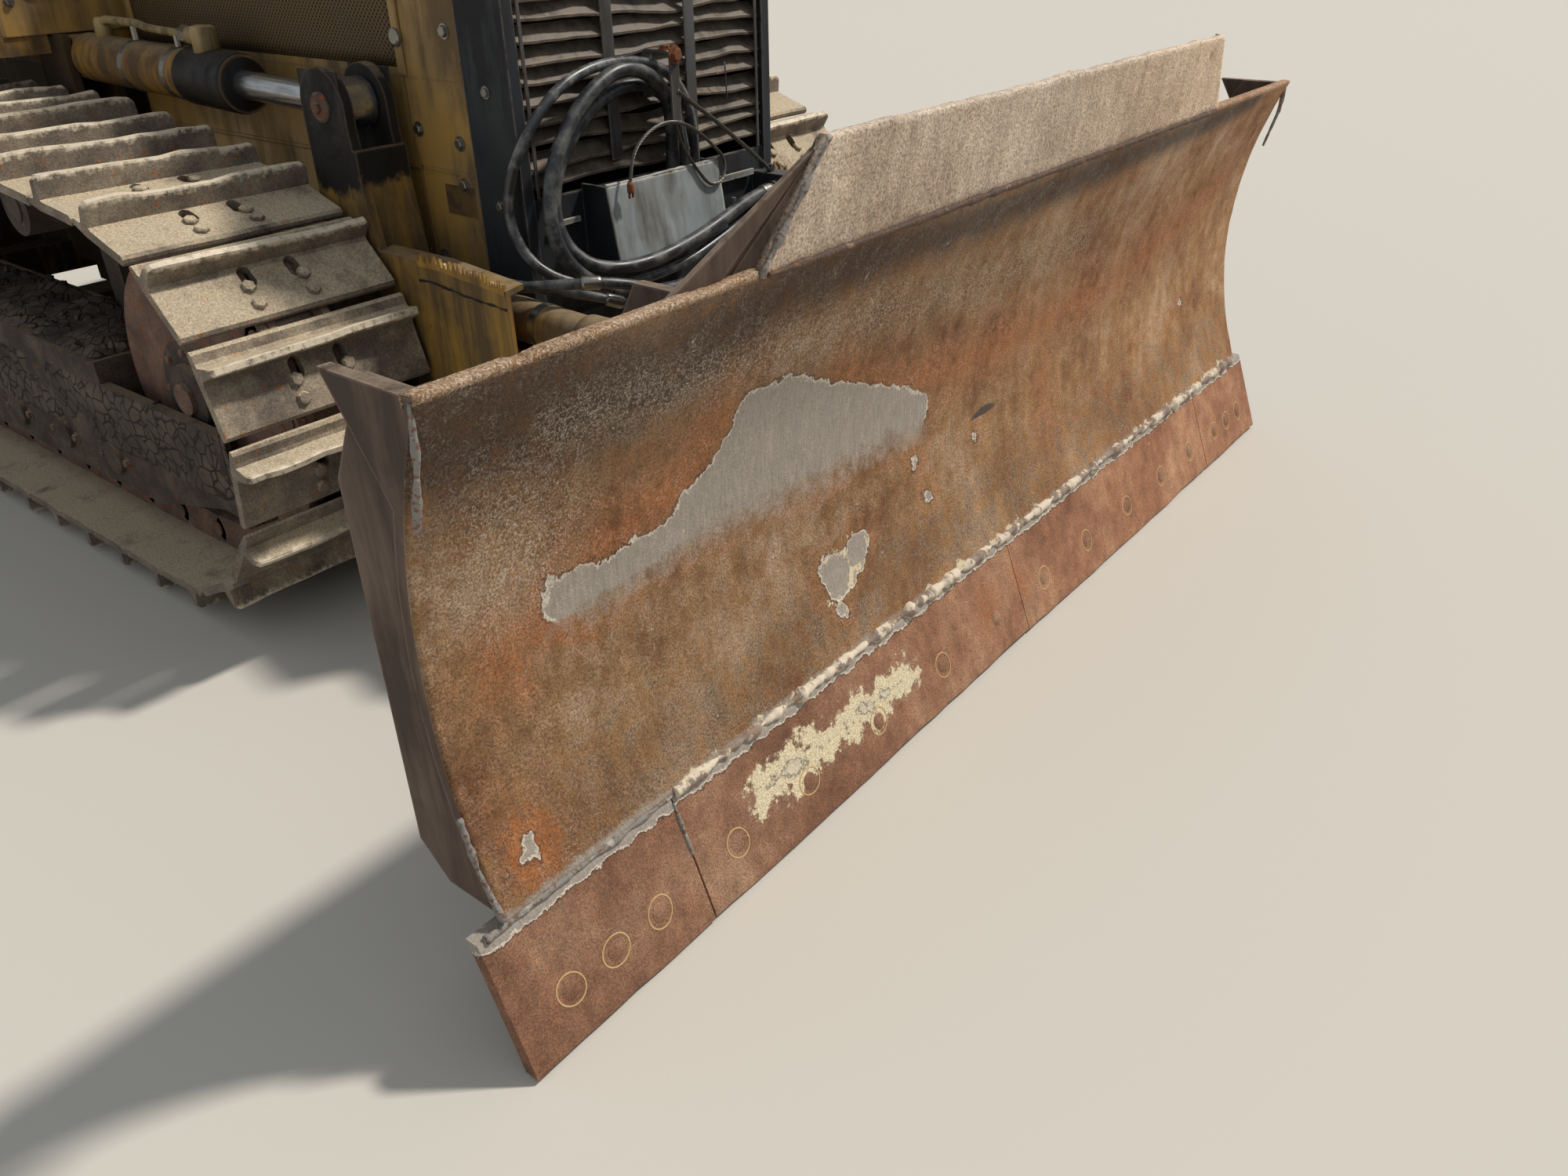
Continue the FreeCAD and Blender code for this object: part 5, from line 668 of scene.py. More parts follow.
crust = depth_in(ey, ez, [(-1.01, .15), (-.93, .175), (-.78, .155), (-.60, .165), (-.47, .15), (-.45, .105),
                          (-.60, .085), (-.75, .105), (-.90, .095), (-1.0, .10)])
spots = np.minimum(np.hypot(ey + .15, (ez - .125) * 0.8), np.hypot(ey - .02, ez - .13))
put(
    "cutting_edge_strips", edge_points, edge_faces, ground_edge_steel, "blade", "edge_steel",
    smooth=False, replaced=("cutting_edges",), ends=edge_caps,
    cream=np.clip(0.62 + (crust - 0.004) / 0.07, 0, 1), crisp=np.ones(len(ey)),
    peel=np.maximum(np.clip(0.30 + (crust - 0.020) / 0.10, 0, 0.6),
                    np.clip(0.95 - (edge_top[1] - ez) / 0.038, 0, 1)),
    rust=np.clip(np.maximum(0.5 + crust / 0.07, 1 - spots / 0.09), 0.12, 1),
    dark=np.clip(0.35 - (ez - 0.0) / 0.05, 0, 1),
    pale=np.clip(1 - (edge_top[1] - ez) / 0.012, 0, 1) * (ey > -1.15) + np.clip(0.5 + crust / 0.05, 0, 1),
    tan=np.clip((ey + 1.0) / 2.2, 0, 0.8))


def bead(line, radius, side, seed, around=9, rough=0.45):
    """A weld or crust: a tube along a line whose radius swells and shrinks at random."""
    line = evenly(np.asarray(line, float), 0.006)
    run = np.arange(len(line)) * 0.006
    swell = radius * (1 + rough * lumps(run, 0 * run, 0.03, seed, 3))
    return tube_along(line, swell, side, around)


# Welds: grey beads that join the plates, chalky with dried soil where it packs
def weld_metal(name, code, dry_code, rust_code, dry):
    """A weld bead: rippled steel with dried soil and rust in patches."""
    material, tree, shader, place = new_material(name)
    patch = add(tree, "TexNoise", {"Vector": place, "Scale": 14.0, "Detail": 8.0, "Roughness": 0.7})
    small = add(tree, "TexNoise", {"Vector": place, "Scale": 130.0, "Detail": 4.0})
    soil = add(tree, "MapRange", {0: patch, 1: 0.62 - dry * 0.25, 2: 0.66 - dry * 0.25})
    rust_at = add(tree, "MapRange", {0: small, 1: 0.52, 2: 0.62})
    coat = add(tree, "Mix", {0: rust_at, 6: code, 7: rust_code}, data_type="RGBA")
    coat = add(tree, "Mix", {0: soil, 6: coat, 7: dry_code}, data_type="RGBA")
    bump = add(tree, "Bump", {"Strength": 0.7, "Distance": 0.002, "Height": small})
    fill(shader, {"Base Color": coat, "Normal": bump, "Roughness": 0.78})
    return material


chalky_weld = weld_metal("soil_caked_weld", "#8D7F74", "#D6C8B2", "#94694A", 0.55)
grey_weld = weld_metal("grey_flaking_weld", "#85807A", "#B5ADA0", "#6E5140", 0.15)
seam_x = 2.4065
seam = [bead([(seam_x, -1.17 + 2.70 * k, seam_z + 0.003) for k in np.linspace(0, 1, 5)], 0.0108,
             (0, 0, 1), 81, rough=0.6)]
put("seam_crust", *together(seam), chalky_weld, "blade", "blade_steel", merge=1e-5)
crown_end_line = np.stack([crown_profile[:24, 0] + 0.001, right_end[:24] - 0.002,
                           crown_profile[:24, 1] + 0.004], axis=1)
grey_beads = [
    bead([(seam_x, -1.585, seam_z + 0.001), (seam_x, -1.17, seam_z + 0.001)], 0.0055, (0, 0, 1), 82),
    bead(crown_end_line, 0.0058, (1, 0, 0), 83, rough=0.6),
    bead([(2.4505, -1.180, 0.125), (2.4125, -1.180, 0.226)], 0.003, (1, 0, 0), 84),
    bead([(2.4118, -1.546, 1.075), (2.405, -1.5465, 1.0), (2.378, -1.5465, 0.90)], 0.0045, (0, 1, 0), 85),
    bead([(2.409, -1.55, 0.25), (2.372, -1.552, 0.33), (2.35, -1.552, 0.42)], 0.006, (0, 1, 0), 86),
    bead([(2.4118, 1.546, 1.075), (2.405, 1.5465, 1.0), (2.378, 1.5465, 0.90)], 0.0045, (0, 1, 0), 87),
]
put("plate_welds", *together(grey_beads), grey_weld, "blade", "blade_steel", merge=1e-5)
# The raised plate's foot weld is dark for grime, and for painted shade of the crease it lies in.
crease_shade_weld = weld_metal("grime_and_crease_shade_weld", "#4B3A2E", "#8D765F", "#6E4A30", 0.1)
put("raised_plate_weld", *bead([(2.4268, -0.905 + 1.85 * k, rim_z - 0.004) for k in (0, 0.5, 1)], 0.0058,
                               (0, 0, 1), 88, rough=0.3), crease_shade_weld, "blade", "blade_steel", merge=1e-5)

# Bolts: the flush heads of plough bolts in the edges, each ringed with chalk
# by whoever last measured the wear. A ring is a thin band lying on the strip.
tilt = np.array([edge_tip[0] - edge_top[0], 0, edge_tip[1] - edge_top[1]])
tilt = tilt / np.linalg.norm(tilt)
outward = np.array([-tilt[2], 0, tilt[0]])


def on_edge(y_at, z_at, ring, lift):
    """Rings of points on the strip's front face round (y, z), lifted off it."""
    x_at = edge_top[0] + (edge_top[1] - z_at) * (edge_tip[0] - edge_top[0]) / (edge_top[1] - edge_tip[1])
    middle = np.array([x_at, y_at, z_at]) + lift * outward
    return middle + ring[..., :1] * np.array([0.0, 1.0, 0.0]) + ring[..., 1:] * tilt


bolt_spots = [
    (y_at, 0.088 if abs(y_at) < 1.2 else 0.086) for y_at in
    (-1.49, -1.39, -1.285, -1.077, -0.86, -0.62, -0.364, -0.12, 0.12, 0.364, 0.62, 0.86, 1.077, 1.285,
     1.39, 1.49)]
heads, chalk = [], []
for number, (y_at, z_at) in enumerate(bolt_spots):
    rings_of = [circle(r, 20) for r in (0.0001, 0.0165, 0.0175, 0.0175)]
    levels = (0.0008, 0.0008, 0.0, -0.002)
    heads.append((np.stack([on_edge(y_at, z_at, ring, lift) for ring, lift in zip(rings_of, levels)]),
                  grid_faces(4, 20, wrap=True)))
    wavy = 1 + 0.05 * np.sin(np.arange(40) * 0.31 + number * 2.0)[:, None]
    band = np.stack([on_edge(y_at, z_at, circle(r, 40) * wavy, lift)
                     for r, lift in ((0.0262, 0.0002), (0.0268, 0.0007), (0.0288, 0.0007), (0.0294, 0.0002))])
    if abs(y_at) > 0.3 or y_at > 0:
        chalk.append((np.concatenate([band, band[:1]]), grid_faces(5, 40, wrap=True)))
put("plough_bolt_heads", *together(heads), ground_edge_steel, "blade", "edge_steel", merge=3e-4)
chalk_line, tree, shader, place = new_material("yellow_wax_chalk")
powder = add(tree, "TexNoise", {"Vector": place, "Scale": 240.0, "Detail": 3.0})
mark = add(tree, "Mix", {0: powder, 6: "#D8BC86", 7: "#B08A60"}, data_type="RGBA")
fill(shader, {
    "Base Color": mark, "Normal": add(tree, "Bump", {"Distance": 0.0004, "Height": powder}),
    "Roughness": 0.95})
put("chalk_rings", *together(chalk), chalk_line, "blade", "edge_steel", merge=1e-6)

# Tracks: forged link rails joined by pins and bushings, and on each link a
# rolled shoe with one tall grouser, bolted by four bolts. Soil and stones have
# ground the paint off; dried clay stays on the pads and light rust in the pits.
links, track_middle, shoe_half = 40, 0.925, 0.265
pin_in, idler_turn = 0.045, 0.405
carriers = [  # x, z and pin-line radius of each round thing that carries the chain
    (-1.540, 0.530 - 0.405 + 0.145, 0.145), (0.250, 0.530 - 0.405 + 0.145, 0.145), (0.700, 0.530, 0.405),
    (-0.060, 1.010 - 0.120, 0.120), (-1.150, 1.010 - 0.120, 0.120), (-1.900, 0.600, 0.400)]


def pins_round(circles, count):
    """Pins evenly spaced along the line drawn tight round circles: straight tangents between
    neighbours and arcs on them, walked once round by its length."""
    centres, radii = np.array([c[:2] for c in circles]), np.array([c[2] for c in circles])
    span = np.roll(centres, -1, axis=0) - centres
    reach = np.linalg.norm(span, axis=1)
    turn = (np.arctan2(span[:, 1], span[:, 0]) - np.pi / 2
            + np.arcsin((radii - np.roll(radii, -1)) / reach))
    away = np.stack([np.cos(turn), np.sin(turn)], axis=1)
    leave, arrive = centres + away * radii[:,
                                           None], np.roll(centres, -1,
                                                          axis=0) + away * np.roll(radii, -1)[:, None]
    walk = []
    for number in range(len(circles)):
        following = (number + 1) % len(circles)
        walk.append(np.linspace(leave[number], arrive[number], 40, endpoint=False))
        start, sweep = turn[number], (turn[following] - turn[number]) % (2 * np.pi)
        ray = start + np.linspace(0, sweep, 60, endpoint=False)
        walk.append(centres[following] + radii[following] * np.stack([np.cos(ray), np.sin(ray)], axis=1))
    walk = np.concatenate(walk + [walk[0][:1]])
    run = np.concatenate([[0], np.cumsum(np.linalg.norm(np.diff(walk, axis=0), axis=1))])
    spots = np.linspace(0, run[-1], count, endpoint=False)
    return np.stack([np.interp(spots, run, walk[:, 0]), np.interp(spots, run, walk[:, 1])],
                    axis=1), run[-1] / count


for attempt in range(12):
    pins, pitch = pins_round(carriers, links)
    carriers[-1] = (*carriers[-1][:2], 13 * pitch / (2 * np.pi))
steps = np.roll(pins, -1, axis=0) - pins
steps /= np.linalg.norm(steps, axis=1, keepdims=True)
outs = np.stack([steps[:, 1], -steps[:, 0]], axis=1)


def set_on_links(points):
    """A link's piece on every link: its first number runs along the link, its second across the
    track, and its third away from the loop's inside."""
    points = np.broadcast_to(points, (links, *points.shape[-2:])) if points.ndim == 2 else points
    flat = pins[:, None] + points[..., :1] * steps[:, None] + points[..., 2:] * outs[:, None]
    return np.stack([flat[..., 0], points[..., 1] + track_middle, flat[..., 1]], axis=-1)


def copies(points, faces):
    """The faces for as many copies of a piece as there are point sets."""
    count, each = points.shape[:2]
    faces = np.asarray(faces)
    return (faces[None] + each * np.arange(count)[:, None, None]).reshape(-1, faces.shape[1])


def bored(points, faces, ends, cutter_points, cutter_faces, cutter_ends):
    """One solid less another, as points and triangles: Blender's exact Boolean on two short-lived
    objects."""
    halves = []
    for label, p, f, e in (("solid", points, faces, ends),
                           ("cutter", cutter_points, cutter_faces, cutter_ends)):
        mesh = bpy.data.meshes.new(label)
        mesh.from_pydata(np.reshape(p, (-1, 3)).tolist(), [], [*np.asarray(f).tolist(), *e])
        shell = bmesh.new()
        shell.from_mesh(mesh)
        bmesh.ops.recalc_face_normals(shell, faces=shell.faces)
        shell.to_mesh(mesh)
        shell.free()
        halves.append(bpy.data.objects.new(label, mesh))
        bpy.context.scene.collection.objects.link(halves[-1])
    cut = halves[0].modifiers.new("cut", "BOOLEAN")
    cut.operation, cut.object, cut.solver = "DIFFERENCE", halves[1], "EXACT"
    result = bpy.data.meshes.new_from_object(halves[0].evaluated_get(bpy.context.evaluated_depsgraph_get()))
    shell = bmesh.new()
    shell.from_mesh(result)
    bmesh.ops.triangulate(shell, faces=shell.faces)
    out_points = np.array([v.co for v in shell.verts])
    out_faces = np.array([[v.index for v in f.verts] for f in shell.faces])
    shell.free()
    for half in halves:
        mesh = half.data
        bpy.data.objects.remove(half)
        bpy.data.meshes.remove(mesh)
    bpy.data.meshes.remove(result)
    return out_points, out_faces


def prism(outline, low, high, axis=1):
    """A flat outline given a thickness along an axis: points, side faces and the two flat ends."""
    outline = np.asarray(outline, float)
    ends = []
    for level in (low, high):
        ends.append(np.insert(outline, axis, level, axis=1))
    count = len(outline)
    return (np.concatenate(ends), grid_faces(2, count, wrap=True),
            [list(range(count)), list(range(count, 2 * count))])


shoe_outline = np.array([
    (0.010, 0.044), (0.006, 0.052), (0.007, 0.060), (0.014, 0.066), (0.070, 0.066), (0.130, 0.066),
    (0.139, 0.070), (0.1455, 0.119), (0.1485, 0.1245), (0.1610, 0.1245), (0.1640, 0.119),
    (0.1685, 0.070), (0.177, 0.066), (0.196, 0.0655), (0.203, 0.060), (0.2045, 0.054), (0.200, 0.051),
    (0.186, 0.049), (0.150, 0.044), (0.080, 0.044)])
slices = np.array([-1.0, -0.992, -0.96, -0.85, -0.70, -0.5, -0.3, -0.1, 0.1, 0.3, 0.5, 0.70, 0.85, 0.96,
                   0.992, 1.0])
along_shoe = np.stack([
    np.broadcast_to(shoe_outline[:, 0], (16, 20)), np.broadcast_to(slices[:, None] * shoe_half, (16, 20)),
    np.broadcast_to(shoe_outline[:, 1], (16, 20))], axis=-1).copy()
end_in = np.clip((np.abs(slices) - 0.95) / 0.05, 0, 1)[:, None] ** 2
tall = np.clip((along_shoe[..., 2] - 0.066) / 0.06, 0, 1)
along_shoe[..., 2] -= tall * end_in * 0.012
shoe_ends = [list(range(20)), list(range(15 * 20, 16 * 20))]
holes = []
for side in (-1, 1):
    oval = circle(0.0165, 16)
    oval[:, 0] += np.where(oval[:, 0] > 0, 0.010, -0.010)
    holes.append(prism(np.stack([oval[:, 0] + 0.112, oval[:, 1] + side * 0.057], axis=1), 0.02, 0.10, axis=2))
hole_points, hole_faces = together([(p, f) for p, f, e in holes])
hole_ends = [[v + number * 32 for v in end] for number, (p, f, ends) in enumerate(holes) for end in ends]
shoe_points, shoe_faces = bored(
    along_shoe, grid_faces(16, 20, wrap=True), shoe_ends, hole_points, hole_faces, hole_ends)
chance = np.random.default_rng(5)
shoe_set = np.repeat(shoe_points[None], links, axis=0)
tallness = np.clip((shoe_set[..., 2] - 0.067) / 0.057, 0, 1)
across_shoe = shoe_set[..., 1]
row = np.arange(links)[:, None] * 0.9
shoe_set[..., 2] -= tallness * (0.004 + 0.004 * lumps(across_shoe, row + 0 * across_shoe, 0.09, 91, 3)
                                + 0.004 * chance.random((links, 1)))
shoe_set[..., 0] += tallness * 0.003 * lumps(across_shoe, row + 5 + 0 * across_shoe, 0.12, 93, 2)
shoe_set[..., 2] += 0.0012 * lumps(across_shoe, row + shoe_set[..., 0], 0.06, 95, 2)

# Bolt heads: hexagons worn round, 19 mm, four on each shoe
hexagon = np.stack([circle(r, 6) for r in (0.0165, 0.0165, 0.013, 0.0002)])
bolt = np.stack([np.concatenate([ring, np.full((6, 1), level)], axis=1)
                 for ring, level in zip(hexagon, (0.060, 0.072, 0.0755, 0.0758))])
bolt_at = [(s_at, y_at) for s_at in (0.045, 0.088) for y_at in (-0.067, 0.067)]
bolt_points = np.concatenate([bolt.reshape(-1, 3) + (s_at, y_at, 0) for s_at, y_at in bolt_at])
bolt_faces = np.concatenate([grid_faces(4, 6, wrap=True, first=24 * k) for k in range(4)])

# Link rails: an eye at each end round the pin, the web between pinched, the
# running face flat; bushings and pins pass through both rails
rail_line = np.array([
    (-0.036, 0.0), (-0.030, -0.024), (-0.012, -0.043), (0.030, -0.045), (0.160, -0.045),
    (0.205, -0.043), (0.223, -0.024), (0.229, 0.0), (0.222, 0.024), (0.205, 0.036), (0.170, 0.043),
    (0.020, 0.043), (-0.012, 0.036), (-0.030, 0.024)])
front_half = rail_line[:, :1] > 0.1
outer_line = rail_line + np.where(front_half, 0.0, 0.034) * (1, 0)
inner_line = rail_line - np.where(front_half, 0.034, 0.0) * (1, 0)
rails = [prism(line, low, high) for line, low, high in (
    (outer_line, -0.088, -0.068), (inner_line, -0.066, -0.046),
    (inner_line, 0.046, 0.066), (outer_line, 0.068, 0.088))]
rods = [prism(circle(radius, 12), -reach, reach) for radius, reach in ((0.033, 0.047), (0.022, 0.092))]
link_solids = rails + rods
link_points, link_faces = together([(p, f) for p, f, e in link_solids])
offsets = np.cumsum([0] + [len(p) for p, f, e in link_solids])
link_caps = [[v + start for v in end] for start, (p, f, ends) in zip(offsets, link_solids) for end in ends]


def worn_steel(name, deep, middle, light, dust, rust, bright, dusty=0.6, rusty=0.4):
    """Soil-worn castings: dark steel in clouds, rust specks in the pits, dried clay on faces that
    look up, and by the field `rubbed` the bright worn crests. Clay cracks are a fine bump."""
    material, tree, shader, place = new_material(name)
    cloud = add(tree, "TexNoise", {"Vector": place, "Scale": 9.0, "Detail": 8.0, "Roughness": 0.66})
    grit = add(tree, "TexNoise", {"Vector": place, "Scale": 210.0, "Detail": 3.0, "Roughness": 0.75})
    speck = add(tree, "TexNoise", {"Vector": place, "Scale": 46.0, "Detail": 6.0, "Roughness": 0.7})
    ramp = add(tree, "ValToRGB", {0: add(tree, "MapRange", {0: cloud, 1: 0.3, 2: 0.7})})
    ramp.color_ramp.elements[0].color = paint(deep)
    ramp.color_ramp.elements[1].color = paint(light)
    ramp.color_ramp.elements.new(0.5).color = paint(middle)
    rust_at = add(tree, "MapRange", {0: speck, 1: 0.70 - 0.2 * rusty, 2: 0.76 - 0.2 * rusty})
    coat = add(tree, "Mix", {0: rust_at, 6: ramp, 7: rust}, data_type="RGBA")
    normal = add(tree, "SeparateXYZ", {0: add(tree, "NewGeometry").outputs["Normal"]})
    level = add(tree, "MapRange", {0: normal.outputs["Z"], 1: -0.1, 2: 0.9, 3: 0.15, 4: 1.0})
    clay = add(tree, "Math", {0: level, 1: cloud}, operation="MULTIPLY")
    clay = add(tree, "MapRange", {0: clay, 1: 0.52 - 0.4 * dusty, 2: 0.66 - 0.3 * dusty, 3: 0.0, 4: 0.9})
    coat = add(tree, "Mix", {0: clay, 6: coat, 7: dust}, data_type="RGBA")
    pepper = add(tree, "MapRange", {0: grit, 1: 0.36, 2: 0.64, 3: 0.66, 4: 1.30})
    coat = add(tree, "Mix", {0: add(tree, "MapRange", {0: speck, 1: 0.56, 2: 0.64, 3: 0.0, 4: 0.5 * rusty}),
                             6: coat, 7: rust}, data_type="RGBA")
    coat = add(tree, "VectorMath", {0: coat, 1: pepper}, operation="MULTIPLY")
    rubbed = add(tree, "Attribute", attribute_name="rubbed").outputs["Fac"]
    rubbed = add(tree, "Math", {0: rubbed, 1: speck}, operation="MULTIPLY")
    rubbed = add(tree, "MapRange", {0: rubbed, 1: 0.36, 2: 0.50})
    coat = add(tree, "Mix", {0: rubbed, 6: coat, 7: bright}, data_type="RGBA")
    height = add(tree, "Math", {0: grit, 1: speck}, operation="ADD")
    bump = add(tree, "Bump", {"Strength": 0.6, "Distance": 0.002, "Height": height})
    rough = add(tree, "MapRange", {0: rubbed, 1: 0.0, 2: 1.0, 3: 0.86, 4: 0.45})
    fill(shader, {"Base Color": coat, "Roughness": rough, "Normal": bump})
    return material


clay_worn_steel = worn_steel(
    "clay_dusted_shoe_steel", "#5A5049", "#7E7264", "#A39580", "#C2B195", "#A4662F", "#DCCDB4", 0.75, 0.45)
link_steel = worn_steel(
    "rusty_link_forging", "#4A3A31", "#6B5447", "#8A6C58", "#A3937C", "#8A4C28", "#B9AA98", 0.5, 0.7)
for side, sign in (("left", 1), ("right", -1)):
    shoes = set_on_links(shoe_set) * (1, sign, 1)
    bolts = set_on_links(bolt_points) * (1, sign, 1)
    put("track_shoes_" + side, shoes, copies(shoes, shoe_faces), clay_worn_steel, "root", "track_steel",
        smooth=False,
        replaced=("track_" + side,), rubbed=np.clip((tallness - 0.55) * 2.4, 0, 1))
    put("shoe_bolts_" + side, bolts, copies(bolts, bolt_faces), clay_worn_steel, "root", "track_steel",
        smooth=False, merge=3e-4)
    chain = set_on_links(link_points) * (1, sign, 1)
    caps = [[v + k * len(link_points) for v in end] for k in range(links) for end in link_caps]
    put("track_links_" + side, chain, copies(chain, link_faces), link_steel, "root", "track_steel",
        smooth=False, ends=caps)

# Sheet steel and castings in old machine enamel: the coat is sprayed, sun has
# dulled it, soil rubs it off the edges and rust creeps from every chip.
def old_enamel(name, coat_code, faded_code, grime_code, bare_code, rust_code, dust_code,
               chipped=0.4, grimy=0.5, dusty=0.4, shine=0.42, edge=0.007, greased=None):
    """Old enamel: faded in clouds, grime in upright runs, chips and rubbed edges down to primer
    and rust, dust on what looks up, and a fine orange-peel bump. The edge wear comes from a bevel's
    turned normal against the face's own. Where greased names a pin's x, its z and a reach, black
    grease has spread round that pin."""
    material, tree, shader, place = new_material(name)
    cloud = add(tree, "TexNoise", {"Vector": place, "Scale": 2.6, "Detail": 6.0, "Roughness": 0.6})
    small = add(tree, "TexNoise", {"Vector": place, "Scale": 26.0, "Detail": 8.0, "Roughness": 0.72})
    runs = add(tree, "TexNoise", {
        "Vector": add(tree, "Mapping", {"Vector": place, "Scale": (1.0, 1.0, 0.14)}),
        "Scale": 17.0, "Detail": 5.0, "Roughness": 0.62})
    peel = add(tree, "TexNoise", {"Vector": place, "Scale": 420.0, "Detail": 1.0})
    faded = add(tree, "MapRange", {0: cloud, 1: 0.38, 2: 0.62})
    coat = add(tree, "Mix", {0: faded, 6: coat_code, 7: faded_code}, data_type="RGBA")
    grime = add(tree, "Math", {0: runs, 1: cloud}, operation="ADD")
    grime = add(tree, "MapRange", {0: grime, 1: 1.10 - 0.35 * grimy, 2: 1.36 - 0.35 * grimy, 3: 0.0, 4: 0.88})
    coat = add(tree, "Mix", {0: grime, 6: coat, 7: grime_code}, data_type="RGBA")
    if greased:
        flat = add(tree, "VectorMath", {0: place, 1: (1.0, 0.0, 1.0)}, operation="MULTIPLY")
        far = add(tree, "VectorMath", {0: flat, 1: (greased[0], 0.0, greased[1])}, operation="DISTANCE")
        far = add(tree, "Math", {0: small, 1: -0.10, 2: far.outputs["Value"]}, operation="MULTIPLY_ADD")
        black = add(tree, "MapRange", {0: far, 1: greased[2] - 0.05, 2: greased[2] - 0.07})
        coat = add(tree, "Mix", {0: black, 6: coat, 7: "#17130F"}, data_type="RGBA")
    geometry = add(tree, "NewGeometry")
    bevel = add(tree, "Bevel", {"Radius": edge}, samples=3)
    along_edge = add(tree, "VectorMath", {0: bevel, 1: geometry.outputs["Normal"]}, operation="DOT_PRODUCT")
    rubbed = add(tree, "MapRange", {0: along_edge.outputs["Value"], 1: 0.985, 2: 0.86, 3: 0.0, 4: 0.30})
    chips = add(tree, "Math", {0: small, 1: rubbed}, operation="ADD")
    rim = add(tree, "MapRange", {0: chips, 1: 0.78 - 0.22 * chipped, 2: 0.80 - 0.22 * chipped})
    core = add(tree, "MapRange", {0: chips, 1: 0.82 - 0.22 * chipped, 2: 0.84 - 0.22 * chipped})
    coat = add(tree, "Mix", {0: rim, 6: coat, 7: rust_code}, data_type="RGBA")
    coat = add(tree, "Mix", {0: core, 6: coat, 7: bare_code}, data_type="RGBA")
    upward = add(tree, "SeparateXYZ", {0: geometry.outputs["Normal"]})
    level = add(tree, "MapRange", {0: upward.outputs["Z"], 1: 0.3, 2: 0.95, 3: 0.1, 4: 1.0})
    settled = add(tree, "Math", {0: level, 1: small}, operation="MULTIPLY")
    settled = add(tree, "MapRange",
                  {0: settled, 1: 0.45 - 0.35 * dusty, 2: 0.75 - 0.3 * dusty, 3: 0.0, 4: 0.8})
    coat = add(tree, "Mix", {0: settled, 6: coat, 7: dust_code}, data_type="RGBA")
    worst = add(tree, "Math", {0: rim, 1: settled}, operation="MAXIMUM")
    worst = add(tree, "Math", {0: worst, 1: grime}, operation="MAXIMUM")
    rough = add(tree, "MapRange", {0: worst, 1: 0.0, 2: 1.0, 3: shine, 4: 0.85})
    height = add(tree, "Math", {0: peel, 1: 0.25}, operation="MULTIPLY")
    height = add(tree, "Math", {0: rim, 1: -1.0, 2: height}, operation="MULTIPLY_ADD")
    bump = add(tree, "Bump", {"Strength": 0.5, "Distance": 0.0008, "Height": height})
    fill(shader, {"Base Color": coat, "Roughness": rough, "Normal": bump})
    return material


def coat_nodes(material, *names):
    """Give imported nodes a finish."""
    for name in names:
        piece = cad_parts[name]
        if not piece.material_slots:
            piece.data.materials.append(material)
        for place in piece.material_slots:
            place.material = material


machine_yellow = old_enamel(
    "sun_dulled_yellow_enamel", "#A98544", "#9C8050", "#5F4C32", "#75604A", "#6E4527", "#A8926E",
    chipped=0.30, grimy=0.55, dusty=0.35)
frame_yellow = old_enamel(
    "soil_worn_yellow_enamel", "#A67A2C", "#8F6C34", "#4A3A26", "#6A5A4A", "#6B4022", "#8E7A5C",
    chipped=0.55, grimy=0.95, dusty=0.6, shine=0.5)
greasy_yellow = old_enamel(
    "greasy_yellow_enamel", "#9A742E", "#80602C", "#2B241B", "#54483C", "#4E3322", "#6E5E48",
    chipped=0.4, grimy=1.35, dusty=0.25, shine=0.3)
guard_black = old_enamel(
    "blue_black_guard_enamel", "#23272C", "#2E3338", "#1A1A1B", "#6E6A64", "#6B4632", "#6F6A60",
    chipped=0.28, grimy=0.5, dusty=0.2, shine=0.38)
cab_black = old_enamel(
    "satin_black_cab_enamel", "#24262A", "#303234", "#3A352D", "#56524C", "#5E4432", "#7D7566",
    chipped=0.22, grimy=0.4, dusty=0.4, shine=0.4)
coat_nodes(machine_yellow, "hood", "side_panels", "cab_roof", "cab_rear", "cab_front", "cab_side_left",
           "cab_side_right", "fuel_tank")
coat_nodes(frame_yellow, "blade_yoke", "drawbar", "deck", "angle_barrel_left",
           "angle_barrel_right", "tilt_barrel", "lift_barrel_left", "lift_barrel_right")
tower_yellow = old_enamel(
    "tower_greased_yellow_enamel", "#A88238", "#97783F", "#51402A", "#6A5A4A", "#7A4A22", "#8E7A5C",
    chipped=0.5, grimy=0.7, dusty=0.5, shine=0.45, greased=(0.900, 1.150, 0.190))
coat_nodes(tower_yellow, "c_frame")
coat_nodes(greasy_yellow, "main_frame")
coat_nodes(guard_black, "radiator_guard")
coat_nodes(cab_black, "door_left", "door_right", "handrails", "work_lamps", "control_console")
blade_back = old_enamel(
    "worn_blade_back_enamel", "#5C4A3E", "#6A5443", "#3C2E25", "#86766A", "#7A4A2A", "#94826C",
    chipped=0.5, grimy=0.7, dusty=0.3, shine=0.6)
coat_nodes(blade_back, "moldboard")

# Running gear: cast steel and plate that lives in soil
frame_soil = worn_steel(
    "soil_packed_frame_steel", "#2C2622", "#463B33", "#66584A", "#8A7861", "#7A4A2A", "#A08F7A", 0.62, 0.45)
coat_nodes(frame_soil, "track_frames", "track_rollers")
coat_nodes(link_steel, "sprockets", "front_idlers")

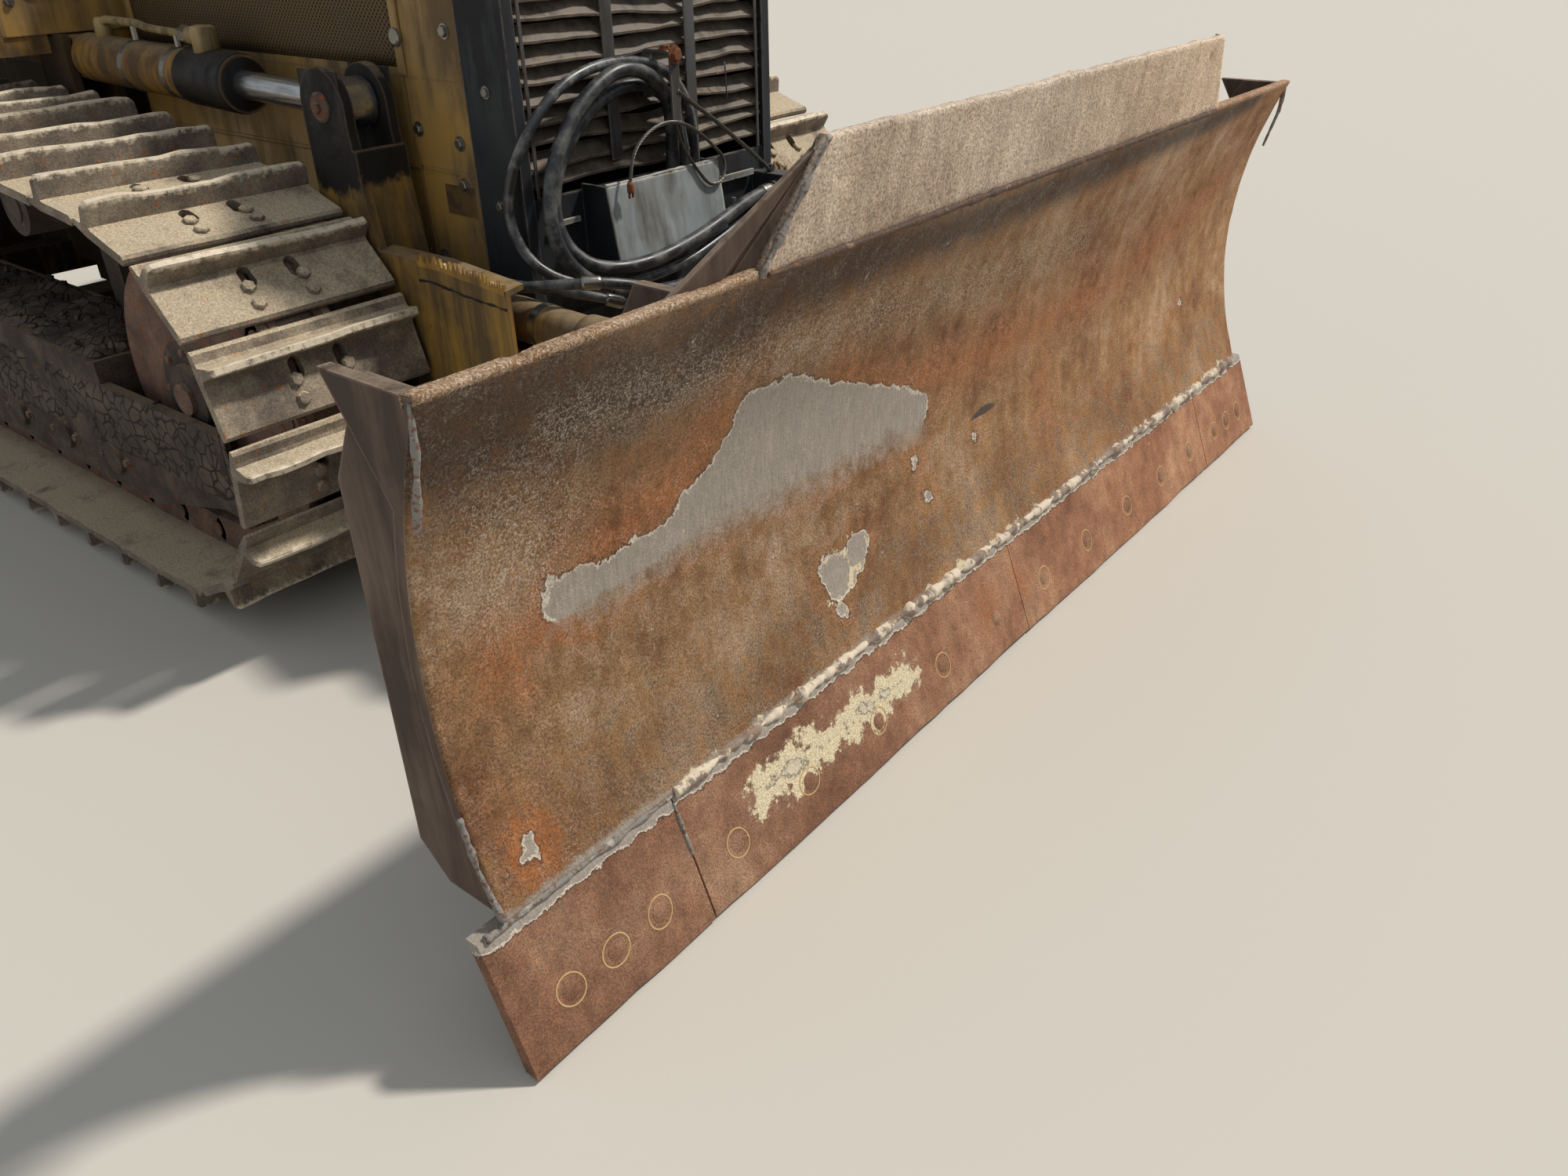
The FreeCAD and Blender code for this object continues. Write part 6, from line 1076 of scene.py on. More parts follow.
# Cylinder rods: hard chrome on ground steel, rings of grease where they stop
chrome_rod, tree, shader, place = new_material("hard_chrome_rod")
wipe = add(tree, "TexNoise", {"Vector": add(tree, "Mapping", {"Vector": place, "Scale": (0.12, 1, 1)}),
                              "Scale": 55.0, "Detail": 4.0})
film = add(tree, "MapRange", {0: wipe, 1: 0.5, 2: 0.68, 3: 0.0, 4: 0.45})
tone = add(tree, "Mix", {0: film, 6: "#C9CBCC", 7: "#5C5348"}, data_type="RGBA")
dull = add(tree, "MapRange", {0: wipe, 1: 0.35, 2: 0.7, 3: 0.10, 4: 0.38})
fill(shader, {
    "Base Color": tone, "Roughness": dull,
    "Normal": add(tree, "Bump", {"Strength": 0.1, "Distance": 0.0002, "Height": wipe}),
    "Metallic": 0.95})
coat_nodes(chrome_rod, "lift_rod_left", "lift_rod_right", "angle_rod_left", "angle_rod_right", "tilt_rod")

# Engine and exhaust: cast iron under oil and dust, and a sooty heat-browned stack
cast_iron = worn_steel("oily_engine_iron", "#23211F", "#35312C", "#4A443B", "#6E6250", "#5E3B25",
                       "#7A7268", 0.35, 0.3)
coat_nodes(cast_iron, "engine_block")
stack_steel = bare_metal("heat_browned_stack_steel", "#5C5048", "#352D28", "#5A3E2C", rusty=0.6, grain=30,
                         shine=0.5, metal=0.55)
coat_nodes(stack_steel, "exhaust_stack")
coat_nodes(cab_black, "air_cleaner")

# Window glass: flat tempered panes, clear with a dusty film towards the edges
pane_glass, tree, shader, place = new_material("dusty_tempered_glass")
film = add(tree, "TexNoise", {"Vector": place, "Scale": 5.0, "Detail": 6.0, "Roughness": 0.7})
haze = add(tree, "MapRange", {0: film, 1: 0.4, 2: 0.7, 3: 0.05, 4: 0.32})
tone = add(tree, "Mix", {0: film, 6: "#D9E2DE", 7: "#B8B4A4"}, data_type="RGBA")
fill(shader, {
    "Base Color": tone, "Roughness": haze,
    "Transmission Weight": add(tree, "MapRange", {0: film, 1: 0.35, 2: 0.7, 3: 0.95, 4: 0.7}),
    "Normal": add(tree, "Bump", {"Strength": 0.05, "Distance": 0.001, "Height": film}),
    "IOR": 1.05})
coat_nodes(pane_glass, "cab_glass", "door_glass_left", "door_glass_right")

# Radiator core: brazed fins behind the louvres, black with baked dust
core_fins, tree, shader, place = new_material("dusty_radiator_fins")
fins = add(tree, "TexWave", {"Vector": place, "Scale": 60.0, "Distortion": 0.3, "Detail": 1.0},
           wave_type="BANDS", bands_direction="Y")
rows_of = add(tree, "TexWave", {"Vector": place, "Scale": 16.0}, wave_type="BANDS", bands_direction="Z")
caked = add(tree, "TexNoise", {"Vector": place, "Scale": 12.0, "Detail": 7.0})
mesh_height = add(tree, "Math", {0: fins.outputs["Fac"], 1: rows_of.outputs["Fac"]}, operation="MULTIPLY")
tone = add(tree, "Mix", {0: mesh_height, 6: "#0B0B0B", 7: "#35302A"}, data_type="RGBA")
tone = add(tree, "Mix", {0: add(tree, "MapRange", {0: caked, 1: 0.5, 2: 0.7}),
                         6: tone, 7: "#4A4034"}, data_type="RGBA")
fill(shader, {
    "Base Color": tone, "Normal": add(tree, "Bump", {"Distance": 0.003, "Height": mesh_height}),
    "Roughness": 0.8})
coat_nodes(core_fins, "radiator_core")

# Seat: moulded foam under black vinyl; made as soft goods below
seat_vinyl, tree, shader, place = new_material("scuffed_black_vinyl")
pores = add(tree, "TexVoronoi", {"Vector": place, "Scale": 420.0})
scuffs = add(tree, "TexNoise", {"Vector": place, "Scale": 14.0, "Detail": 7.0, "Roughness": 0.7})
tone = add(tree, "Mix", {0: add(tree, "MapRange", {0: scuffs, 1: 0.48, 2: 0.7}),
                         6: "#1F2022", 7: "#57534C"}, data_type="RGBA")
fill(shader, {
    "Base Color": tone,
    "Roughness": add(tree, "MapRange", {0: scuffs, 1: 0.3, 2: 0.7, 3: 0.4, 4: 0.7}),
    "Normal": add(tree, "Bump", {"Strength": 0.3, "Distance": 0.0004, "Height": pores.outputs["Distance"]}),
    "IOR": 1.5})

# Grille: pressed steel louvres spot-welded in a frame behind two upright flat
# bars. Brush has bent most blades, and their front edges are rubbed to rust.
nose_front, nose_half, louvre_top, louvre_pitch = 1.347, 0.457, 1.688, 0.0435
louvre_steel = old_enamel(
    "bent_louvre_steel", "#26262A", "#3A3631", "#231F1B", "#B09A84", "#8A5A3A", "#94826C",
    chipped=0.62, grimy=0.4, dusty=0.75, shine=0.5, edge=0.004)
blade_ys = np.linspace(-nose_half + 0.032, nose_half - 0.032, 56)
blade_ring = np.array([(1.3010, 0.0340), (1.3040, 0.0375), (1.3330, 0.0085), (1.3362, 0.0060),
                       (1.3366, 0.0016), (1.3345, -0.0006), (1.3300, 0.0030), (1.3005, 0.0318)])
blades, chance = [], np.random.default_rng(17)
for number in range(16):
    level = louvre_top - louvre_pitch * (number + 1)
    middle_bend = np.exp(-((blade_ys - chance.uniform(-0.08, 0.10)) / 0.12) ** 2)
    bend = (0.0045 * lumps(blade_ys, 0 * blade_ys + number, 0.16, 101 + number, 3)
            + middle_bend * chance.uniform(-0.014, 0.008))
    if number >= 13:
        bend += (blade_ys + 0.1) * chance.uniform(-0.035, 0.03)
    lift = np.clip(bend, -0.017, 0.017)
    ring = np.broadcast_to(blade_ring, (56, 8, 2)).copy()
    ring[..., 1] += level + lift[:, None]
    ring[..., 1] = np.clip(ring[..., 1], 0.9665, 1.690)
    ring[..., 0] += np.clip((ring[..., 0] - 1.318) / 0.018, 0, 1) * 0.004 * lumps(
        blade_ys, 0 * blade_ys + 3.0 * number, 0.07, 131, 2)[:, None] - 0.001
    across = np.broadcast_to(blade_ys[:, None, None], (56, 8, 1))
    blades.append((np.concatenate([ring[..., :1], across, ring[..., 1:]], axis=-1),
                   grid_faces(56, 8, wrap=True)))
blade_caps = [list(range(k * 448 + first, k * 448 + first + 8)) for k in range(16) for first in (0, 440)]


def bar(x, y, z, round_off=0.0015, bow=0.0):
    """A flat bar standing up: a box with its long edges taken off, bowed forward in the middle."""
    (x0, x1), (y0, y1), (z0, z1) = x, y, z
    r = round_off
    ring = np.array([(x0 + r, y0), (x1 - r, y0), (x1, y0 + r), (x1, y1 - r), (x1 - r, y1), (x0 + r, y1),
                     (x0, y1 - r), (x0, y0 + r)])
    heights = np.linspace(z0, z1, 18)
    stack = np.stack([np.concatenate([ring, np.full((8, 1), h)], axis=1) for h in heights])
    stack[..., 0] += bow * np.sin(np.pi * (heights - z0) / (z1 - z0))[:, None]
    return stack, grid_faces(18, 8, wrap=True), [list(range(8)), list(range(136, 144))]


def solids(*pieces):
    """Several closed solids, each points, faces and flat ends, made one mesh."""
    points, faces = together([(p, f) for p, f, e in pieces])
    starts = np.cumsum([0] + [len(np.reshape(p, (-1, 3))) for p, f, e in pieces])
    closed = [[v + start for v in end] for start, (p, f, e) in zip(starts, pieces) for end in e]
    return points, [*faces.tolist(), *closed]


put("grille_blades", *together(blades), louvre_steel, "root", "grille_steel", smooth=False,
    replaced=("grille_louvres",), ends=blade_caps)
bar_front = (nose_front - 0.0085, nose_front - 0.0035)
bars = [bar(bar_front, (sign * 0.140 - 0.019, sign * 0.140 + 0.019), (1.018, 1.688), bow=0.003 * sign)
        for sign in (-1, 1)]
borders = [bar(bar_front, (sign * 0.406 - 0.005, sign * 0.406 + 0.005), (0.969, 1.688)) for sign in (-1, 1)]
bar_steel = old_enamel(
    "grey_bar_steel", "#4A4C50", "#5C5B58", "#332E29", "#94877A", "#7C4428", "#8F8474",
    chipped=0.5, grimy=0.5, dusty=0.3, shine=0.45, edge=0.004)
put("grille_bars", *solids(*bars, *borders), bar_steel, "root", "grille_steel", smooth=False)

# Hanger: a bent flat strap on the left bar that holds the hoses up, with the
# nut and the shackle of the rope at its top
strap_line = np.array([
    (1.336, -0.011, 1.150), (1.336, -0.011, 1.242), (1.340, -0.011, 1.250), (1.348, -0.011, 1.253),
    (1.416, -0.011, 1.253), (1.423, -0.011, 1.249), (1.426, -0.011, 1.241), (1.426, -0.011, 1.094)])
strap_ring = np.array([(-0.0028, -0.015), (0.0028, -0.015), (0.0028, 0.015), (-0.0028, 0.015)])
strap = carried(evenly(strap_line, 0.008), strap_ring, (0, 1, 0))
rows = len(strap)
put("hose_hanger", strap, grid_faces(rows, 4, wrap=True), bar_steel, "root", "grille_steel", smooth=False,
    ends=[list(range(4)), list(range(4 * rows - 4, 4 * rows))])


def hex_bolt(at, outwards, size, tall, washer=True):
    """A bolt head with its washer: a hexagon with a domed top on a thin disc, set on a face."""
    outwards = np.asarray(outwards, float) / np.linalg.norm(outwards)
    side = np.cross(outwards, (0.31, 0.17, 0.93))
    side /= np.linalg.norm(side)
    other = np.cross(outwards, side)
    levels = [(-0.001, 12, size * 1.45), (tall * 0.18, 12, size * 1.45)] if washer else []
    levels += [(tall * 0.18 if washer else -0.001, 12, 0.0), (tall * 0.85, 12, 0.0), (tall, 12, -0.15),
               (tall, 12, -1.0)]
    hexagonal = np.repeat(circle(size * 1.04, 6), 2, axis=0)
    hexagonal[1::2] = (hexagonal[1::2] + np.roll(hexagonal[::2], -1, axis=0)) / 2
    rings = []
    for level, count, radius in levels:
        ring = circle(radius, 12) if radius > 0 else hexagonal * max(1 + radius, 1e-4)
        rings.append(np.asarray(at) + ring[:, :1] * side + ring[:, 1:] * other + level * outwards)
    rings.insert(0, np.broadcast_to(np.asarray(at) - 0.001 * outwards, (12, 3)))
    return np.stack(rings), grid_faces(len(rings), 12, wrap=True), []


plated_bolt = bare_metal("plated_bolt_steel", "#A6A49C", "#7C766B", "#7A5236", rusty=0.3, grain=140,
                         shine=0.3)
put("hanger_bolts", *solids( hex_bolt((1.430, -0.011, 1.246), (1, 0, 0), 0.015, 0.013),
                            hex_bolt((1.400, -0.011, 1.256), (0, 0, 1), 0.012,
                                     0.010)), rusty_fitting, "root", "grille_steel", smooth=False, merge=1e-5)

# Trough: a folded box that guards the hose ports. Wear has taken its black
# coat down to bluish steel with chalky soil, its rim bare and bright.
trough_plate = old_enamel(
    "worn_trough_plate", "#8C9497", "#A3A8A6", "#5E5A52", "#C9C0AE", "#6E5038", "#B9AE98",
    chipped=0.48, grimy=0.45, dusty=0.5, shine=0.5, edge=0.006)
# Its front is a thin dented skin over the CAD plate, its rim folded back
ty, tz = np.meshgrid(np.linspace(-0.268, 0.138, 60), np.linspace(0.798, 0.981, 30))
lean_x = 1.450 + (tz - 0.800) / 0.180 * (1.420 - 1.450) + 0.0035
dent = 0.004 * np.exp(-((ty + 0.05) / 0.09) ** 2
                      - ((tz - 0.90) / 0.05) ** 2) + 0.0009 * lumps(ty, tz, 0.05, 151)
trough = np.stack([lean_x - np.clip(dent, -0.0005, 0.003), ty, tz], axis=-1)
sheet_piece("trough_front", trough, 0.0025, trough_plate, "root", "grille_steel")
rim_line = np.stack([np.full(40, 1.4195), np.linspace(-0.268, 0.138, 40), np.full(40, 0.9815)], axis=1)
put("trough_rim", *bead(rim_line, 0.0042, (0, 0, 1), 153, 8, rough=0.25), trough_plate, "root",
    "grille_steel", merge=1e-5)
# Stubs: short flat bars where a cross-bar of the guard was torn off
put("guard_stubs", *solids( bar((1.3465, 1.3540), (0.210, 0.371), (0.900, 0.915)),
                           bar((1.3465, 1.3540), (-0.381, -0.293), (0.899, 0.911)),
                           bar((1.3470, 1.3610), (0.276, 0.282),
                               (0.838, 0.852))), trough_plate, "root", "grille_steel", smooth=False)
# Stray wire hooked in the louvres, and the crimped collars of the hoses
stray = np.array([(1.342, 0.262, 1.196), (1.352, 0.262, 1.198), (1.3545, 0.262, 1.188),
                  (1.3545, 0.264, 1.118),
                  (1.350, 0.266, 1.110), (1.342, 0.268, 1.110)])
put("stray_wire", *tube_along(evenly(stray, 0.004), 0.0018, (0, 1, 0), 8), rope_wire, "root",
    "grille_steel", merge=1e-5)


def ferrule(points, thick, start, length):
    """A crimped collar round a hose: a short tube along its line with eight pressed flats."""
    guide = route("ferrule_guide", points)
    line = evenly(along(guide), 0.004)
    bpy.data.objects.remove(guide)
    first = int(start / 0.004)
    line = line[first:first + max(3, int(length / 0.004))]
    swell = np.full(len(line), thick / 2 + 0.0035)
    swell[[0, -1]] = thick / 2 + 0.0015
    return tube_along(line, swell, (1, 0, 0) if abs(np.diff(line, axis=0)[0, 0]) < 0.003 else (0, 0, 1), 16)


collars = []
for cord_name, thick, body, cover, points in CORDS[:3]:
    guide = route("length_guide", points)
    total = run_length(along(guide))
    bpy.data.objects.remove(guide)
    collars += [ferrule(points, thick / 1000, 0.004, 0.045),
                ferrule(points, thick / 1000, total - 0.052, 0.045)]
put("hose_ferrules", *together(collars), plated_bolt, "root", "hose_rubber", merge=1e-5)
frame_collars = [ferrule(CORDS[k][4], CORDS[k][1] / 1000, 0.53 + 0.02 * k, 0.05) for k in (4, 5)]
put("frame_hose_ferrules", *together(frame_collars), plated_bolt, "c_frame", "hose_rubber", merge=1e-5)

# Hood side: a front panel held by bolts, and behind it a door of perforated
# sheet, with its blank plate recess and two drain holes low down
side_bolts = []
for sign in (-1, 1):
    face_y = sign * (nose_half + 0.0005)
    for x_at, z_at in ((1.145, 1.66), (1.145, 1.32), (1.145, 1.08), (0.995, 1.66), (0.995, 1.10),
                       (1.140, 0.985),
                       (1.020, 0.80), (1.140, 0.70)):
        side_bolts.append(hex_bolt((x_at, face_y, z_at), (0, sign, 0), 0.012, 0.010))
    for z_at in (0.72, 0.95, 1.20, 1.45, 1.66):
        side_bolts.append(hex_bolt((1.262, face_y, z_at), (0, sign, 0), 0.010, 0.008))
put("nose_side_bolts", *solids(*side_bolts), plated_bolt, "root", "grille_steel", smooth=False, merge=1e-5)

# Perforated sheet: 8 mm holes drawn by the bump and by painted shade in the tone, on a skin a little
# inside the hood's frame
perforated, tree, shader, place = new_material("dusty_perforated_sheet")
spaced = add(tree, "Mapping", {"Vector": place, "Scale": (95.0, 0.0, 95.0), "Rotation": (0.0, 0.785, 0.0)})
cell = add(tree, "VectorMath", {0: spaced}, operation="FRACTION")
middle = add(tree, "VectorMath", {0: cell, 1: (0.5, 0.0, 0.5)}, operation="DISTANCE")
hole = add(tree, "MapRange", {0: middle.outputs["Value"], 1: 0.36, 2: 0.28})
grimy = add(tree, "TexNoise", {"Vector": place, "Scale": 7.0, "Detail": 7.0, "Roughness": 0.65})
tone = add(tree, "Mix", {0: grimy, 6: "#4E3B22", 7: "#7E6234"}, data_type="RGBA")
# The holes are painted near black: painted shade of the dark space behind the sheet.
tone = add(tree, "Mix", {0: hole, 6: tone, 7: "#15110D"}, data_type="RGBA")
sunk = add(tree, "Math", {0: hole, 1: -1.0}, operation="MULTIPLY")
fill(shader, {
    "Base Color": tone,
    "Roughness": add(tree, "MapRange", {0: grimy, 1: 0.3, 2: 0.7, 3: 0.5, 4: 0.8}),
    "Normal": add(tree, "Bump", {"Distance": 0.002, "Height": sunk})})
for side, sign in (("left", 1), ("right", -1)):
    px, pz = np.meshgrid(np.linspace(-0.28, 0.955, 40), np.linspace(1.235, 1.655, 16))
    panel = np.stack([px, np.full(px.shape, sign * (nose_half + 0.0035)), pz], axis=-1)
    edge_of = np.maximum(np.abs(px - 0.3375) / 0.6175, np.abs(pz - 1.445) / 0.21)
    panel[..., 1] -= sign * 0.003 * (edge_of > 0.999)
    sheet_piece("perforated_door_" + side, panel if sign > 0 else panel[::-1], 0.0025, perforated, "root",
                "yellow_paint")
    frame_bars = [
        bar((0.955, 0.985), tuple(sorted((sign * nose_half, sign * (nose_half + 0.006)))), (1.22, 1.67),
            0.002),
        bar((-0.305, -0.28), tuple(sorted((sign * nose_half, sign * (nose_half + 0.006)))), (1.22, 1.67),
            0.002)]
    put("door_strips_" + side, *solids(*frame_bars), machine_yellow, "root", "yellow_paint", smooth=False)

# Cylinders: drawn tube barrels with screwed glands, ports on welded bosses and
# a clamped hard line between them. Dust and oil have caked black on the glands.
grease = old_enamel(
    "black_dried_grease", "#14110F", "#1F1A16", "#0D0B0A", "#2E2822", "#2A1F16", "#40362C",
    chipped=0.05, grimy=0.6, dusty=0.25, shine=0.42)
line_coat = old_enamel(
    "chalky_line_enamel", "#A8905E", "#B8A272", "#5A4A32", "#7A6A58", "#6E4A2C", "#A8926E",
    chipped=0.35, grimy=0.7, dusty=0.4)


def cylinder_fittings(name, pin, far_pin, up, radius, length, sleeve_coat, sleeve_from):
    """Gland sleeve, ports, hard line and clamp bands of a cylinder: each is a line of rings measured
    along the barrel from its pin, across it and up, then set in the machine's frame."""
    ahead = np.subtract(far_pin, pin) / np.linalg.norm(np.subtract(far_pin, pin))
    side = np.cross(up, ahead) / np.linalg.norm(np.cross(up, ahead))
    top = np.cross(ahead, side)

    def part(line, rings, around=14, step=None):
        line = np.asarray(line, float)
        line = evenly(line, step) if step else line
        placed = np.asarray(pin) + line[:, :1] * ahead + line[:, 1:2] * side + line[:, 2:] * top
        return tube_along(placed, rings, side if abs(line[-1, 1] - line[0, 1]) < 1e-6 else top, around)

    share = np.array([sleeve_from, sleeve_from + 0.004, (sleeve_from + 0.982) / 2, 0.982, 0.996, 1.003])
    sleeve = part(np.stack([share * length, 0 * share, 0 * share], axis=1),
                  radius + np.array([0.0005, 0.0068, 0.0072, 0.0085, 0.006, -0.006]), 32)
    put(name + "_gland_sleeve", *sleeve, sleeve_coat, name, "black_paint", merge=1e-5)
    rear, front, rise = radius + 0.115, length - 0.150, radius + 0.034
    bulk = radius / 0.065
    pieces = [
        part([(front, 0, radius * 0.6), (front, 0, rise + 0.018), (front, 0, rise + 0.025),
              (front, 0, rise + 0.028)],
             np.array([0.034, 0.033, 0.030, 0.022]) * bulk, 20),
        part([(front, 0, rise), (front - 0.07, 0, rise)], 0.022 * bulk),
        part([(rear, 0, radius * 0.6), (rear, 0, rise), (rear, 0, rise + 0.012)], [0.024, 0.021, 0.015]),
        part([(rear, 0, rise - 0.004), (rear + 0.03, 0, rise + 0.008), (rear + 0.20, 0, rise + 0.010),
              (rear + 0.26, 0, rise + 0.002), (front - 0.10, 0, rise),
              (front - 0.06, 0, rise)], 0.0105, 12, 0.01),
    ]
    put(name + "_ports", *together(pieces), line_coat, name, "yellow_paint", merge=1e-5)
    bands = []
    for at in (length * 0.40, length * 0.655):
        hoop = part([(at + d, 0, 0) for d in (0.0, 0.001, 0.023, 0.024)],
                    radius + np.array([-0.001, 0.0022, 0.0022, -0.001]), 32)[0][1:-1]
        bands.append((hoop, grid_faces(5, 32, wrap=True) % (4 * 32)))
    bands += [part([(at + 0.012, 0, radius * 0.8), (at + 0.012, 0, rise + 0.002)], 0.010, 8)
              for at in (length * 0.40, length * 0.655)]
    bands.append(part([(front - 0.07, 0, rise), (front - 0.10, 0, rise)], 0.024 * bulk, 6))
    put(name + "_clamp_bands", *together(bands), plated_bolt, name, "chrome_rod", smooth=False, merge=1e-5)


for side, sign in (("left", 1), ("right", -1)):
    cylinder_fittings("lift_barrel_" + side, (-0.420, sign * 0.575, 1.200), (0.900, sign * 0.575, 1.165),
                      (0, 0, 1), 0.065, 0.880, grease, 0.735)
    cylinder_fittings("angle_barrel_" + side, (1.080, sign * 0.540, 0.740), (2.130, sign * 0.620, 0.740),
                      (0, 0, -1), 0.050, 0.650, frame_yellow, 0.90)
cylinder_fittings("tilt_barrel", (2.090, 0.430, 0.900), (2.090, -0.330, 0.900), (-1, 0, 0), 0.050, 0.470,
                  frame_yellow, 0.88)

# Lift towers: grease pumped into the cylinder's eye has run down the cheeks
# and cracked as it dried. The pin ends are round keepers held by one bolt.
grease_cakes, keepers = [], []
for sign in (-1, 1):
    for face, out in ((sign * 0.645, sign), (sign * 0.505, -sign)):
        gx, gz = np.meshgrid(np.linspace(0.822, 0.978, 34), np.linspace(1.045, 1.243, 40))
        edge_of = np.hypot((gx - 0.900) / 0.083,
                           np.minimum(gz - 1.165, 0) / 0.118 + np.maximum(gz - 1.165, 0) / 0.083)
        thick = np.clip(1 - edge_of, 0, 1) ** 0.35 * (0.005 + 0.0022 * lumps(gx, gz, 0.03, 171 + sign))
        crack = np.abs(lumps(gx, gz, 0.035, 177 + sign, 2)) < 0.07
        skin = np.stack([gx, face + out * (thick - 0.0015 - 0.002 * crack), gz], axis=-1)
        grease_cakes.append((skin if out > 0 else skin[::-1], grid_faces(40, 34)))
    keepers.append(tube_along(
        np.array([[0.900, sign * y, 1.165] for y in (0.640, 0.652, 0.656, 0.657)]),
        [0.034, 0.034, 0.030, 0.0285],
        (0, 0, 1), 24))
piece = put("tower_grease", *together(grease_cakes), grease, "c_frame", "black_paint", merge=None)
wall = piece.modifiers.new("wall", "SOLIDIFY")
wall.thickness, wall.offset = 0.003, -1.0
put("tower_keepers", *solids(*[(p, f, []) for p, f in keepers],
                             *[ hex_bolt((0.900, sign * 0.657, 1.165), (0, sign, 0), 0.013, 0.009,
                                         washer=False) for sign in (
                                             -1, 1)]), link_steel, "c_frame", "cast_iron", smooth=False, merge=1e-5)

# Hose guards: bent plate whose upper flange was torn off along its stitch
# holes, so a saw edge is left; a weld and a few bolts hold it to the arm
lip_x = np.arange(1.165, 1.5285, 0.0035)
flare = 0.045 * np.clip((lip_x - 1.240) / 0.290, 0, 1)
saw = (lip_x - 1.165) / (0.0195 + 0.004 * lumps(lip_x, 0 * lip_x, 0.09, 181, 1)) % 1
tooth = np.clip(0.040 * np.abs(saw - 0.4) ** 0.9 + 0.004 * lumps(lip_x, 0 * lip_x, 0.02, 183), 0.001, 0.030)
lips, seams, guard_bolts = [], [], []
for sign in (-1, 1):
    out = 0.6455 + flare + 0.0015 * lumps(lip_x, 0 * lip_x + sign, 0.03, 187)
    ring = np.stack([
        np.stack([lip_x, sign * out, 0 * lip_x + 0.838], axis=1),
        np.stack([lip_x, sign * (out + 0.002), 0.848 + tooth], axis=1),
        np.stack([lip_x, sign * (out - 0.006), 0.847 + tooth], axis=1),
        np.stack([lip_x, sign * (out - 0.009), 0 * lip_x + 0.838], axis=1)], axis=1)
    count = len(lip_x)
    lips.append((ring, grid_faces(count, 4, wrap=True),
                 [list(range(4)), list(range(4 * count - 4, 4 * count))]))
    seam = np.stack([lip_x, sign * (0.6455 + flare), 0.806 - 0.002 * lumps(lip_x, 0 * lip_x, 0.05, 189)],
                    axis=1)
    seams.append(bead(seam, 0.0026, (0, 0, 1), 191 + sign, 6, rough=0.6))
    guard_bolts += [hex_bolt((1.492, sign * 0.6845, 0.640), (-0.155, sign, 0), 0.013, 0.010),
                    hex_bolt((1.080, sign * 0.6455, 0.630), (0, sign, 0), 0.013, 0.010)]
lip_mesh = solids(*lips)
torn_yellow = old_enamel(
    "torn_guard_enamel", "#B98F3E", "#A6833F", "#6A4E2A", "#5B4632", "#54301C", "#A8926E",
    chipped=0.62, grimy=0.4, dusty=0.3, edge=0.003)
put("torn_guard_lips", *lip_mesh, torn_yellow, "c_frame", "yellow_paint", smooth=False)
put("guard_seams", *together(seams), grease, "c_frame", "yellow_paint", merge=1e-5)
put("guard_bolts", *solids(*guard_bolts), rusty_fitting, "c_frame", "yellow_paint", smooth=False, merge=1e-5)

# Soil: clay thrown up by the tracks, packed on the roller frames and cracked
# as it dried. It is heaped on the beams and hangs on the outer plates.
clay, tree, shader, place = new_material("cracked_dry_clay")
wet = add(tree, "TexNoise", {"Vector": place, "Scale": 6.0, "Detail": 8.0, "Roughness": 0.65})
crumbs = add(tree, "TexNoise", {"Vector": place, "Scale": 95.0, "Detail": 5.0, "Roughness": 0.7})
cracks = add(tree, "TexVoronoi", {"Vector": place, "Scale": 26.0}, feature="DISTANCE_TO_EDGE")
split = add(tree, "MapRange", {0: cracks.outputs["Distance"], 1: 0.0, 2: 0.07})
tone = add(tree, "Mix", {0: add(tree, "MapRange", {0: wet, 1: 0.35, 2: 0.65}),
                         6: "#3A302A", 7: "#6E6052"}, data_type="RGBA")
tone = add(tree, "Mix", {0: split, 6: "#1E1814", 7: tone}, data_type="RGBA")
deep = add(tree, "Math", {0: split, 1: 2.0, 2: crumbs}, operation="MULTIPLY_ADD")
fill(shader, {
    "Base Color": tone,
    "Roughness": add(tree, "MapRange", {0: wet, 1: 0.3, 2: 0.7, 3: 0.82, 4: 0.97}),
    "Normal": add(tree, "Bump", {"Strength": 0.8, "Distance": 0.004, "Height": deep})})
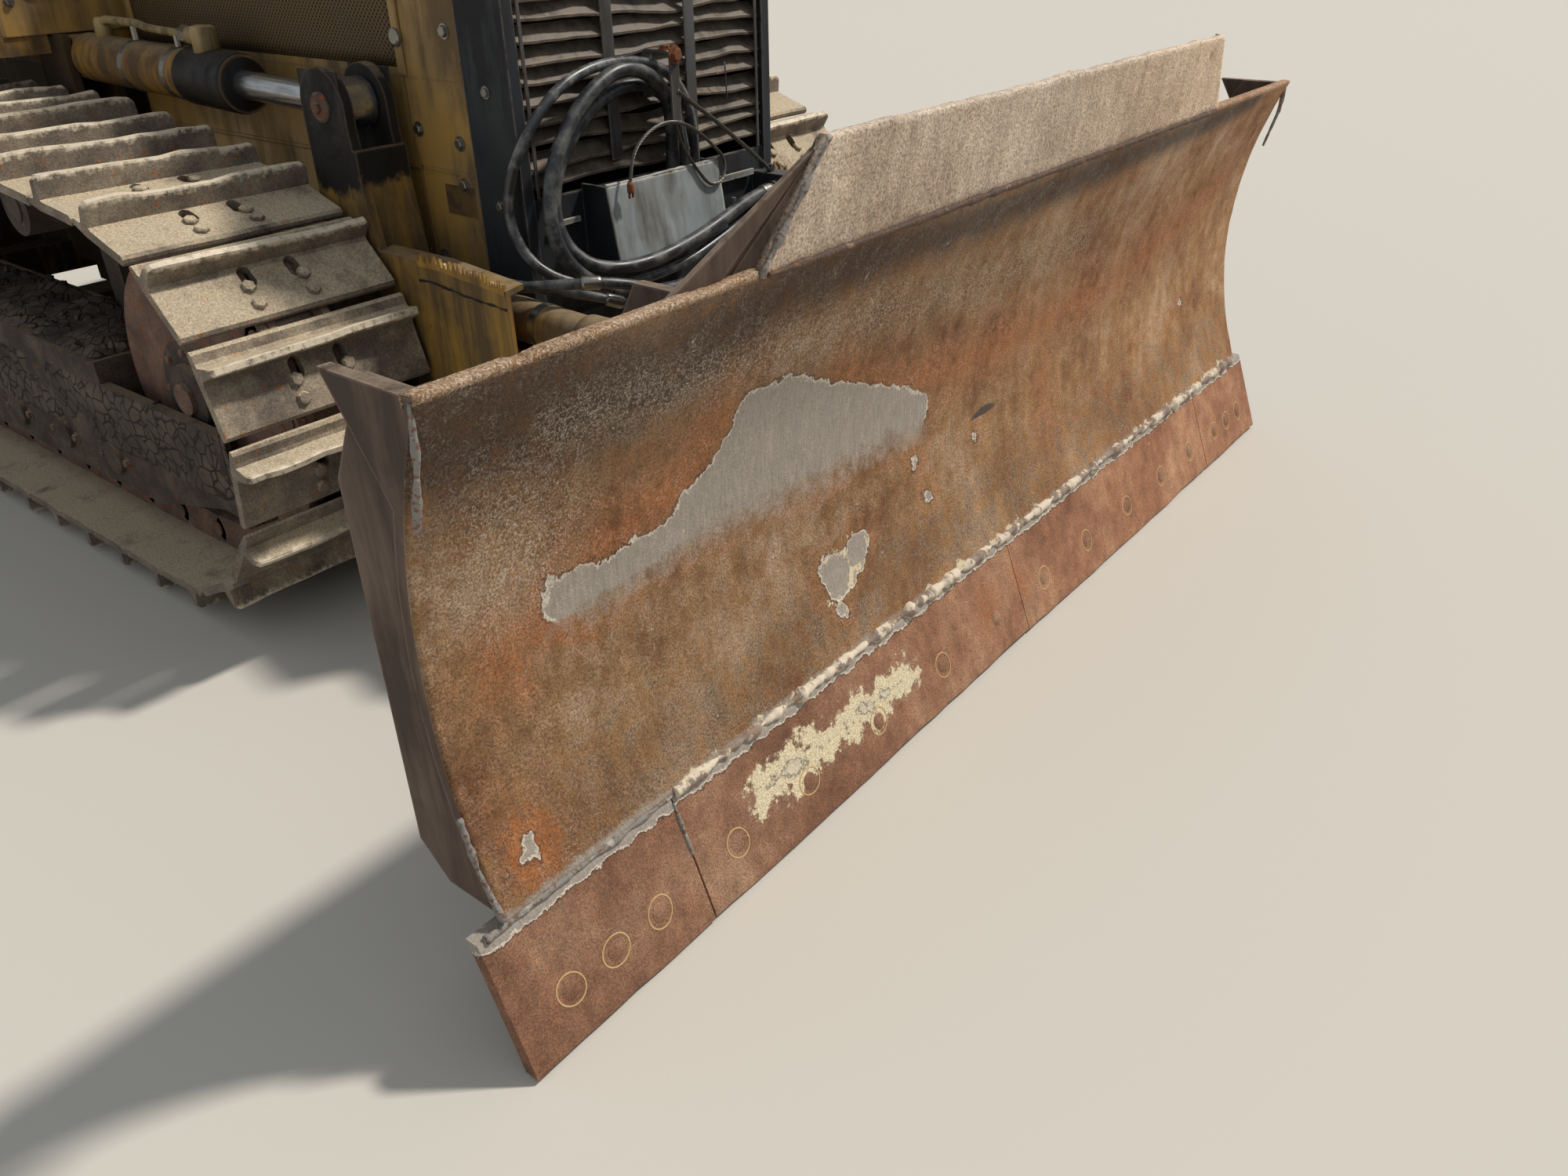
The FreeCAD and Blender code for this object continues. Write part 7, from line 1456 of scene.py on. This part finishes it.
for side, sign in (("left", 1), ("right", -1)):
    sx, sz = np.meshgrid(np.linspace(-1.45, 0.90, 170), np.linspace(0.300, 0.4885, 22))
    inwards = np.minimum(np.minimum(sx + 1.45, 0.90 - sx) / 0.05, np.minimum(sz - 0.300, 0.4885 - sz) / 0.02)
    bulge = np.clip(inwards, 0, 1) * (0.007 + 0.009 * lumps(sx, sz, 0.11, 201 + sign, 4))
    wall_soil = np.stack([sx, sign * (1.0775 + np.clip(bulge, 0, 0.022)), sz], axis=-1)
    tx, ty = np.meshgrid(np.linspace(-1.46, 0.285, 130), np.linspace(0.785, 1.072, 26))
    inwards = np.minimum(np.minimum(tx + 1.46, 0.285 - tx) / 0.06, np.minimum(ty - 0.785, 1.072 - ty) / 0.05)
    heap = np.clip(inwards, 0, 1) ** 0.6 * (0.020 + 0.020 * lumps(tx, ty, 0.14, 211 + sign, 4))
    top_soil = np.stack([tx, sign * ty, 0.5475 + np.clip(heap, 0, 0.045)], axis=-1)
    parts = [(wall_soil, grid_faces(22, 170)), (top_soil, grid_faces(26, 130))]
    piece = put("frame_soil_" + side, *together(parts), clay, "root", "dirty_frame", merge=None)
    wall = piece.modifiers.new("wall", "SOLIDIFY")
    wall.thickness, wall.offset = 0.002, 0.0
    # Clods: a few dozen faces each, set on the beam and in the frame's corners
    chance = np.random.default_rng(221 + sign)
    ball = np.stack([np.concatenate([circle(r, 8), np.full((8, 1), h)], axis=1)
                     for r, h in ((0.001, -0.9), (0.75, -0.55), (1.0, 0.0), (0.7, 0.62), (0.001, 0.85))])
    clods = []
    for x_at, y_at, size in zip(chance.uniform(-1.40, 0.90, 150), chance.uniform(0.80, 1.06, 150),
                                chance.uniform(0.006, 0.020, 150)):
        level = 0.565 if x_at < 0.28 else 0.492
        stretch = chance.uniform(0.7, 1.3, 3)
        knobs = 1 + 0.3 * chance.uniform(-1, 1, (5, 8, 1))
        if x_at < 0.28 or y_at > 1.055:
            clods.append((ball * knobs * size * stretch + (x_at, sign * y_at, level),
                          grid_faces(5, 8, wrap=True)))
    put("frame_clods_" + side, *together(clods), clay, "root", "dirty_frame", smooth=False, merge=1e-5)

# Hubs: cast covers with rings of bolts on the final drives and idlers, and
# the rollers' shaft ends in their collars, two bolts to each
def disc(x_at, z_at, levels, radii, sign, around=36):
    """A round cover standing on a side face: rings about an axis across the machine."""
    line = np.array([[x_at, sign * y, z_at] for y in levels])
    return (*tube_along(line, radii, (0, 0, 1), around), [])


def bolt_ring(x_at, z_at, y_at, reach, count, sign, size=0.013):
    """Bolts evenly round a circle on a side face."""
    return [hex_bolt((x_at + a, sign * y_at, z_at + b), (0, sign, 0), size, 0.011)
            for a, b in circle(reach, count)]


for side, sign in (("left", 1), ("right", -1)):
    covers = [
        disc(-1.900, 0.600, (1.012, 1.030, 1.034, 1.052, 1.056, 1.058),
             (0.214, 0.212, 0.150, 0.145, 0.138, 0.060), sign),
        disc(0.700, 0.530, (1.003, 1.022, 1.026, 1.040, 1.043), (0.150, 0.140, 0.085, 0.080, 0.070), sign),
    ]
    bolts = bolt_ring(-1.900, 0.600, 1.0305, 0.180, 12,
                      sign) + bolt_ring(-1.900, 0.600, 0.9635, 0.300, 26, sign)
    bolts += bolt_ring(0.700, 0.530, 1.022, 0.112, 8, sign, 0.010)
    for number in range(7):
        x_at = -1.540 + number * (0.250 + 1.540) / 6
        covers.append(disc(x_at, 0.2695, (1.0785, 1.092, 1.094), (0.048, 0.046, 0.040), sign, 20))
        bolts += [hex_bolt((x_at + reach, sign * 1.0805, 0.2695), (0, sign, 0), 0.011, 0.011)
                  for reach in (-0.068, 0.068)]
    for x_at in (-0.060, -1.150):
        covers.append(disc(x_at, 0.890, (0.990, 1.001, 1.003), (0.052, 0.050, 0.042), sign, 20))
    put("hub_covers_" + side, *solids(*covers), frame_soil, "root", "cast_iron",
        merge=1e-5).data.set_sharp_from_angle(
        angle=math.radians(35))
    put("hub_bolts_" + side, *solids(*bolts), link_steel, "root", "cast_iron", smooth=False, merge=1e-5)

# Hood side, low part: the side panels' lapped seam, a blank plate let into the
# front corner, two drain holes and the latches of the doors
blank_plate = bare_metal("blank_tarnished_plate", "#7A6238", "#5C4A2E", "#4E3822", rusty=0.5, grain=60,
                         shine=0.5, metal=0.2)
# Drain holes: a disc painted near black, painted shade where each hole opens into the dark inside.
drain, tree, shader, place = new_material("drain_hole_painted_shade")
dust_in = add(tree, "TexNoise", {"Vector": place, "Scale": 90.0})
fill(shader, {
    "Base Color": add(tree, "Mix", {0: dust_in, 6: "#0A0908", 7: "#1E1913"}, data_type="RGBA"),
    "Normal": add(tree, "Bump", {"Distance": 0.001, "Height": dust_in}), "Roughness": 0.95})
laps, plates, drains, latches = [], [], [], []
for sign in (-1, 1):
    span = lambda low, high: tuple(sorted((sign * (nose_half + low), sign * (nose_half + high))))
    laps.append(bar((-0.325, 1.180), span(-0.001, 0.0022), (1.0075, 1.0165), 0.001))
    laps.append(bar((0.984, 0.990), span(-0.001, 0.0022), (0.700, 1.215), 0.001))
    plates.append(bar((1.063, 1.172), span(-0.001, 0.0020), (0.912, 0.981), 0.001))
    for x_at, z_at in ((-0.183, 0.962), (-0.014, 0.962)):
        drains.append(disc(x_at, z_at, (nose_half - 0.001, nose_half + 0.0008), (0.013, 0.013), sign, 16))
    latches += [disc(0.968, z_at, (nose_half + 0.004, nose_half + 0.012, nose_half + 0.014),
                     (0.021, 0.020, 0.014), sign, 18)
                for z_at in (1.30, 1.58)]
for name, pieces, coat, slot_name in (
        ("side_seam_laps", laps, machine_yellow, "yellow_paint"),
        ("blank_plates", plates, blank_plate, "yellow_paint"),
        ("drain_holes", drains, drain, "dirty_frame"),
        ("door_latches", latches, plated_bolt, "grille_steel")):
    put(name, *solids(*pieces), coat, "root", slot_name, smooth=False, merge=1e-5)

# Cab glazing: panes held in black rubber channels, one moulded loop to a pane,
# pressed over the edge of the opening; it has gone grey and chalky outside.
def loop_tube(line, ring, side):
    """A closed round of rings carried along a closed line: each ring's plane is square to it."""
    ahead_of = np.roll(line, -1, axis=0) - np.roll(line, 1, axis=0)
    ahead_of /= np.linalg.norm(ahead_of, axis=1, keepdims=True)
    across = np.cross(np.asarray(side, float), ahead_of)
    across /= np.linalg.norm(across, axis=1, keepdims=True)
    rings = line[:, None] + ring[None, :, :1] * across[:, None] + ring[None, :, 1:] * np.asarray(side, float)
    faces = grid_faces(len(line) + 1, len(ring), wrap=True) % (len(line) * len(ring))
    return rings, faces


def pane_edge(axis, at, low, high, round_off=0.045):
    """A rectangle with rounded corners in the plane square to an axis, as a closed line."""
    (u0, v0), (u1, v1) = low, high
    spots = []
    for cu, cv, start in ((u1 - round_off, v1 - round_off, 0), (u0 + round_off, v1 - round_off, 90),
                          (u0 + round_off, v0 + round_off, 180), (u1 - round_off, v0 + round_off, 270)):
        ray = np.radians(start + np.linspace(0, 90, 7))
        spots.append(np.stack([cu + round_off * np.cos(ray), cv + round_off * np.sin(ray)], axis=1))
    return np.insert(np.concatenate(spots), axis, at, axis=1)


seal_rubber = rubber("chalky_window_rubber", "#1D1D1E", "#5C5A55", 0.6)
lip = np.array([(-0.014, -0.004), (-0.014, 0.004), (-0.006, 0.008), (0.006, 0.008), (0.013, 0.003),
                (0.013, -0.004)])
root_seals = [loop_tube(pane_edge(0, x_at, low, high), lip * (1, out), (1, 0, 0)) for x_at, out, low,
              high in (
    (-0.400, 1, (-0.694, 1.766), (0.694, 2.784)), (-0.400, 1, (0.493, 1.366), (0.694, 1.694)),
    (-0.400, 1, (-0.694, 1.366), (-0.493, 1.694)), (-1.660, -1, (-0.694, 1.996), (0.694, 2.784)))]
root_seals += [loop_tube(pane_edge(1, sign * 0.770, (-1.550, 1.996), (-1.346, 2.784)), lip * (1, sign),
                         (0, 1, 0))
               for sign in (-1, 1)]
put("cab_window_rubber", *together(root_seals), seal_rubber, "root", "black_plastic", merge=None)
plastic, tree, shader, place = new_material("scuffed_black_plastic")
hair = add(tree, "TexNoise", {"Vector": place, "Scale": 240.0, "Detail": 3.0})
film = add(tree, "TexNoise", {"Vector": place, "Scale": 12.0, "Detail": 6.0})
dusted = add(tree, "MapRange", {0: film, 1: 0.45, 2: 0.7})
fill(shader, {
    "Base Color": add(tree, "Mix", {0: dusted, 6: "#1B1C1E", 7: "#4C4842"}, data_type="RGBA"),
    "Roughness": add(tree, "MapRange", {0: film, 1: 0.3, 2: 0.7, 3: 0.35, 4: 0.6}),
    "Normal": add(tree, "Bump", {"Strength": 0.2, "Distance": 0.0004, "Height": hair})})
for side, sign in (("left", 1), ("right", -1)):
    door = "door_" + side
    seals = [loop_tube(pane_edge(1, sign * 0.770, low, high), lip * (1, sign), (0, 1, 0))
             for low, high in (((-1.188, 1.436), (-0.622, 1.854)), ((-1.188, 1.946), (-0.622, 2.718)))]
    put("door_window_rubber_" + side, *together(seals), seal_rubber, door, "black_plastic", merge=None)
    # Door handle: a cast grip on two feet over a round lock, on the middle rail
    grip = np.array([(-0.760, 0.768, 1.900), (-0.760, 0.795, 1.900), (-0.750, 0.806, 1.900),
                     (-0.650, 0.808, 1.900),
                     (-0.640, 0.795, 1.900), (-0.640, 0.768, 1.900)]) * (1, sign, 1)
    lock = np.array([[-0.600, sign * y, 1.900] for y in (0.768, 0.780, 0.783)])
    put("door_handle_" + side, *together([tube_along(evenly(grip, 0.006), 0.0085, (0, 0, 1), 12),
                                          tube_along(lock, [0.019, 0.018, 0.012], (0, 0, 1), 18)]),
        plastic, door, "black_plastic", merge=1e-5)
    # Grab rail: a bent tube by the door, and a drip rail over it
    rail = np.array([(-0.487, 0.768, 1.420), (-0.487, 0.815, 1.420), (-0.487, 0.828, 1.440),
                     (-0.487, 0.828, 2.080),
                     (-0.487, 0.815, 2.100), (-0.487, 0.768, 2.100)]) * (1, sign, 1)
    drip = np.array([(-1.330, 0.778, 2.812), (-0.480, 0.778, 2.812)]) * (1, sign, 1)
    put("cab_grab_rail_" + side, *together([tube_along(evenly(rail, 0.008), 0.011, (1, 0, 0), 14),
                                            tube_along(evenly(drip, 0.02), 0.010, (0, 0, 1), 8)]),
        cab_black, "root", "black_paint", merge=1e-5)

# Wipers: pressed arms from a capped spindle, each with a rubber blade
arms, blades_of = [], []
for x_at, out, z_at, top_at in ((-0.400, 1, 1.745, 2.30), (-1.660, -1, 1.975, 2.50)):
    arms += [tube_along(np.array([[x_at + out * d, 0.05, z_at] for d in (-0.002, 0.026, 0.030)]),
                        [0.019, 0.017, 0.010],
                        (0, 0, 1), 16),
             tube_along(evenly(np.array([(x_at + out * 0.022, 0.05, z_at),
                                         (x_at + out * 0.024, 0.20, (z_at + top_at) / 2),
                                         (x_at + out * 0.016, 0.31, top_at)]), 0.01), 0.006, (1, 0, 0), 8)]
    blades_of.append(bar((x_at + out * 0.011 - 0.003, x_at + out * 0.011 + 0.003), (0.303, 0.317),
                         (top_at - 0.27, top_at + 0.27), 0.001))
put("wiper_arms", *together(arms), plastic, "root", "black_plastic", merge=1e-5)
put("wiper_blades", *solids(*blades_of), seal_rubber, "root", "black_plastic", smooth=False)

# Work lamps: a ribbed lens in a bezel before a dished reflector, on a yoke
lens_glass, tree, shader, place = new_material("ribbed_lamp_glass")
ribs_at = add(tree, "TexWave", {"Vector": place, "Scale": 28.0}, wave_type="BANDS", bands_direction="Y")
film = add(tree, "TexNoise", {"Vector": place, "Scale": 20.0, "Detail": 6.0})
fill(shader, {
    "Base Color": add(tree, "Mix", {0: film, 6: "#DADFE0", 7: "#9C978A"}, data_type="RGBA"),
    "Roughness": add(tree, "MapRange", {0: film, 1: 0.3, 2: 0.7, 3: 0.12, 4: 0.4}),
    "Normal": add(tree, "Bump", {"Strength": 0.6, "Distance": 0.002, "Height": ribs_at.outputs["Fac"]}),
    "Metallic": 0.35})
bezels, lenses, feet = [], [], []
frame_ring = np.array([(-0.008, -0.004), (-0.008, 0.009), (0.006, 0.009), (0.008, 0.004), (0.008, -0.004)])
for x_at, out in ((-0.320, 1), (-1.740, -1)):
    for y_at in (-0.560, 0.560):
        edge_line = pane_edge(0, x_at, (y_at - 0.060, 2.965), (y_at + 0.060, 3.055), 0.018)
        bezels.append(loop_tube(edge_line, frame_ring * (1, out), (1, 0, 0)))
        crown = np.array([[x_at + out * d, y_at, 3.010] for d in (-0.001, 0.003, 0.0055, 0.0065)])
        square = np.stack([circle(r, 4) @ np.array([[0.7071, 0.7071], [-0.7071, 0.7071]])
                           for r in (1.0, 1.0, 0.9, 0.6)])
        rings = np.stack([np.stack([np.full(4, c[0]), y_at + s[:, 0] * 0.078, 3.010 + s[:, 1] * 0.058],
                                   axis=1)
                          for c, s in zip(crown, square)])
        lenses.append((rings, grid_faces(4, 4, wrap=True), [[0, 1, 2, 3], [12, 13, 14, 15]]))
        feet += [hex_bolt((x_at - out * 0.035, y_at + across, 3.0), (0, np.sign(across), 0), 0.012, 0.010)
                 for across in (-0.070, 0.070)]
put("lamp_bezels", *together(bezels), plastic, "root", "black_plastic", merge=None)
put("lamp_lenses", *solids(*lenses), lens_glass, "root", "lamp_glass", smooth=False)
put("lamp_bolts", *solids(*feet), plated_bolt, "root", "black_plastic", smooth=False, merge=1e-5)

# Operator's seat: foam cushions under sewn vinyl on a bellows that hides its
# springs. The panels pull in at the seams and are piped round their edges.
def soft(value, power):
    """A number's power that keeps its sign."""
    return np.sign(value) * np.abs(value) ** power


def padded_form(name, centre, half, cap, creases):
    """A cushion: a closed rounded block x = a cos(v)^e cos(u)^e, y = b cos(v)^e sin(u)^e,
    z = c sin(v)^e, remeshed and blown up as cloth with pressure, no point moving further than the
    cap. Points near a crease line are then drawn in towards the middle."""
    u, v = np.meshgrid(np.linspace(0, 2 * np.pi, 96, endpoint=False), np.linspace(-np.pi / 2, np.pi / 2, 49))
    reach = np.asarray(half) - cap * 0.7
    grid = np.stack([reach[0] * soft(np.cos(v), 0.3) * soft(np.cos(u), 0.3),
                     reach[1] * soft(np.cos(v), 0.3) * soft(np.sin(u), 0.3),
                     reach[2] * soft(np.sin(v), 0.3)], axis=-1)
    piece = put(name, grid + centre, grid_faces(49, 96, wrap=True), seat_vinyl, "root", "seat_vinyl",
                merge=1e-4)
    scene = bpy.context.scene
    piece.modifiers.new("even", "REMESH").voxel_size = 0.006
    even = bpy.data.meshes.new_from_object(piece.evaluated_get(bpy.context.evaluated_depsgraph_get()))
    piece.modifiers.clear()
    piece.data = even
    start = np.empty(len(even.vertices) * 3)
    even.vertices.foreach_get("co", start)
    swell = piece.modifiers.new("swell", "CLOTH")
    swell.settings.use_pressure = True
    swell.settings.uniform_pressure_force = 4.0
    swell.settings.effector_weights.gravity = 0.0
    for number in range(1, 21):
        scene.frame_set(number)
    blown = piece.evaluated_get(bpy.context.evaluated_depsgraph_get()).to_mesh()
    moved = np.empty(len(blown.vertices) * 3)
    blown.vertices.foreach_get("co", moved)
    piece.evaluated_get(bpy.context.evaluated_depsgraph_get()).to_mesh_clear()
    piece.modifiers.clear()
    scene.frame_set(1)
    start, moved = start.reshape(-1, 3), moved.reshape(-1, 3)
    way = moved - start
    far = np.linalg.norm(way, axis=1, keepdims=True)
    even.vertices.foreach_set("co", (start + way * np.minimum(1, cap / np.maximum(far, 1e-9))).ravel())
    even.polygons.foreach_set("use_smooth", np.full(len(even.polygons), True))
    even.update()
    points = np.empty(len(piece.data.vertices) * 3)
    piece.data.vertices.foreach_get("co", points)
    points = points.reshape(-1, 3)
    for axis, at, deep in creases:
        near = np.exp(-((points[:, axis] - at) / 0.009) ** 2)[:, None]
        points += near * (np.asarray(centre) - points) * (np.arange(3) != axis) * deep
    piece.data.vertices.foreach_set("co", points.ravel())
    piece.data.update()
    finer = piece.modifiers.new("finer", "SUBSURF")
    finer.levels = finer.render_levels = 1
    return piece


cushion = padded_form("seat_cushion", (-1.015, 0, 1.612), (0.247, 0.262, 0.064), 0.012,
                      ((1, -0.13, 0.06), (1, 0.13, 0.06), (0, -0.98, 0.05)))
backrest = padded_form("seat_backrest", (-1.322, 0, 1.930), (0.068, 0.262, 0.315), 0.012,
                       ((1, -0.13, 0.06), (1, 0.13, 0.06), (2, 2.06, 0.05), (2, 1.82, 0.05)))
# Base: a rubber bellows with five folds between a floor plate and the seat pan
fold_z = np.linspace(1.300, 1.520, 31)
fold = 0.012 * np.cos(np.linspace(0, 10 * np.pi, 31))
square = pane_edge(2, 0.0, (-0.150, -0.185), (0.150, 0.185), 0.05)[:, :2]
bellows = np.stack([np.concatenate([
    square * (1 + f / 0.17) + (-1.075, 0),
    np.full((len(square), 1), z)], axis=1) for z, f in zip(fold_z, fold)])
count = len(square)
pan = bar((-1.290, -0.800), (-0.235, 0.235), (1.516, 1.552), 0.010)
foot = bar((-1.245, -0.905), (-0.195, 0.195), (1.2635, 1.304), 0.008)
shell_back = bar((-1.408, -1.372), (-0.225, 0.225), (1.560, 2.150), 0.012)
put("seat_bellows", *solids( (bellows, grid_faces(31, count, wrap=True),
                              [list(range(count)),
                               list(range(30 * count,
                                          31 * count))])), seal_rubber, "root", "black_plastic", replaced=("operator_seat",))
put("seat_pan", *solids(pan, foot, shell_back), plastic, "root", "black_plastic", smooth=False)

# Controls: two levers with round grips, a blank screen and three blank dials in
# bezels on the panel, two pedals and a ribbed floor mat
sticks, knobs = [], []
for x_at, y_at, tall in ((-0.800, 0.380, 0.13), (-0.800, 0.450, 0.13), (-0.930, 0.415, 0.17)):
    sticks.append(tube_along(np.array([(x_at, y_at, 1.845), (x_at + 0.006, y_at, 1.850 + tall * 0.6),
                                       (x_at + 0.02, y_at, 1.850 + tall)]), 0.006, (0, 1, 0), 10))
    knobs.append(tube_along(np.array([(x_at + 0.018, y_at, 1.845 + tall), (x_at + 0.020, y_at, 1.855 + tall),
                                      (x_at + 0.024, y_at, 1.880 + tall),
                                      (x_at + 0.025, y_at, 1.892 + tall)]),
                            [0.012, 0.020, 0.019, 0.010], (0, 1, 0), 16))
put("lever_sticks", *together(sticks), plated_bolt, "root", "chrome_rod", merge=1e-5)
dials = [bar((-0.578, -0.569), (-0.110, 0.110), (1.700, 1.850), 0.004)]
boots = [bar((-0.985, -0.745), (0.350, 0.480), (1.848, 1.858), 0.004)]
pedals = [bar((-0.660, -0.640), (y - 0.05, y + 0.05), (1.290, 1.400), 0.006) for y in (-0.12, 0.12)]
put("cab_controls", *solids(*[(p, f, []) for p, f in knobs], *dials, *boots, *pedals), plastic, "root",
    "black_plastic", smooth=False, merge=None)
mat = bar((-1.600, -0.600), (-0.700, 0.700), (1.2625, 1.2665), 0.001)
put("cab_floor_mat", *solids(mat), seal_rubber, "root", "black_plastic", smooth=False)

# Exhaust and air cleaner: rolled seams and clamp bands, a hinged rain flap on
# the pipe and a domed cap on the bowl, all browned or sooty
stack_rings = [
    tube_along(np.array([(0.420, -0.140, z) for z in (low, low + 0.004, low + 0.012, low + 0.016)]),
                          np.array([reach, reach + 0.005, reach + 0.005, reach]), (1, 0, 0), 40)
               for low, reach in ((1.745, 0.094), (1.880, 0.094), (2.015, 0.094), (2.060, 0.051),
                                  (2.400, 0.051))]
flap = [tube_along(np.array([(0.420, -0.140, z) for z in (2.4785, 2.481, 2.486, 2.488)]),
                   [0.058, 0.060, 0.060, 0.050],
                   (1, 0, 0), 32),
        tube_along(evenly(np.array([(0.355, -0.140, 2.470), (0.348, -0.140, 2.495),
                                    (0.300, -0.140, 2.500)]), 0.01),
                   0.008, (0, 1, 0), 10)]
put("exhaust_bands", *together(stack_rings + flap), stack_steel, "root", "exhaust_steel", merge=1e-5)
bowl = [tube_along(np.array([(0.060, 0.150, z) for z in (low, low + 0.004, low + 0.014, low + 0.018)]),
                   np.array([0.119, 0.125, 0.125, 0.119]), (1, 0, 0), 48) for low in (1.935, 2.010, 2.085)]
bowl.append(tube_along(np.array([(0.060, 0.150, z) for z in (2.117, 2.128, 2.142, 2.152, 2.157)]),
                       [0.128, 0.124, 0.100, 0.060, 0.020], (1, 0, 0), 48))
put("air_cleaner_bands", *together(bowl), cab_black, "root", "black_paint", merge=1e-5)

# Fuel tank: welded box with a vented cap on a neck, and a sight strip; the
# rails' feet are flanges held by bolts; a pin hangs in the drawbar's clevis
tank_parts = [tube_along(np.array([(-1.950, -0.350, z) for z in (1.925, 1.945, 1.950)]),
                         [0.060, 0.058, 0.052], (1, 0, 0), 30),
              tube_along(np.array([(-1.950, -0.350, z) for z in (1.948, 1.952, 1.980, 1.990, 1.993)]),
                         [0.066, 0.070, 0.070, 0.062, 0.030], (1, 0, 0), 12)]
rail_feet = [tube_along(np.array([(x_at, sign * 1.120, z) for z in (1.2615, 1.272, 1.274)]),
                        [0.042, 0.042, 0.030], (1, 0, 0), 24)
             for x_at in (-1.950, -1.500) for sign in (-1, 1)]
pin = [tube_along(np.array([(-2.430, 0, z) for z in (0.400, 0.405, 0.566, 0.568, 0.592, 0.598)]),
                  [0.018, 0.0245, 0.0245, 0.040, 0.040, 0.034], (1, 0, 0), 24)]
put("tank_cap", *together(tank_parts), cab_black, "root", "black_paint", smooth=False, merge=1e-5)
put("rail_feet", *together(rail_feet), cab_black, "root", "black_paint", smooth=False, merge=1e-5)
put("drawbar_pin", *together(pin), rusty_fitting, "root", "cast_iron", smooth=False, merge=1e-5)
foot_bolts = [hex_bolt((x_at + a, sign * 1.120 + b, 1.272), (0, 0, 1), 0.007, 0.006, washer=False)
              for x_at in (-1.950, -1.500) for sign in (-1, 1) for a, b in circle(0.031, 4)]
# Rows of bolts: hood's top edges, tank's rear face and the cab roof's rim
rows_at = [((x_at, sign * 0.330, 1.7195), (0, 0, 1)) for x_at in np.linspace(-0.28, 1.12, 8)
           for sign in (-1, 1)]
rows_at += [((-2.2405, y_at, z_at), (-1, 0, 0)) for y_at in np.linspace(-0.55, 0.55, 6)
            for z_at in (1.30, 1.72)]
rows_at += [((-0.3995, y_at, z_at), (1, 0, 0)) for y_at in (-0.735, 0.735)
            for z_at in np.linspace(1.35, 2.75, 6)]
put("panel_bolts", *solids(*[hex_bolt(at, out, 0.010, 0.008) for at, out in rows_at], *foot_bolts),
    plated_bolt, "root", "yellow_paint", smooth=False, merge=1e-5)
for side, sign in (("left", 1), ("right", -1)):
    # Tread plate: raised bars in pairs that lean both ways keep boots from slipping
    tread_at = [(x_at, y_at, lean) for row, x_at in enumerate(np.arange(-2.06, -0.46, 0.06))
                for col, y_at in enumerate(np.arange(0.845, 1.175, 0.06)) for lean in [(-1) ** (row + col)]]
    nub = np.array([(-0.019, 0, 0), (-0.010, 0.0045, 0.0022), (0.010, 0.0045, 0.0022), (0.019, 0, 0),
                    (0.010, -0.0045, 0.0022), (-0.010, -0.0045, 0.0022)])
    spots = np.array([(x_at, y_at) for x_at, y_at, lean in tread_at])
    slant = np.array([lean for x_at, y_at, lean in tread_at])[:, None] * 0.7071
    nubs = np.stack([spots[:, :1] + 0.7071 * nub[:, 0] - slant * nub[:, 1],
                     sign * (spots[:, 1:] + slant * nub[:, 0] + 0.7071 * nub[:, 1]),
                     1.2618 + np.broadcast_to(nub[:, 2], (len(spots), 6))], axis=-1)
    flat = nubs - (0, 0, 0.004)
    both_levels = np.stack([flat, nubs], axis=1)
    each = grid_faces(2, 6, wrap=True)
    count = len(spots)
    ends = [[12 * k + v for v in face] for k in range(count)
            for face in ((0, 1, 2, 3, 4, 5), (6, 7, 8, 9, 10, 11))]
    put("deck_tread_" + side, both_levels, copies(both_levels.reshape(count, 12, 3), each), frame_yellow,
        "root",
        "yellow_paint", smooth=False, ends=ends, merge=None)
